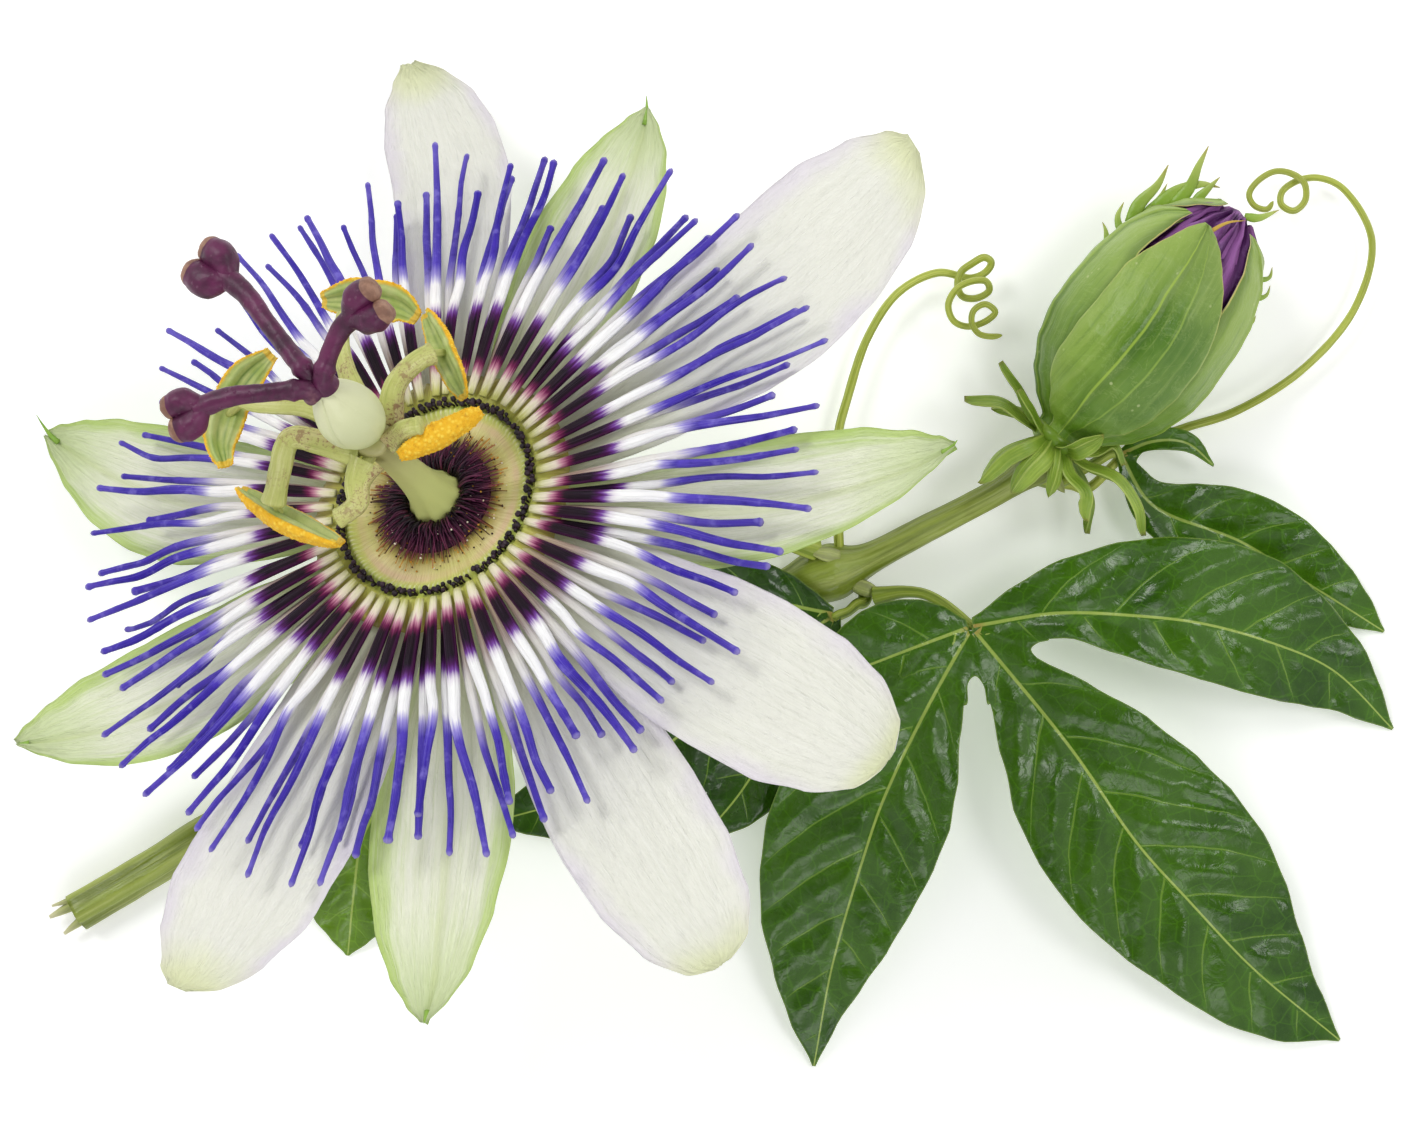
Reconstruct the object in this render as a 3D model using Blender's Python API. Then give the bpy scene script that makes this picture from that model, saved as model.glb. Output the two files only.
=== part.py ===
"""A cut sprig of blue passion-flower vine with an open flower, a bud, leaves and
coiled tendrils, lying on a level surface. Lengths are in millimetres until MM."""

import math
import random

import bmesh
import bpy
from mathutils import Matrix, Vector, geometry

# All driving dimensions are in millimetres; MM turns them into metres.
MM = 0.001

# The row's origin: centre of the footprint, on the surface the sprig lies on.
ORIGIN = (1.9, -0.2)
LIFT = -0.08

# The open flower: its centre, how far its face leans, and towards which compass angle.
FLOWER_CENTRE = (-22.4, 5.3, 27.0)
FLOWER_TILT = 35.0
FLOWER_LEAN = 133.0
DISC_R = 9.6
BEAD_R = 9.0
CORONA_ROOT_R = 10.2
CORONA_COUNT = 52
CORONA_TIP_R = 35.0
FILAMENT_D = 0.8
COLUMN_TOP = 11.0

# The bud: the middle of its base, the middle of its tip, and its greatest radius.
BUD_BASE = (31.9, 11.0, 7.4)
BUD_TIP = (48.1, 31.2, 9.4)
BUD_R = 7.9

# name, kind, direction, length, half width, sideways bend of the tip,
# height at the root, height at the tip, rise of the margins
TEPALS = (
    ("petal_1", "petal", 96.0, 49.0, 5.8, 5.8, -2.5, -4.1, 1.0),
    ("sepal_1", "sepal", 66.8, 40.8, 6.4, 1.9, -3.9, -3.7, 1.3),
    ("petal_2", "petal", 30.5, 50.8, 8.6, 5.0, -2.4, -3.0, 0.9),
    ("sepal_2", "sepal", -5.0, 45.2, 5.8, 5.1, -3.6, -3.6, 1.3),
    ("petal_3", "petal", -32.0, 50.9, 7.0, 0.0, -2.5, -2.6, 1.1),
    ("petal_4", "petal", -56.0, 52.2, 6.4, 0.8, -3.3, -3.7, 0.3),
    ("sepal_3", "sepal", -84.6, 45.4, 6.6, -1.0, -4.3, -4.4, 1.0),
    ("petal_5", "petal", -111.8, 47.1, 7.5, -1.9, -2.6, -2.8, 0.8),
    ("sepal_4", "sepal", -147.6, 43.8, 6.2, -6.0, -3.6, -3.4, 1.3),
    ("sepal_5", "sepal", 171.8, 44.7, 6.3, -6.2, -3.9, -3.4, 1.5),
)
TEPAL_ROOT_R = 7.2

# Half width along a tepal, as a share of its greatest, from root to tip.
PETAL_OUTLINE = ((0.0, 0.38), (0.12, 0.58), (0.3, 0.8), (0.5, 0.97), (0.62, 1.0),
                 (0.76, 0.96), (0.87, 0.78), (0.95, 0.47), (1.0, 0.14))
SEPAL_OUTLINE = ((0.0, 0.36), (0.14, 0.6), (0.32, 0.88), (0.5, 1.0), (0.64, 0.98),
                 (0.78, 0.82), (0.89, 0.56), (0.96, 0.28), (1.0, 0.05))

# Leaf lobes: midrib points (x, y, z), then the half widths on the left and on the
# right of the midrib, at eleven even stations from the junction to the tip.
LEAF_A = (
    (((24.6, -5.9, 6.8), (32.2, -4.7, 7.6), (38.7, -4.9, 8.0), (45.0, -5.6, 7.6),
      (51.4, -7.3, 6.0), (57.8, -10.0, 3.4), (63.8, -15.5, 0.4)),
     (0.8, 3.0, 5.0, 6.6, 7.4, 7.7, 7.3, 5.8, 3.7, 1.9, 0.15),
     (0.8, 2.2, 2.3, 3.5, 4.5, 5.0, 5.1, 4.8, 4.0, 2.2, 0.15)),
    (((24.8, -6.4, 6.8), (33.0, -16.4, 7.6), (39.4, -25.5, 7.2), (44.4, -31.0, 6.2),
      (50.4, -37.2, 3.8), (58.9, -44.2, 0.4)),
     (0.8, 2.7, 5.0, 7.4, 9.1, 9.7, 9.2, 7.7, 5.4, 2.6, 0.15),
     (0.8, 2.9, 5.5, 7.6, 8.3, 8.3, 7.8, 6.7, 5.6, 3.8, 0.15)),
    (((24.3, -6.4, 6.8), (21.2, -11.8, 7.6), (16.6, -21.2, 7.6), (14.3, -28.2, 6.4),
      (12.0, -36.9, 3.8), (10.4, -46.6, 0.4)),
     (0.8, 2.1, 3.8, 5.6, 6.6, 6.4, 5.6, 4.6, 3.1, 1.4, 0.15),
     (0.8, 3.5, 6.0, 7.5, 9.2, 9.4, 8.7, 7.4, 5.2, 3.0, 0.15)),
    (((24.2, -6.0, 6.8), (19.6, -7.7, 7.0), (14.5, -9.7, 6.4), (8.4, -12.2, 5.4)),
     (0.8, 1.8, 2.2, 2.4, 2.8, 3.2, 3.2, 2.8, 2.0, 1.0, 0.15),
     (0.8, 2.8, 4.0, 4.6, 4.9, 4.8, 4.3, 3.5, 2.5, 1.3, 0.15)),
)
LEAF_B = (
    (((12.2, -4.9, 4.8), (8.4, -12.6, 4.9), (3.8, -20.8, 4.4), (-0.6, -26.0, 3.4)),
     (0.6, 2.0, 3.2, 3.9, 4.2, 4.2, 3.9, 3.4, 2.6, 1.4, 0.15),
     (0.6, 2.0, 3.2, 3.9, 4.2, 4.2, 3.9, 3.4, 2.6, 1.4, 0.15)),
    (((12.0, -4.9, 4.8), (0.0, -14.4, 5.0), (-9.0, -20.6, 4.6), (-19.4, -24.0, 3.4)),
     (0.6, 2.2, 3.6, 4.7, 5.3, 5.6, 5.5, 5.0, 4.0, 2.2, 0.15),
     (0.6, 2.2, 3.6, 4.7, 5.3, 5.6, 5.5, 5.0, 4.0, 2.2, 0.15)),
    (((12.0, -4.8, 4.8), (4.0, -3.4, 4.6), (-3.0, -3.8, 4.4), (-9.5, -5.2, 4.0)),
     (0.6, 1.8, 2.8, 3.4, 3.8, 3.8, 3.5, 3.0, 2.2, 1.2, 0.15),
     (0.6, 1.8, 2.8, 3.4, 3.6, 3.6, 3.4, 2.9, 2.2, 1.2, 0.15)),
)
LEAF_C = (
    (((-29.2, -21.9, 3.4), (-31.0, -25.4, 3.2), (-31.8, -30.0, 2.2), (-32.6, -36.4, 0.4)),
     (0.5, 2.2, 3.6, 4.6, 5.2, 5.3, 5.0, 4.3, 3.3, 1.8, 0.15),
     (0.5, 2.2, 3.6, 4.6, 5.2, 5.3, 5.0, 4.3, 3.3, 1.8, 0.15)),
)
LEAF_D = (
    (((38.3, 9.8, 3.6), (41.2, 5.2, 3.2), (49.4, 1.8, 2.8), (56.6, -2.6, 2.0),
      (63.0, -6.5, 0.4)),
     (0.5, 1.5, 2.7, 3.7, 4.4, 4.7, 4.7, 4.2, 3.3, 2.0, 0.15),
     (0.5, 1.3, 2.3, 3.2, 3.9, 4.2, 4.1, 3.5, 2.6, 1.3, 0.15)),
    (((38.4, 9.8, 3.6), (41.2, 10.9, 4.3), (44.2, 10.8, 4.2), (46.9, 8.7, 3.4)),
     (0.4, 0.7, 0.9, 1.1, 1.2, 1.15, 1.05, 0.9, 0.65, 0.35, 0.12),
     (0.4, 0.6, 0.7, 0.8, 0.9, 0.95, 0.9, 0.75, 0.5, 0.3, 0.12)),
)
# The web of blade between two lobes, which ends in a rounded notch.
WEBS_A = (
    ((24.5, -6.1), (27.6, -5.6), (31.4, -7.1), (30.4, -7.4), (29.8, -7.95), (30.2, -8.6),
     (31.5, -9.5), (28.4, -9.8)),
    ((24.4, -6.3), (27.3, -9.4), (25.9, -13.0), (25.5, -11.2), (24.75, -10.4), (24.1, -11.0),
     (23.9, -13.0), (21.4, -11.6)),
    ((24.1, -6.1), (19.6, -7.4), (14.6, -10.6), (16.2, -10.9), (17.0, -11.5), (16.9, -12.4),
     (15.9, -15.0), (20.6, -12.6)),
)
WEBS_B = (
    ((12.1, -4.9), (8.9, -11.4), (6.2, -13.4), (6.0, -12.6), (5.4, -12.2), (4.6, -12.2), (4.4, -10.8)),
    ((12.0, -4.8), (7.0, -8.6), (2.8, -9.4), (3.3, -8.6), (3.2, -7.8), (2.4, -7.2), (4.6, -4.0)),
)
WEBS_D = (
    ((38.5, 9.9), (38.9, 7.6), (42.2, 5.2), (42.0, 7.1), (40.7, 7.6), (39.9, 8.3), (39.8, 9.1),
     (40.3, 9.9), (41.4, 10.2), (40.2, 10.8)),
)

# Round members: (x, y, z, radius) along each.
STEM = ((-57.4, -32.2, 1.75, 1.75), (-50.4, -28.1, 1.75, 1.7), (-45.4, -25.0, 1.7, 1.65),
        (-34.0, -19.8, 1.6, 1.5), (-20.0, -13.6, 1.6, 1.45), (-6.0, -7.6, 1.6, 1.4),
        (6.0, -3.0, 1.7, 1.4), (11.4, -1.3, 1.9, 1.9), (14.6, -0.2, 2.3, 1.45),
        (20.4, 2.8, 3.4, 1.25), (27.0, 6.3, 5.2, 1.2), (30.2, 8.6, 6.4, 1.45),
        (31.2, 9.8, 7.0, 1.3))
PETIOLE_A = ((15.9, -3.2, 3.2, 0.75), (18.4, -2.8, 4.1, 0.55), (20.3, -3.0, 4.9, 0.5),
             (22.0, -3.9, 5.5, 0.5), (23.4, -5.0, 5.8, 0.5), (24.2, -5.7, 5.9, 0.5))
PETIOLE_B = ((15.0, -3.6, 2.2, 0.6), (14.2, -4.0, 3.2, 0.5), (13.4, -4.6, 4.0, 0.45),
             (12.6, -4.9, 4.5, 0.5))
PETIOLE_C = ((-28.3, -19.2, 2.4, 0.5), (-28.6, -20.2, 3.0, 0.45), (-28.9, -21.0, 3.1, 0.45))
PETIOLE_D = ((32.4, 7.2, 4.6, 0.6), (34.6, 8.2, 3.9, 0.5), (36.4, 9.2, 3.6, 0.45),
             (37.5, 9.8, 3.5, 0.45))
PEDUNCLE = ((10.4, 1.1, 3.6, 1.1), (5.0, 2.8, 6.4, 1.0), (-3.0, 3.0, 9.8, 1.0),
            (-10.6, 1.0, 12.6, 1.0), (-15.8, -0.5, 14.8, 1.05), (-17.8, 0.2, 17.0, 1.2),
            (-18.6, 1.2, 19.0, 1.35))
TENDRIL_LEFT = (
    (12.6, 2.2, 2.4), (12.5, 6.5, 2.4), (12.6, 11.6, 2.4), (13.4, 14.8, 2.5),
    (15.3, 20.5, 2.6), (18.1, 24.6, 2.7), (21.7, 26.4, 2.9), (24.8, 25.9, 3.0),
    (26.1, 26.5, 3.2), (26.5, 27.3, 3.5), (25.9, 27.7, 3.7), (24.7, 27.1, 4.0),
    (23.7, 26.3, 4.2), (23.4, 25.1, 4.4), (23.8, 24.1, 4.7), (25.0, 23.9, 4.9),
    (26.2, 24.6, 5.2), (25.9, 25.4, 5.4), (24.6, 25.4, 5.6), (23.2, 24.7, 5.9),
    (22.4, 23.2, 6.1), (22.9, 21.7, 6.4), (24.2, 21.2, 6.6), (25.8, 21.7, 6.8),
    (26.6, 22.5, 7.1), (25.7, 23.2, 7.3), (24.6, 22.6, 7.6), (24.4, 21.5, 7.8),
    (25.0, 20.5, 8.0), (26.1, 20.2, 8.3), (27.1, 20.3, 8.6))
TENDRIL_RIGHT = (
    (35.2, 6.6, 3.4), (39.6, 10.4, 2.6), (44.4, 12.2, 2.2), (49.0, 13.7, 2.2),
    (55.2, 17.6, 2.3), (60.0, 23.3, 2.3), (61.5, 29.5, 2.3), (58.9, 34.1, 2.4),
    (56.8, 35.1, 2.4), (54.8, 34.9, 2.6), (53.2, 33.8, 2.8), (53.1, 32.6, 3.1),
    (54.2, 32.0, 3.3), (55.2, 32.9, 3.5), (55.1, 34.5, 3.7), (53.8, 35.4, 3.9),
    (52.2, 35.5, 4.2), (50.5, 34.4, 4.4), (49.9, 33.3, 4.6), (50.4, 32.3, 4.8),
    (51.5, 32.0, 5.0), (52.0, 32.7, 5.3))
TENDRIL_R = (0.48, 0.34)

# The parts below stand in the flower's own frame: x, y across its face and z out of it.
OVARY = ((0.0, 0.0, 11.4), (0.0, 0.0, 19.6), 2.75)
STYLES = (
    ((-1.2, 1.2, 21.6), (-3.9, 4.6, 22.9), (-6.4, 7.7, 23.9), (-8.0, 8.9, 24.3)),
    ((0.7, 0.4, 21.3), (1.7, 2.2, 22.4), (3.2, 3.7, 23.4), (4.6, 4.1, 23.9)),
    ((-1.3, -0.5, 21.2), (-4.3, -0.9, 22.2), (-7.2, -1.3, 22.8), (-9.0, -2.0, 23.0)),
)
STIGMAS = (((-9.3, 9.9, 24.5), 2.45), ((5.4, 4.5, 24.1), 2.2), ((-10.6, -2.4, 23.0), 2.1))
STAMENS = (
    ((-1.4, -1.0, 11.0), (-4.5, -0.4, 12.4), (-7.1, 0.1, 12.8), (-8.5, -2.3, 11.4), (-9.5, -4.7, 10.1)),
    ((-0.7, -1.75, 10.8), (-1.5, -3.4, 10.4), (-1.6, -4.9, 9.8), (-2.7, -5.5, 9.3), (-3.9, -5.9, 9.0)),
    ((1.6, -0.4, 11.1), (3.3, 0.0, 12.3), (5.1, -0.1, 12.8)),
    ((0.95, 1.4, 11.1), (2.2, 4.2, 12.7), (4.0, 6.2, 12.6), (5.1, 7.0, 12.1)),
    ((-0.7, 1.9, 11.1), (-2.3, 4.8, 12.3), (-3.3, 7.1, 12.6), (-4.1, 9.5, 12.3), (-4.4, 12.3, 11.4)),
    ((-1.75, 0.5, 11.2), (-5.4, 2.6, 12.7), (-11.6, 4.2, 12.1), (-13.2, 5.2, 11.4)),
)
STAMEN_W = (0.72, 0.6)
ANTHERS = (
    ((-14.0, -1.6, 8.6), (-9.4, -4.5, 8.5), (-3.6, -7.7, 8.4)),
    ((2.6, -1.9, 11.3), (6.1, -0.15, 11.1), (9.4, 1.7, 10.8)),
    ((2.5, 12.0, 10.4), (4.9, 7.9, 10.9), (7.4, 3.4, 10.4)),
    ((-8.3, 15.1, 9.5), (-3.6, 14.3, 10.1), (-0.1, 13.2, 10.1), (1.4, 12.1, 9.5)),
    ((-12.1, 10.3, 9.9), (-14.1, 7.8, 10.4), (-15.3, 4.8, 10.4), (-15.7, 2.2, 10.1), (-15.0, -0.1, 9.8)),
)
# Half width, half depth and roll of each anther; no roll turns its green face to the sky.
ANTHER_SHAPE = ((1.6, 1.45, 1.2), (0.95, 0.7, 2.75), (1.25, 0.85, -0.7), (1.6, 0.8, -0.3), (1.5, 0.8, 0.12))

# Each bract: angle round the bud's stalk, then its course as (across, up, along
# the bud) from the collar, and its half width. Across is +X of the bud's frame.
BRACTS = (
    (210.0, ((-3.4, -1.4, -1.0), (-6.2, -2.0, -2.4), (-7.7, -2.2, -4.9)), 0.65),
    (188.0, ((-3.6, -0.3, 1.2), (-4.5, -0.2, 2.8), (-6.3, -0.5, 1.9)), 0.55),
    (166.0, ((-3.6, 0.7, -0.1), (-6.6, 1.2, 0.8), (-9.6, 1.0, -0.1), (-11.6, 0.0, -1.9)), 1.0),
    (144.0, ((-3.0, 1.8, -1.5), (-5.4, 2.2, -2.1), (-6.6, 1.4, -4.0)), 1.0),
    (122.0, ((-1.7, 3.0, 0.3), (-2.4, 3.7, 1.7), (-3.0, 4.2, 2.9)), 1.0),
    (100.0, ((-1.3, 2.6, -1.4), (-2.1, 2.8, -2.8), (-2.7, 2.3, -4.4)), 0.65),
    (80.0, ((0.1, 3.3, -1.7), (0.3, 3.7, -3.6), (0.1, 3.3, -6.2)), 1.05),
    (56.0, ((1.6, 2.9, -1.6), (2.7, 3.2, -4.0), (2.8, 2.6, -7.3)), 0.95),
    (34.0, ((2.3, 2.3, 0.1), (3.8, 2.8, 0.7), (5.5, 2.9, 1.2)), 0.75),
    (14.0, ((3.7, 1.0, -0.3), (6.2, 1.2, -0.6), (8.5, 0.6, -2.4)), 1.05),
    (-8.0, ((3.3, -0.4, 0.5), (5.5, -0.4, 1.4), (8.2, -0.9, 2.2)), 0.7),
    (-50.0, ((2.8, -2.4, 0.2), (4.6, -3.4, -0.4), (6.0, -4.2, -1.4)), 0.8),
    (-95.0, ((-0.2, -2.9, 0.4), (-0.4, -4.1, 1.3), (-0.5, -4.9, 2.7)), 0.8),
)
BUD_OUTLINE = ((0.0, 0.26), (0.05, 0.46), (0.12, 0.68), (0.22, 0.87), (0.34, 0.98),
               (0.45, 1.0), (0.58, 0.98), (0.7, 0.91), (0.82, 0.77), (0.92, 0.56),
               (1.0, 0.24))
# Edges of each bud sepal, in degrees round the bud, at shares of the bud's length
# from its foot to its tip.
BUD_SEPALS = (
    ((0.03, 50.0, 134.0), (0.15, 44.0, 139.0), (0.3, 49.0, 136.5), (0.44, 51.5, 133.5), (0.52, 51.5, 131.0),
     (0.6, 51.0, 126.0), (0.66, 53.0, 121.5), (0.72, 56.5, 115.0), (0.78, 60.0, 106.0), (0.83, 63.0, 96.5),
     (0.86, 66.0, 87.5), (0.885, 69.0, 76.0)),
    ((0.03, 134.0, 204.0), (0.15, 139.0, 207.0), (0.3, 136.5, 208.0), (0.44, 133.5, 208.0), (0.52, 131.0, 208.0),
     (0.6, 126.0, 208.0), (0.66, 122.5, 208.0), (0.72, 123.0, 208.0), (0.78, 124.0, 206.0), (0.83, 124.5, 201.0),
     (0.88, 124.5, 188.0), (0.93, 124.0, 160.0), (0.96, 124.0, 138.0)),
    ((0.03, -24.0, 50.0), (0.15, -27.0, 44.0), (0.3, -28.0, 49.0), (0.44, -28.0, 51.5), (0.52, -28.0, 51.5),
     (0.6, -28.0, 51.0), (0.66, -28.0, 51.0), (0.72, -26.0, 51.0), (0.78, -15.0, 50.8), (0.83, 5.0, 50.5),
     (0.86, 22.0, 50.0), (0.886, 40.0, 49.5)),
    ((0.03, 272.0, 336.0), (0.15, 270.0, 333.0), (0.3, 270.0, 332.0), (0.44, 270.0, 332.0), (0.52, 270.0, 332.0),
     (0.6, 270.0, 332.0), (0.66, 270.0, 332.0), (0.72, 270.0, 334.0), (0.78, 270.0, 345.0), (0.83, 272.0, 365.0),
     (0.86, 275.0, 382.0), (0.9, 282.0, 396.0), (0.93, 292.0, 402.0), (0.97, 318.0, 412.0), (1.0, 356.0, 414.0)),
    ((0.03, 204.0, 272.0), (0.15, 207.0, 270.0), (0.3, 208.0, 270.0), (0.44, 208.0, 270.0), (0.52, 208.0, 270.0),
     (0.6, 208.0, 270.0), (0.66, 208.0, 270.0), (0.72, 208.0, 270.0), (0.78, 208.0, 268.0), (0.83, 210.0, 264.0),
     (0.88, 218.0, 256.0), (0.93, 232.0, 242.0)),
)


def world(x, y, z):
    """A point given in sprig millimetres, as metres in the row's frame."""
    return Vector(((x - ORIGIN[0]) * MM, (y - ORIGIN[1]) * MM, (z + LIFT) * MM))


def table(pairs, t):
    """Value at t on a smooth curve through (station, value) pairs."""
    if t <= pairs[0][0]:
        return pairs[0][1]
    for (t0, v0), (t1, v1) in zip(pairs, pairs[1:]):
        if t <= t1:
            k = (t - t0) / (t1 - t0)
            return v0 + (v1 - v0) * k * k * (3 - 2 * k) * 0.35 + (v1 - v0) * k * 0.65
    return pairs[-1][1]


def smooth_path(points, count):
    """count points, evenly spaced, on a centripetal Catmull-Rom curve through the route."""
    pts = [tuple(float(c) for c in p) for p in points]
    first = tuple(2 * a - b for a, b in zip(pts[0], pts[1]))
    last = tuple(2 * a - b for a, b in zip(pts[-1], pts[-2]))
    ext = [first] + pts + [last]
    fine = []
    for i in range(1, len(ext) - 2):
        p0, p1, p2, p3 = ext[i - 1:i + 3]
        t1 = max(math.dist(p0[:3], p1[:3]), 1e-6) ** 0.5
        t2 = t1 + max(math.dist(p1[:3], p2[:3]), 1e-6) ** 0.5
        t3 = t2 + max(math.dist(p2[:3], p3[:3]), 1e-6) ** 0.5
        for j in range(20):
            t = t1 + (t2 - t1) * j / 20
            point = []
            for a, b, c, d in zip(p0, p1, p2, p3):
                ab = a + (b - a) * t / t1
                bc = b + (c - b) * (t - t1) / (t2 - t1)
                cd = c + (d - c) * (t - t2) / (t3 - t2)
                abc = ab + (bc - ab) * t / t2
                bcd = bc + (cd - bc) * (t - t1) / (t3 - t1)
                point.append(abc + (bcd - abc) * (t - t1) / (t2 - t1))
            fine.append(tuple(point))
    fine.append(pts[-1])
    run = [0.0]
    for a, b in zip(fine, fine[1:]):
        run.append(run[-1] + math.dist(a[:3], b[:3]))
    out = []
    k = 0
    for i in range(count):
        s = run[-1] * i / (count - 1)
        while k < len(fine) - 2 and run[k + 1] < s:
            k += 1
        f = (s - run[k]) / max(run[k + 1] - run[k], 1e-9)
        out.append(tuple(a + (b - a) * f for a, b in zip(fine[k], fine[k + 1])))
    return out


def flower_matrix():
    """Places the flower's own frame: leaned by FLOWER_TILT towards FLOWER_LEAN."""
    lean = math.radians(FLOWER_LEAN)
    axis = Vector((-math.sin(lean), math.cos(lean), 0.0))
    turn = Matrix.Rotation(math.radians(FLOWER_TILT), 4, axis)
    return Matrix.Translation(world(*FLOWER_CENTRE)) @ turn


def bud_matrix():
    """Places the bud's own frame: z runs up the bud, x across it, y towards the sky."""
    base = world(*BUD_BASE)
    z = (world(*BUD_TIP) - base).normalized()
    x = Vector((0, 0, 1)).cross(z).normalized()
    y = z.cross(x)
    turn = Matrix((x, y, z)).transposed().to_4x4()
    return Matrix.Translation(base) @ turn


def tepal_point(tepal, u, v):
    """A point of a tepal in the flower's frame: u from root to tip, v across, -1 to 1."""
    _, kind, phi, length, half, bend, h_root, h_tip, rise = tepal
    outline = PETAL_OUTLINE if kind == "petal" else SEPAL_OUTLINE
    width = half * table(outline, u)
    r = TEPAL_ROOT_R + (length - TEPAL_ROOT_R) * u
    k = max(0.0, (u - 0.45) / 0.55)
    side = bend * k * k * (1.4 - 0.4 * k)
    h = h_root + (h_tip - h_root) * u
    cup = rise * v * v * min(1.0, 0.25 + 1.3 * u) * width / half
    if kind == "petal":
        hood = max(0.0, (u - 0.9) / 0.1)
        h += cup + 0.25 * math.sin(math.pi * u) + 1.3 * hood * hood
        r -= 0.9 * hood * hood
    else:
        keel = max(0.0, (u - 0.86) / 0.14)
        h += cup + 0.9 * keel * keel
    a = math.radians(phi)
    lateral = side + v * width
    return Vector((r * math.cos(a) - lateral * math.sin(a),
                   r * math.sin(a) + lateral * math.cos(a), h)) * MM


def lobe_rows(lobe, count):
    """Midrib samples of a leaf lobe: (position, left normal, left width, right width)."""
    path = smooth_path(lobe[0], count)
    rows = []
    for i, p in enumerate(path):
        a, b = path[max(i - 1, 0)], path[min(i + 1, count - 1)]
        dx, dy = b[0] - a[0], b[1] - a[1]
        n = math.hypot(dx, dy)
        t = i / (count - 1)
        stations = [(j / 10, w) for j, w in enumerate(lobe[1])]
        left = table(stations, t)
        right = table([(j / 10, w) for j, w in enumerate(lobe[2])], t)
        rows.append((p, (-dy / n, dx / n), left, right))
    return rows


def lobe_place(rows, x, y):
    """(along 0..1, side -1..1 and beyond, distance in mm, midrib height) of a point."""
    best = None
    for i in range(len(rows) - 1):
        a, b = rows[i][0], rows[i + 1][0]
        dx, dy = b[0] - a[0], b[1] - a[1]
        k = ((x - a[0]) * dx + (y - a[1]) * dy) / max(dx * dx + dy * dy, 1e-9)
        over = k < 0 and i == 0 or k > 1 and i == len(rows) - 2
        kc = min(1.0, max(0.0, k))
        qx, qy = a[0] + dx * kc, a[1] + dy * kc
        d = math.hypot(x - qx, y - qy)
        if best is None or d < best[0]:
            cross = dx * (y - a[1]) - dy * (x - a[0])
            best = (d, i, kc, 1 if cross > 0 else -1, over)
    d, i, k, sign, over = best
    a, b = rows[i], rows[i + 1]
    j = 2 if sign > 0 else 3
    width = a[j] + (b[j] - a[j]) * k
    z = a[0][2] + (b[0][2] - a[0][2]) * k
    along = (i + k) / (len(rows) - 1)
    side = sign * d / max(width, 0.05)
    if over:
        side = sign * max(abs(side), 1.5)
    return along, side, sign * d, z


def blade_height(lobes, x, y):
    """Height of a leaf blade: a shallow fold along each midrib, lobes blended."""
    total = height = 0.0
    for rows in lobes:
        along, side, d, z = lobe_place(rows, x, y)
        z += 0.1 * abs(d) - 0.013 * d * d
        w = math.exp(-6.0 * min(3.0, abs(side)))
        total += w
        height += w * z
    return height / total


def in_loop(loop, x, y):
    inside = False
    for (x0, y0), (x1, y1) in zip(loop, loop[1:] + loop[:1]):
        if (y0 > y) != (y1 > y) and x < (x1 - x0) * (y - y0) / (y1 - y0) + x0:
            inside = not inside
    return inside


def web_loop(points, fine):
    """A web's outline, anticlockwise, with its corners rounded where fine is set."""
    loop = [tuple(p) for p in points]
    area = sum(a[0] * b[1] - b[0] * a[1] for a, b in zip(loop, loop[1:] + loop[:1]))
    if area < 0:
        loop.reverse()
    if fine:
        around = [(*p, 0.0) for p in loop[-2:] + loop + loop[:3]]
        path = smooth_path(around, fine * len(around))
        step = fine * len(around) // (len(around) - 1)
        start = min(range(len(path)), key=lambda i: math.dist(path[i][:2], loop[0]) + (9 if i > len(path) // 2 else 0))
        end = min(range(len(path)), key=lambda i: math.dist(path[i][:2], loop[0]) + (9 if i < len(path) // 2 else 0))
        loop = [p[:2] for p in path[start:end]]
    return loop


def leaf_plan(leaf, webs, stations, spacing, fine=0, keep=0.45):
    """Plan of a leaf: points and triangles that fill the union of its lobes and webs."""
    lobes = [lobe_rows(lobe, stations) for lobe in leaf]
    coords, faces = [], []
    for rows in lobes:
        loop = []
        for p, n, left, _ in rows:
            loop.append((p[0] + n[0] * left, p[1] + n[1] * left))
        for p, n, _, right in reversed(rows):
            loop.append((p[0] - n[0] * right, p[1] - n[1] * right))
        loop.reverse()
        faces.append(list(range(len(coords), len(coords) + len(loop))))
        coords += loop
    loops = [web_loop(web, fine) for web in webs]
    for loop in loops:
        faces.append(list(range(len(coords), len(coords) + len(loop))))
        coords += loop
    border = list(coords)
    xs = [c[0] for c in coords]
    ys = [c[1] for c in coords]
    row = 0
    y = min(ys)
    while y < max(ys):
        x = min(xs) + (spacing / 2 if row % 2 else 0)
        while x < max(xs):
            inside = (any(abs(lobe_place(rows, x, y)[1]) < 1 for rows in lobes)
                      or any(in_loop(loop, x, y) for loop in loops))
            if inside and min(math.dist((x, y), c) for c in border) > keep * spacing:
                coords.append((x, y))
            x += spacing
        y += spacing * 0.866
        row += 1
    made = geometry.delaunay_2d_cdt([Vector(c) for c in coords], [], faces, 1, 1e-4)
    return lobes, [tuple(v) for v in made[0]], made[2]


def grid_faces(nu, nv, wrap=False, base=0, flip=False):
    """Quads of a grid of points, nu by nv faces, closed on itself where wrap is set."""
    faces = []
    cols = nv if wrap else nv + 1
    for i in range(nu):
        for j in range(nv):
            a = base + i * cols + j
            b = base + i * cols + (j + 1) % cols
            c = base + (i + 1) * cols + (j + 1) % cols
            d = base + (i + 1) * cols + j
            faces.append((a, d, c, b) if flip else (a, b, c, d))
    return faces


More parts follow.
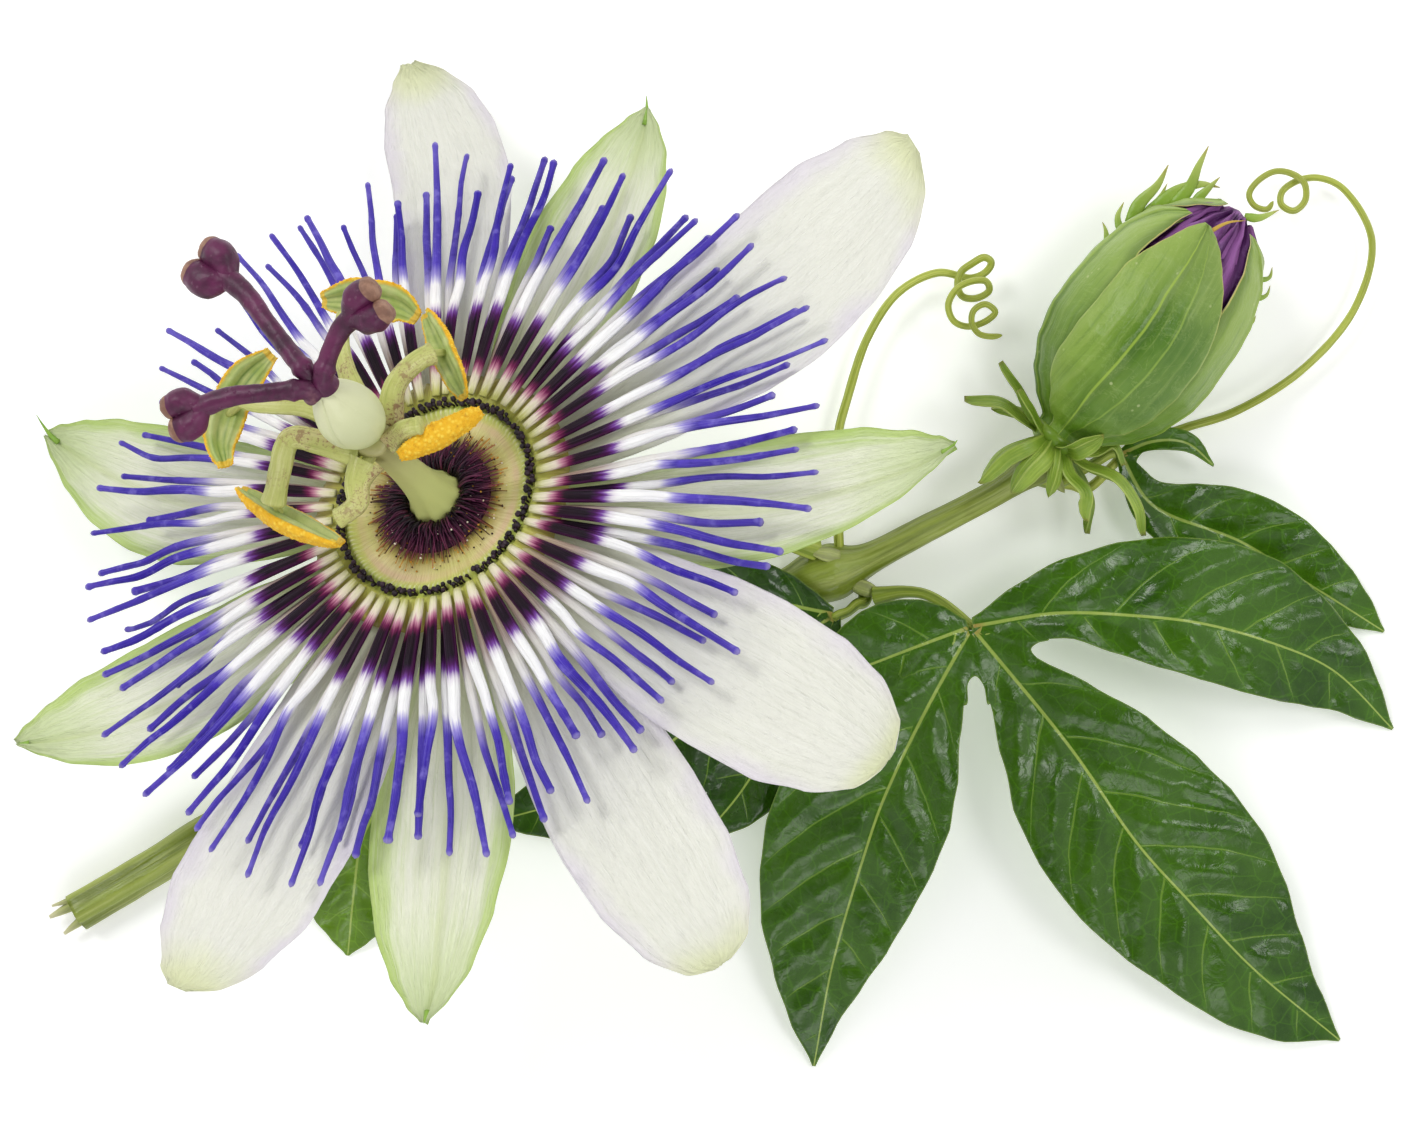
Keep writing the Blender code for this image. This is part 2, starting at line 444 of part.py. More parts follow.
def swept(path, sides, section, up=(0, 0, 1), cap=True):
    """Sweeps section(i, angle) -> (across, along up) round a list of points.
    Returns points, faces, and the share along and the angle at each point."""
    pts = [Vector(p[:3]) for p in path]
    n = len(pts)
    verts, along, around = [], [], []
    up = Vector(up)
    side_prev = None
    for i, p in enumerate(pts):
        t = (pts[min(i + 1, n - 1)] - pts[max(i - 1, 0)]).normalized()
        side = t.cross(up)
        if side.length < 0.15 and side_prev is not None:
            side = side_prev - t * side_prev.dot(t)
        side.normalize()
        if side_prev is not None and side.dot(side_prev) < 0:
            side = -side
        side_prev = side
        top = side.cross(t).normalized()
        for j in range(sides):
            a = math.tau * j / sides
            x, y = section(i, a)
            verts.append(p + side * x + top * y)
            along.append(i / (n - 1))
            around.append(a)
    faces = grid_faces(n - 1, sides, wrap=True)
    if cap:
        for ring in (0, n - 1):
            centre = sum((verts[ring * sides + j] for j in range(sides)), Vector()) / sides
            verts.append(centre)
            along.append(ring / (n - 1))
            around.append(0.0)
            c = len(verts) - 1
            for j in range(sides):
                a, b = ring * sides + j, ring * sides + (j + 1) % sides
                faces.append((c, b, a) if ring == 0 else (c, a, b))
    return verts, faces, along, around


def boat_section(a, width, depth, roll):
    """Cross-section of an anther: a rounded back, and a hollow face with two ridges."""
    x = width * math.cos(a)
    q = abs(math.cos(a))
    if math.sin(a) <= 0:
        y = depth * math.sin(a)
    else:
        y = depth * (1 - q ** 10) * (0.28 * q * q - 0.35 * (1 - q * q)
                                     + 0.4 * math.exp(-((q - 0.52) / 0.2) ** 2))
    c, s = math.cos(roll), math.sin(roll)
    return x * c - y * s, x * s + y * c


def style_size(share, radius, head):
    """Half width across, half height and cleft of a style at a share of its length:
    a round stalk that flares into two lobes with a blunt end."""
    flare = min(1.0, max(0.0, (share - 0.66) / 0.22))
    flare = flare * flare * (3 - 2 * flare)
    across = radius * (1 + 0.25 * max(0.0, 1 - share / 0.1)) * (1 - flare) + head * flare
    high = radius * (1 - flare) + head * 0.56 * flare
    if share > 0.93:
        k = (share - 0.93) / 0.07
        across *= math.sqrt(max(0.0, 1 - 0.6 * k * k))
        high *= math.sqrt(max(0.0, 1 - 0.75 * k * k))
    return across, high, 0.42 * flare


def style_section(a, across, high, cleft):
    c = math.cos(a)
    pinch = 1 - cleft * math.exp(-(c / 0.36) ** 2)
    return across * c, high * math.sin(a) * pinch * (1 + 0.25 * cleft * abs(c))


def style_route(index):
    """A style's course from the ovary to the blunt end of its stigma."""
    route = STYLES[index]
    head, size = STIGMAS[index]
    end, before = Vector(head), Vector(route[-2])
    ahead = (end - before).normalized()
    return [tuple(p) for p in route[:-1]] + [tuple(end + ahead * size * 0.5)]


def material(name, colour, roughness):
    made = bpy.data.materials.new(name)
    made.use_nodes = True
    shader = made.node_tree.nodes["Principled BSDF"]
    shader.inputs["Base Color"].default_value = (*colour, 1.0)
    shader.inputs["Roughness"].default_value = roughness
    shader.inputs["Metallic"].default_value = 0.0
    made.diffuse_color = (*colour, 1.0)
    return made


def place(obj, mat, parent=None):
    """Links an object, gives it its material, and hangs it on its frame."""
    bpy.context.scene.collection.objects.link(obj)
    obj.data.materials.append(mat)
    if parent:
        obj.parent = parent
    return obj


def from_bmesh(name, bm, mat, parent=None, smooth=True):
    bmesh.ops.recalc_face_normals(bm, faces=bm.faces)
    mesh = bpy.data.meshes.new(name)
    bm.to_mesh(mesh)
    bm.free()
    if smooth:
        mesh.shade_smooth()
    return place(bpy.data.objects.new(name, mesh), mat, parent)


def frame_empty(name, matrix):
    empty = bpy.data.objects.new(name, None)
    bpy.context.scene.collection.objects.link(empty)
    empty.matrix_world = matrix
    return empty


def thicken(obj, thickness, offset=0.0):
    solid = obj.modifiers.new("thickness", "SOLIDIFY")
    solid.thickness = thickness * MM
    solid.offset = offset
    solid.use_even_offset = False
    return obj


def tube(name, route, count, mat, parent=None, sides=8, local=False, flat=1.0):
    """A round member: a poly curve with a bevel, whose radius follows the route."""
    data = bpy.data.curves.new(name, "CURVE")
    data.dimensions = "3D"
    data.bevel_depth = MM
    data.bevel_resolution = sides // 2 - 2
    data.use_fill_caps = True
    spline = data.splines.new("POLY")
    samples = smooth_path(route, count)
    spline.points.add(len(samples) - 1)
    for point, (x, y, z, r) in zip(spline.points, samples):
        at = Vector((x, y, z)) * MM if local else world(x, y, z)
        point.co = (*at, 1.0)
        point.radius = r
    return place(bpy.data.objects.new(name, data), mat, parent)


def with_radius(points, start, end):
    """Adds an even taper to a route."""
    n = len(points) - 1
    return [(*p, start + (end - start) * i / n) for i, p in enumerate(points)]


def lofted(name, made, mat, parent=None):
    """A closed skin over the sections that swept() made, in millimetres."""
    verts, faces = made[:2]
    bm = bmesh.new()
    points = [bm.verts.new(v * MM) for v in verts]
    for face in faces:
        bm.faces.new([points[i] for i in face])
    return from_bmesh(name, bm, mat, parent)


def turned(name, profile, mat, parent=None, segments=24):
    """A solid of revolution: the profile (radius, height) is spun about the local z."""
    bm = bmesh.new()
    verts = [bm.verts.new((r * MM, 0, h * MM)) for r, h in profile]
    edges = [bm.edges.new(pair) for pair in zip(verts, verts[1:])]
    bmesh.ops.spin(bm, geom=verts + edges, axis=(0, 0, 1), cent=(0, 0, 0),
                   angle=math.tau, steps=segments)
    bmesh.ops.remove_doubles(bm, verts=bm.verts, dist=1e-6)
    return from_bmesh(name, bm, mat, parent)


def sheet(name, point_at, us, vs, mat, parent, thickness, offset=0.0):
    """A blade: a grid of points, thickened with Solidify."""
    bm = bmesh.new()
    grid = [[bm.verts.new(point_at(u, v)) for v in vs] for u in us]
    for a, b in zip(grid, grid[1:]):
        for i in range(len(vs) - 1):
            bm.faces.new((a[i], b[i], b[i + 1], a[i + 1]))
    bmesh.ops.recalc_face_normals(bm, faces=bm.faces)
    mesh = bpy.data.meshes.new(name)
    bm.to_mesh(mesh)
    bm.free()
    mesh.shade_smooth()
    obj = place(bpy.data.objects.new(name, mesh), mat, parent)
    return thicken(obj, thickness, offset)


def spoked_ring(name, r_in, r_out, low, high, spokes, mat, parent):
    """A ring whose outer faces are extruded into blades, one closed body.
    spokes: (angle, half angle, sections), each section four corners in order
    (low start, low end, high end, high start)."""
    bm = bmesh.new()
    angles = []
    for phi, half, _ in spokes:
        angles += [math.radians(phi - half), math.radians(phi + half)]
    rings = []
    for a in angles:
        c, s = math.cos(a) * MM, math.sin(a) * MM
        rings.append([bm.verts.new((r * c, r * s, h * MM)) for r, h in
                      ((r_in, low), (r_out, low), (r_out, high), (r_in, high))])
    outers = []
    for i, a in enumerate(rings):
        b = rings[(i + 1) % len(rings)]
        for j in (0, 2, 3):
            k = (j + 1) % 4
            bm.faces.new((a[j], b[j], b[k], a[k]))
        face = bm.faces.new((a[1], b[1], b[2], a[2]))
        if i % 2 == 0:
            outers.append(face)
    for face, (_, _, sections) in zip(outers, spokes):
        for corners in sections:
            made = bmesh.ops.extrude_discrete_faces(bm, faces=[face])
            face = made["faces"][0]
            for loop, corner in zip(face.loops, corners):
                loop.vert.co = Vector(corner) * MM
    return from_bmesh(name, bm, mat, parent, smooth=False)


def corona_row(name, count, turn, low, high, tip_r, rise, droop, seed, mat, parent):
    """One row of corona filaments on their common ring."""
    rng = random.Random(seed)
    step = 360.0 / count
    spokes = []
    mid = (low + high) / 2
    for i in range(count):
        phi = turn + i * step
        reach = tip_r * (1 + 0.05 * math.sin(math.radians(phi) * 3 + 1) + rng.uniform(-0.05, 0.04))
        wave = rng.uniform(-0.5, 0.5)
        sections = []
        for share, width in ((0.5, 0.4), (1.0, 0.18)):
            r = CORONA_ROOT_R + 0.5 + (reach - CORONA_ROOT_R - 0.5) * share
            side = wave * share * share
            h = mid + rise * math.sin(math.pi * min(1, share * 1.1)) + droop * share * share
            a = math.radians(phi)
            corners = []
            for sy, sz in ((-1, -1), (1, -1), (1, 1), (-1, 1)):
                y = side + sy * width
                corners.append((r * math.cos(a) - y * math.sin(a),
                                r * math.sin(a) + y * math.cos(a), h + sz * width * 0.8))
            sections.append(corners)
        spokes.append((phi, step * 0.3, sections))
    return spoked_ring(name, CORONA_ROOT_R - 0.6, CORONA_ROOT_R, low, high, spokes, mat, parent)


def leaf(name, lobes, mat, spacing=6.0, webs=(), thickness=0.45):
    """A leaf blade: the union of its lobes in plan, raised to its folded surface."""
    rows, plan, faces = leaf_plan(lobes, webs, 13, spacing)
    bm = bmesh.new()
    verts = [bm.verts.new(world(x, y, blade_height(rows, x, y))) for x, y in plan]
    for face in faces:
        bm.faces.new([verts[i] for i in face])
    bmesh.ops.remove_doubles(bm, verts=bm.verts, dist=0.12 * MM)
    bmesh.ops.dissolve_degenerate(bm, edges=bm.edges, dist=0.02 * MM)
    for face in bm.faces:
        face.normal_update()
        if face.normal.z < 0:
            face.normal_flip()
    mesh = bpy.data.meshes.new(name)
    bm.to_mesh(mesh)
    bm.free()
    mesh.shade_smooth()
    return thicken(place(bpy.data.objects.new(name, mesh), mat), thickness)


def bud_shell(share, theta, gap=0.0):
    """A point of the bud's outer surface, in its own frame."""
    length = (world(*BUD_TIP) - world(*BUD_BASE)).length / MM
    r = (BUD_R - gap) * table(BUD_OUTLINE, share)
    a = math.radians(theta)
    return Vector((r * math.cos(a), r * math.sin(a), 1.2 + (length - 1.2) * share)) * MM


def bract_sections(angle, course, half):
    """Square-ended sections of a bract, from the collar to its tip."""
    a = math.radians(angle)
    start = Vector((2.0 * math.cos(a), 2.0 * math.sin(a), -0.4))
    points = [start] + [Vector(p) for p in course]
    out = []
    for i in range(1, len(points)):
        ahead = points[min(i + 1, len(points) - 1)] - points[i - 1]
        ahead.normalize()
        outward = Vector((math.cos(a), math.sin(a), 0))
        across = Vector((-math.sin(a), math.cos(a), 0))
        if abs(ahead.dot(across)) > 0.9:
            across = Vector((0, 0, -1))
        across = (across - ahead * ahead.dot(across)).normalized()
        normal = ahead.cross(across).normalized()
        w = half * table(((0, 0.5), (0.33, 1.0), (0.67, 0.8), (1, 0.12)), i / (len(points) - 1))
        p = points[i]
        t = 0.17
        out.append([p - across * w - normal * t, p + across * w - normal * t,
                    p + across * w + normal * t, p - across * w + normal * t])
    return [[tuple(c) for c in s] for s in out]


def clear_scene():
    for obj in list(bpy.data.objects):
        bpy.data.objects.remove(obj)


def build():
    clear_scene()
    stem_green = material("stem_green", (0.30, 0.36, 0.10), 0.5)
    leaf_green = material("leaf_green", (0.06, 0.22, 0.03), 0.3)
    petal_white = material("petal_white", (0.84, 0.84, 0.82), 0.45)
    sepal_green = material("sepal_green", (0.62, 0.74, 0.42), 0.45)
    corona_blue = material("corona_blue", (0.33, 0.27, 0.68), 0.5)
    bead_dark = material("bead_dark", (0.03, 0.01, 0.03), 0.4)
    disc_green = material("disc_green", (0.60, 0.60, 0.30), 0.5)
    hair_purple = material("hair_purple", (0.10, 0.02, 0.07), 0.5)
    column_green = material("column_green", (0.55, 0.63, 0.35), 0.4)
    style_maroon = material("style_maroon", (0.14, 0.02, 0.08), 0.4)
    anther_yellow = material("anther_yellow", (0.85, 0.55, 0.05), 0.7)
    filament_green = material("filament_green", (0.58, 0.65, 0.35), 0.45)
    bud_green = material("bud_green", (0.28, 0.42, 0.12), 0.45)
    bud_purple = material("bud_purple", (0.18, 0.05, 0.25), 0.5)
    tendril_green = material("tendril_green", (0.45, 0.52, 0.10), 0.4)

    # The vine and what grows from it.
    tube("vine_stem", STEM, 22, stem_green, sides=10)
    tube("petiole_a", PETIOLE_A, 9, stem_green)
    tube("petiole_b", PETIOLE_B, 5, stem_green)
    tube("petiole_c", PETIOLE_C, 4, stem_green)
    tube("petiole_d", PETIOLE_D, 6, stem_green)
    tube("peduncle", PEDUNCLE, 10, stem_green)
    tube("tendril_left", with_radius(TENDRIL_LEFT, *TENDRIL_R), 58, tendril_green, sides=6)
    tube("tendril_right", with_radius(TENDRIL_RIGHT, *TENDRIL_R), 46, tendril_green, sides=6)
    leaf("leaf_a", LEAF_A, leaf_green, webs=WEBS_A)
    leaf("leaf_b", LEAF_B, leaf_green, webs=WEBS_B)
    leaf("leaf_c", LEAF_C, leaf_green, spacing=4.0)
    leaf("leaf_d", LEAF_D, leaf_green, spacing=4.0, webs=WEBS_D)

    # The open flower, in its own frame.
    flower = frame_empty("flower_frame", flower_matrix())
    turned("receptacle", ((0, -9.4), (1.5, -9.4), (1.8, -8.4), (4.4, -6.6), (6.6, -4.8),
                          (6.7, -2.2), (9.2, -1.7), (9.3, -0.6), (5.8, -0.9), (0, -0.9)),
           disc_green, flower)
    ring = [(2.9, -0.55), (5.7, -0.6), (5.9, 0.0), (4.6, 0.5), (2.9, 0.6), (2.9, -0.55)]
    turned("nectary_disc", ring, hair_purple, flower, segments=24)
    turned("bead_ring", [(8.4, -0.3), (9.3, -0.3), (9.3, 0.5), (8.9, 0.7), (8.4, 0.4), (8.4, -0.3)],
           bead_dark, flower, segments=32)
    for tepal in TEPALS:
        name, kind = tepal[:2]
        us = (0, 0.14, 0.3, 0.48, 0.64, 0.78, 0.89, 0.96, 1.0)
        sheet(name, lambda u, v, tepal=tepal: tepal_point(tepal, u, v), us,
              (-1, -0.5, 0, 0.5, 1), petal_white if kind == "petal" else sepal_green,
              flower, 0.45)
    corona_row("corona_upper", CORONA_COUNT, 0.0, 0.25, 0.85, CORONA_TIP_R, 0.5, 0.3, 4,
               corona_blue, flower)
    corona_row("corona_lower", CORONA_COUNT, 180.0 / CORONA_COUNT, -0.75, -0.15,
               CORONA_TIP_R * 0.98, 0.1, -0.1, 9, corona_blue, flower)
    column = ((0, 0, -0.5, 2.5), (0, 0, 0.8, 1.9), (0, 0, 3.0, 1.45), (0, 0, 7.0, 1.25),
              (0, 0, 11.0, 1.2))
    tube("column", column, 8, column_green, flower, sides=12, local=True)
    egg = [(0, 0, 11.4 + 8.7 * t, 2.8 * math.sin(math.pi * (0.08 + 0.86 * t)) ** 0.75)
           for t in (0, 0.12, 0.28, 0.45, 0.62, 0.8, 0.93, 1.0)]
    tube("ovary", egg, 9, column_green, flower, sides=12, local=True)
    sky = flower_matrix().to_3x3().inverted() @ Vector((0, 0, 1))
    for i, (head, size) in enumerate(STIGMAS):
        count = 12
        path = smooth_path(style_route(i), count)
        sizes = [style_size(k / (count - 1), 0.8, size) for k in range(count)]
        lofted(f"style_{i + 1}", swept(path, 14, lambda k, a: style_section(a, *sizes[k]), up=sky),
               style_maroon, flower)
    for i, route in enumerate(STAMENS, 1):
        tube(f"stamen_filament_{i}", with_radius(route, *STAMEN_W), 6, filament_green,
             flower, sides=6, local=True)
    for i, route in enumerate(ANTHERS):
        count = 10
        path = smooth_path(route, count)
        width, depth, roll = ANTHER_SHAPE[i]

        def boat(k, a):
            full = math.sin(math.pi * (0.07 + 0.86 * k / (count - 1))) ** 0.5
            return boat_section(a, width * full, depth * full, roll)
        lofted(f"anther_{i + 1}", swept(path, 16, boat, up=sky), anther_yellow, flower)

    # The bud and its collar of bracts.
    bud = frame_empty("bud_frame", bud_matrix())
    length = (world(*BUD_TIP) - world(*BUD_BASE)).length / MM
    stations = (0, 0.05, 0.14, 0.28, 0.45, 0.62, 0.78, 0.9, 1.0)
    core = [(0, 1.2)] + [(max(0.6, BUD_R * table(BUD_OUTLINE, s) - 1.05), 1.2 + (length - 1.2) * s)
                         for s in stations] + [(0, length + 0.3)]
    turned("bud_core", core, bud_purple, bud, segments=20)
    for i, edges in enumerate(BUD_SEPALS, 1):
        def shell(share, v, edges=edges):
            low, high = (table([(e[0], e[k]) for e in edges], share) for k in (1, 2))
            inset = math.degrees(0.36 / (BUD_R * table(BUD_OUTLINE, share)))
            inset = min(inset, (high - low) * 0.4)
            return bud_shell(share, low + inset + (high - low - 2 * inset) * (v + 1) / 2)
        sheet(f"bud_sepal_{i}", shell, [e[0] for e in edges], (-1, -0.5, 0, 0.5, 1), bud_green, bud, 0.6, -1.0)
    spokes = []
    ordered = sorted(BRACTS, key=lambda b: b[0] % 360)
    for angle, course, half in ordered:
        spokes.append((angle % 360, 7.0, bract_sections(angle, course, half)))
    spoked_ring("bud_bracts", 1.65, 2.0, -0.9, 0.2, spokes, bud_green, bud)


build()
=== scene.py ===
"""Looks of the passion-flower sprig: petals, corona threads, leaves and bud modelled in
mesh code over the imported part, with node-based materials, a pale floor and soft light."""

import numpy as np
from mathutils import kdtree, noise

import math
import random

import bmesh
import bpy
from mathutils import Matrix, Vector, geometry

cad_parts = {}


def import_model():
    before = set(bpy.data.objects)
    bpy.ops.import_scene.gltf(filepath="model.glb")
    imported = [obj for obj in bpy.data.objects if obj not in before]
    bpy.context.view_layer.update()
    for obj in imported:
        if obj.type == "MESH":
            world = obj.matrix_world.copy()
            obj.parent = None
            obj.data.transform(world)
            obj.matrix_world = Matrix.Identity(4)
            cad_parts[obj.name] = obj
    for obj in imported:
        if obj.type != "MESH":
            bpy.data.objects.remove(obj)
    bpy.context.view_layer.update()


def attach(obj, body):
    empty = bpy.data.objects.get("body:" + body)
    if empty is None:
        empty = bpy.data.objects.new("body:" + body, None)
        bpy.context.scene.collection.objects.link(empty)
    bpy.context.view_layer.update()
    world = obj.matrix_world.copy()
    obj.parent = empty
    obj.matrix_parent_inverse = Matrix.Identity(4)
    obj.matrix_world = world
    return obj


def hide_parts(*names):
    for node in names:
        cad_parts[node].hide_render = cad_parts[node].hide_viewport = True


# All driving dimensions are in millimetres; MM turns them into metres.
MM = 0.001

# The row's origin: centre of the footprint, on the surface the sprig lies on.
ORIGIN = (1.9, -0.2)
LIFT = -0.08

# The open flower: its centre, how far its face leans, and towards which compass angle.
FLOWER_CENTRE = (-22.4, 5.3, 27.0)
FLOWER_TILT = 35.0
FLOWER_LEAN = 133.0
DISC_R = 9.6
BEAD_R = 9.0
CORONA_ROOT_R = 10.2
CORONA_COUNT = 52
CORONA_TIP_R = 35.0
FILAMENT_D = 0.8
COLUMN_TOP = 11.0

# The bud: the middle of its base, the middle of its tip, and its greatest radius.
BUD_BASE = (31.9, 11.0, 7.4)
BUD_TIP = (48.1, 31.2, 9.4)
BUD_R = 7.9

# name, kind, direction, length, half width, sideways bend of the tip,
# height at the root, height at the tip, rise of the margins
TEPALS = (
    ("petal_1", "petal", 96.0, 49.0, 5.8, 5.8, -2.5, -4.1, 1.0),
    ("sepal_1", "sepal", 66.8, 40.8, 6.4, 1.9, -3.9, -3.7, 1.3),
    ("petal_2", "petal", 30.5, 50.8, 8.6, 5.0, -2.4, -3.0, 0.9),
    ("sepal_2", "sepal", -5.0, 45.2, 5.8, 5.1, -3.6, -3.6, 1.3),
    ("petal_3", "petal", -32.0, 50.9, 7.0, 0.0, -2.5, -2.6, 1.1),
    ("petal_4", "petal", -56.0, 52.2, 6.4, 0.8, -3.3, -3.7, 0.3),
    ("sepal_3", "sepal", -84.6, 45.4, 6.6, -1.0, -4.3, -4.4, 1.0),
    ("petal_5", "petal", -111.8, 47.1, 7.5, -1.9, -2.6, -2.8, 0.8),
    ("sepal_4", "sepal", -147.6, 43.8, 6.2, -6.0, -3.6, -3.4, 1.3),
    ("sepal_5", "sepal", 171.8, 44.7, 6.3, -6.2, -3.9, -3.4, 1.5),
)
TEPAL_ROOT_R = 7.2

# Half width along a tepal, as a share of its greatest, from root to tip.
PETAL_OUTLINE = ((0.0, 0.38), (0.12, 0.58), (0.3, 0.8), (0.5, 0.97), (0.62, 1.0),
                 (0.76, 0.96), (0.87, 0.78), (0.95, 0.47), (1.0, 0.14))
SEPAL_OUTLINE = ((0.0, 0.36), (0.14, 0.6), (0.32, 0.88), (0.5, 1.0), (0.64, 0.98),
                 (0.78, 0.82), (0.89, 0.56), (0.96, 0.28), (1.0, 0.05))

# Leaf lobes: midrib points (x, y, z), then the half widths on the left and on the
# right of the midrib, at eleven even stations from the junction to the tip.
LEAF_A = (
    (((24.6, -5.9, 6.8), (32.2, -4.7, 7.6), (38.7, -4.9, 8.0), (45.0, -5.6, 7.6),
      (51.4, -7.3, 6.0), (57.8, -10.0, 3.4), (63.8, -15.5, 0.4)),
     (0.8, 3.0, 5.0, 6.6, 7.4, 7.7, 7.3, 5.8, 3.7, 1.9, 0.15),
     (0.8, 2.2, 2.3, 3.5, 4.5, 5.0, 5.1, 4.8, 4.0, 2.2, 0.15)),
    (((24.8, -6.4, 6.8), (33.0, -16.4, 7.6), (39.4, -25.5, 7.2), (44.4, -31.0, 6.2),
      (50.4, -37.2, 3.8), (58.9, -44.2, 0.4)),
     (0.8, 2.7, 5.0, 7.4, 9.1, 9.7, 9.2, 7.7, 5.4, 2.6, 0.15),
     (0.8, 2.9, 5.5, 7.6, 8.3, 8.3, 7.8, 6.7, 5.6, 3.8, 0.15)),
    (((24.3, -6.4, 6.8), (21.2, -11.8, 7.6), (16.6, -21.2, 7.6), (14.3, -28.2, 6.4),
      (12.0, -36.9, 3.8), (10.4, -46.6, 0.4)),
     (0.8, 2.1, 3.8, 5.6, 6.6, 6.4, 5.6, 4.6, 3.1, 1.4, 0.15),
     (0.8, 3.5, 6.0, 7.5, 9.2, 9.4, 8.7, 7.4, 5.2, 3.0, 0.15)),
    (((24.2, -6.0, 6.8), (19.6, -7.7, 7.0), (14.5, -9.7, 6.4), (8.4, -12.2, 5.4)),
     (0.8, 1.8, 2.2, 2.4, 2.8, 3.2, 3.2, 2.8, 2.0, 1.0, 0.15),
     (0.8, 2.8, 4.0, 4.6, 4.9, 4.8, 4.3, 3.5, 2.5, 1.3, 0.15)),
)
LEAF_B = (
    (((12.2, -4.9, 4.8), (8.4, -12.6, 4.9), (3.8, -20.8, 4.4), (-0.6, -26.0, 3.4)),
     (0.6, 2.0, 3.2, 3.9, 4.2, 4.2, 3.9, 3.4, 2.6, 1.4, 0.15),
     (0.6, 2.0, 3.2, 3.9, 4.2, 4.2, 3.9, 3.4, 2.6, 1.4, 0.15)),
    (((12.0, -4.9, 4.8), (0.0, -14.4, 5.0), (-9.0, -20.6, 4.6), (-19.4, -24.0, 3.4)),
     (0.6, 2.2, 3.6, 4.7, 5.3, 5.6, 5.5, 5.0, 4.0, 2.2, 0.15),
     (0.6, 2.2, 3.6, 4.7, 5.3, 5.6, 5.5, 5.0, 4.0, 2.2, 0.15)),
    (((12.0, -4.8, 4.8), (4.0, -3.4, 4.6), (-3.0, -3.8, 4.4), (-9.5, -5.2, 4.0)),
     (0.6, 1.8, 2.8, 3.4, 3.8, 3.8, 3.5, 3.0, 2.2, 1.2, 0.15),
     (0.6, 1.8, 2.8, 3.4, 3.6, 3.6, 3.4, 2.9, 2.2, 1.2, 0.15)),
)
LEAF_C = (
    (((-29.2, -21.9, 3.4), (-31.0, -25.4, 3.2), (-31.8, -30.0, 2.2), (-32.6, -36.4, 0.4)),
     (0.5, 2.2, 3.6, 4.6, 5.2, 5.3, 5.0, 4.3, 3.3, 1.8, 0.15),
     (0.5, 2.2, 3.6, 4.6, 5.2, 5.3, 5.0, 4.3, 3.3, 1.8, 0.15)),
)
LEAF_D = (
    (((38.3, 9.8, 3.6), (41.2, 5.2, 3.2), (49.4, 1.8, 2.8), (56.6, -2.6, 2.0),
      (63.0, -6.5, 0.4)),
     (0.5, 1.5, 2.7, 3.7, 4.4, 4.7, 4.7, 4.2, 3.3, 2.0, 0.15),
     (0.5, 1.3, 2.3, 3.2, 3.9, 4.2, 4.1, 3.5, 2.6, 1.3, 0.15)),
    (((38.4, 9.8, 3.6), (41.2, 10.9, 4.3), (44.2, 10.8, 4.2), (46.9, 8.7, 3.4)),
     (0.4, 0.7, 0.9, 1.1, 1.2, 1.15, 1.05, 0.9, 0.65, 0.35, 0.12),
     (0.4, 0.6, 0.7, 0.8, 0.9, 0.95, 0.9, 0.75, 0.5, 0.3, 0.12)),
)
# The web of blade between two lobes, which ends in a rounded notch.
WEBS_A = (
    ((24.5, -6.1), (27.6, -5.6), (31.4, -7.1), (30.4, -7.4), (29.8, -7.95), (30.2, -8.6),
     (31.5, -9.5), (28.4, -9.8)),
    ((24.4, -6.3), (27.3, -9.4), (25.9, -13.0), (25.5, -11.2), (24.75, -10.4), (24.1, -11.0),
     (23.9, -13.0), (21.4, -11.6)),
    ((24.1, -6.1), (19.6, -7.4), (14.6, -10.6), (16.2, -10.9), (17.0, -11.5), (16.9, -12.4),
     (15.9, -15.0), (20.6, -12.6)),
)
WEBS_B = (
    ((12.1, -4.9), (8.9, -11.4), (6.2, -13.4), (6.0, -12.6), (5.4, -12.2), (4.6, -12.2), (4.4, -10.8)),
    ((12.0, -4.8), (7.0, -8.6), (2.8, -9.4), (3.3, -8.6), (3.2, -7.8), (2.4, -7.2), (4.6, -4.0)),
)
WEBS_D = (
    ((38.5, 9.9), (38.9, 7.6), (42.2, 5.2), (42.0, 7.1), (40.7, 7.6), (39.9, 8.3), (39.8, 9.1),
     (40.3, 9.9), (41.4, 10.2), (40.2, 10.8)),
)

# Round members: (x, y, z, radius) along each.
STEM = ((-57.4, -32.2, 1.75, 1.75), (-50.4, -28.1, 1.75, 1.7), (-45.4, -25.0, 1.7, 1.65),
        (-34.0, -19.8, 1.6, 1.5), (-20.0, -13.6, 1.6, 1.45), (-6.0, -7.6, 1.6, 1.4),
        (6.0, -3.0, 1.7, 1.4), (11.4, -1.3, 1.9, 1.9), (14.6, -0.2, 2.3, 1.45),
        (20.4, 2.8, 3.4, 1.25), (27.0, 6.3, 5.2, 1.2), (30.2, 8.6, 6.4, 1.45),
        (31.2, 9.8, 7.0, 1.3))
PETIOLE_A = ((15.9, -3.2, 3.2, 0.75), (18.4, -2.8, 4.1, 0.55), (20.3, -3.0, 4.9, 0.5),
             (22.0, -3.9, 5.5, 0.5), (23.4, -5.0, 5.8, 0.5), (24.2, -5.7, 5.9, 0.5))
PETIOLE_B = ((15.0, -3.6, 2.2, 0.6), (14.2, -4.0, 3.2, 0.5), (13.4, -4.6, 4.0, 0.45),
             (12.6, -4.9, 4.5, 0.5))
PETIOLE_C = ((-28.3, -19.2, 2.4, 0.5), (-28.6, -20.2, 3.0, 0.45), (-28.9, -21.0, 3.1, 0.45))
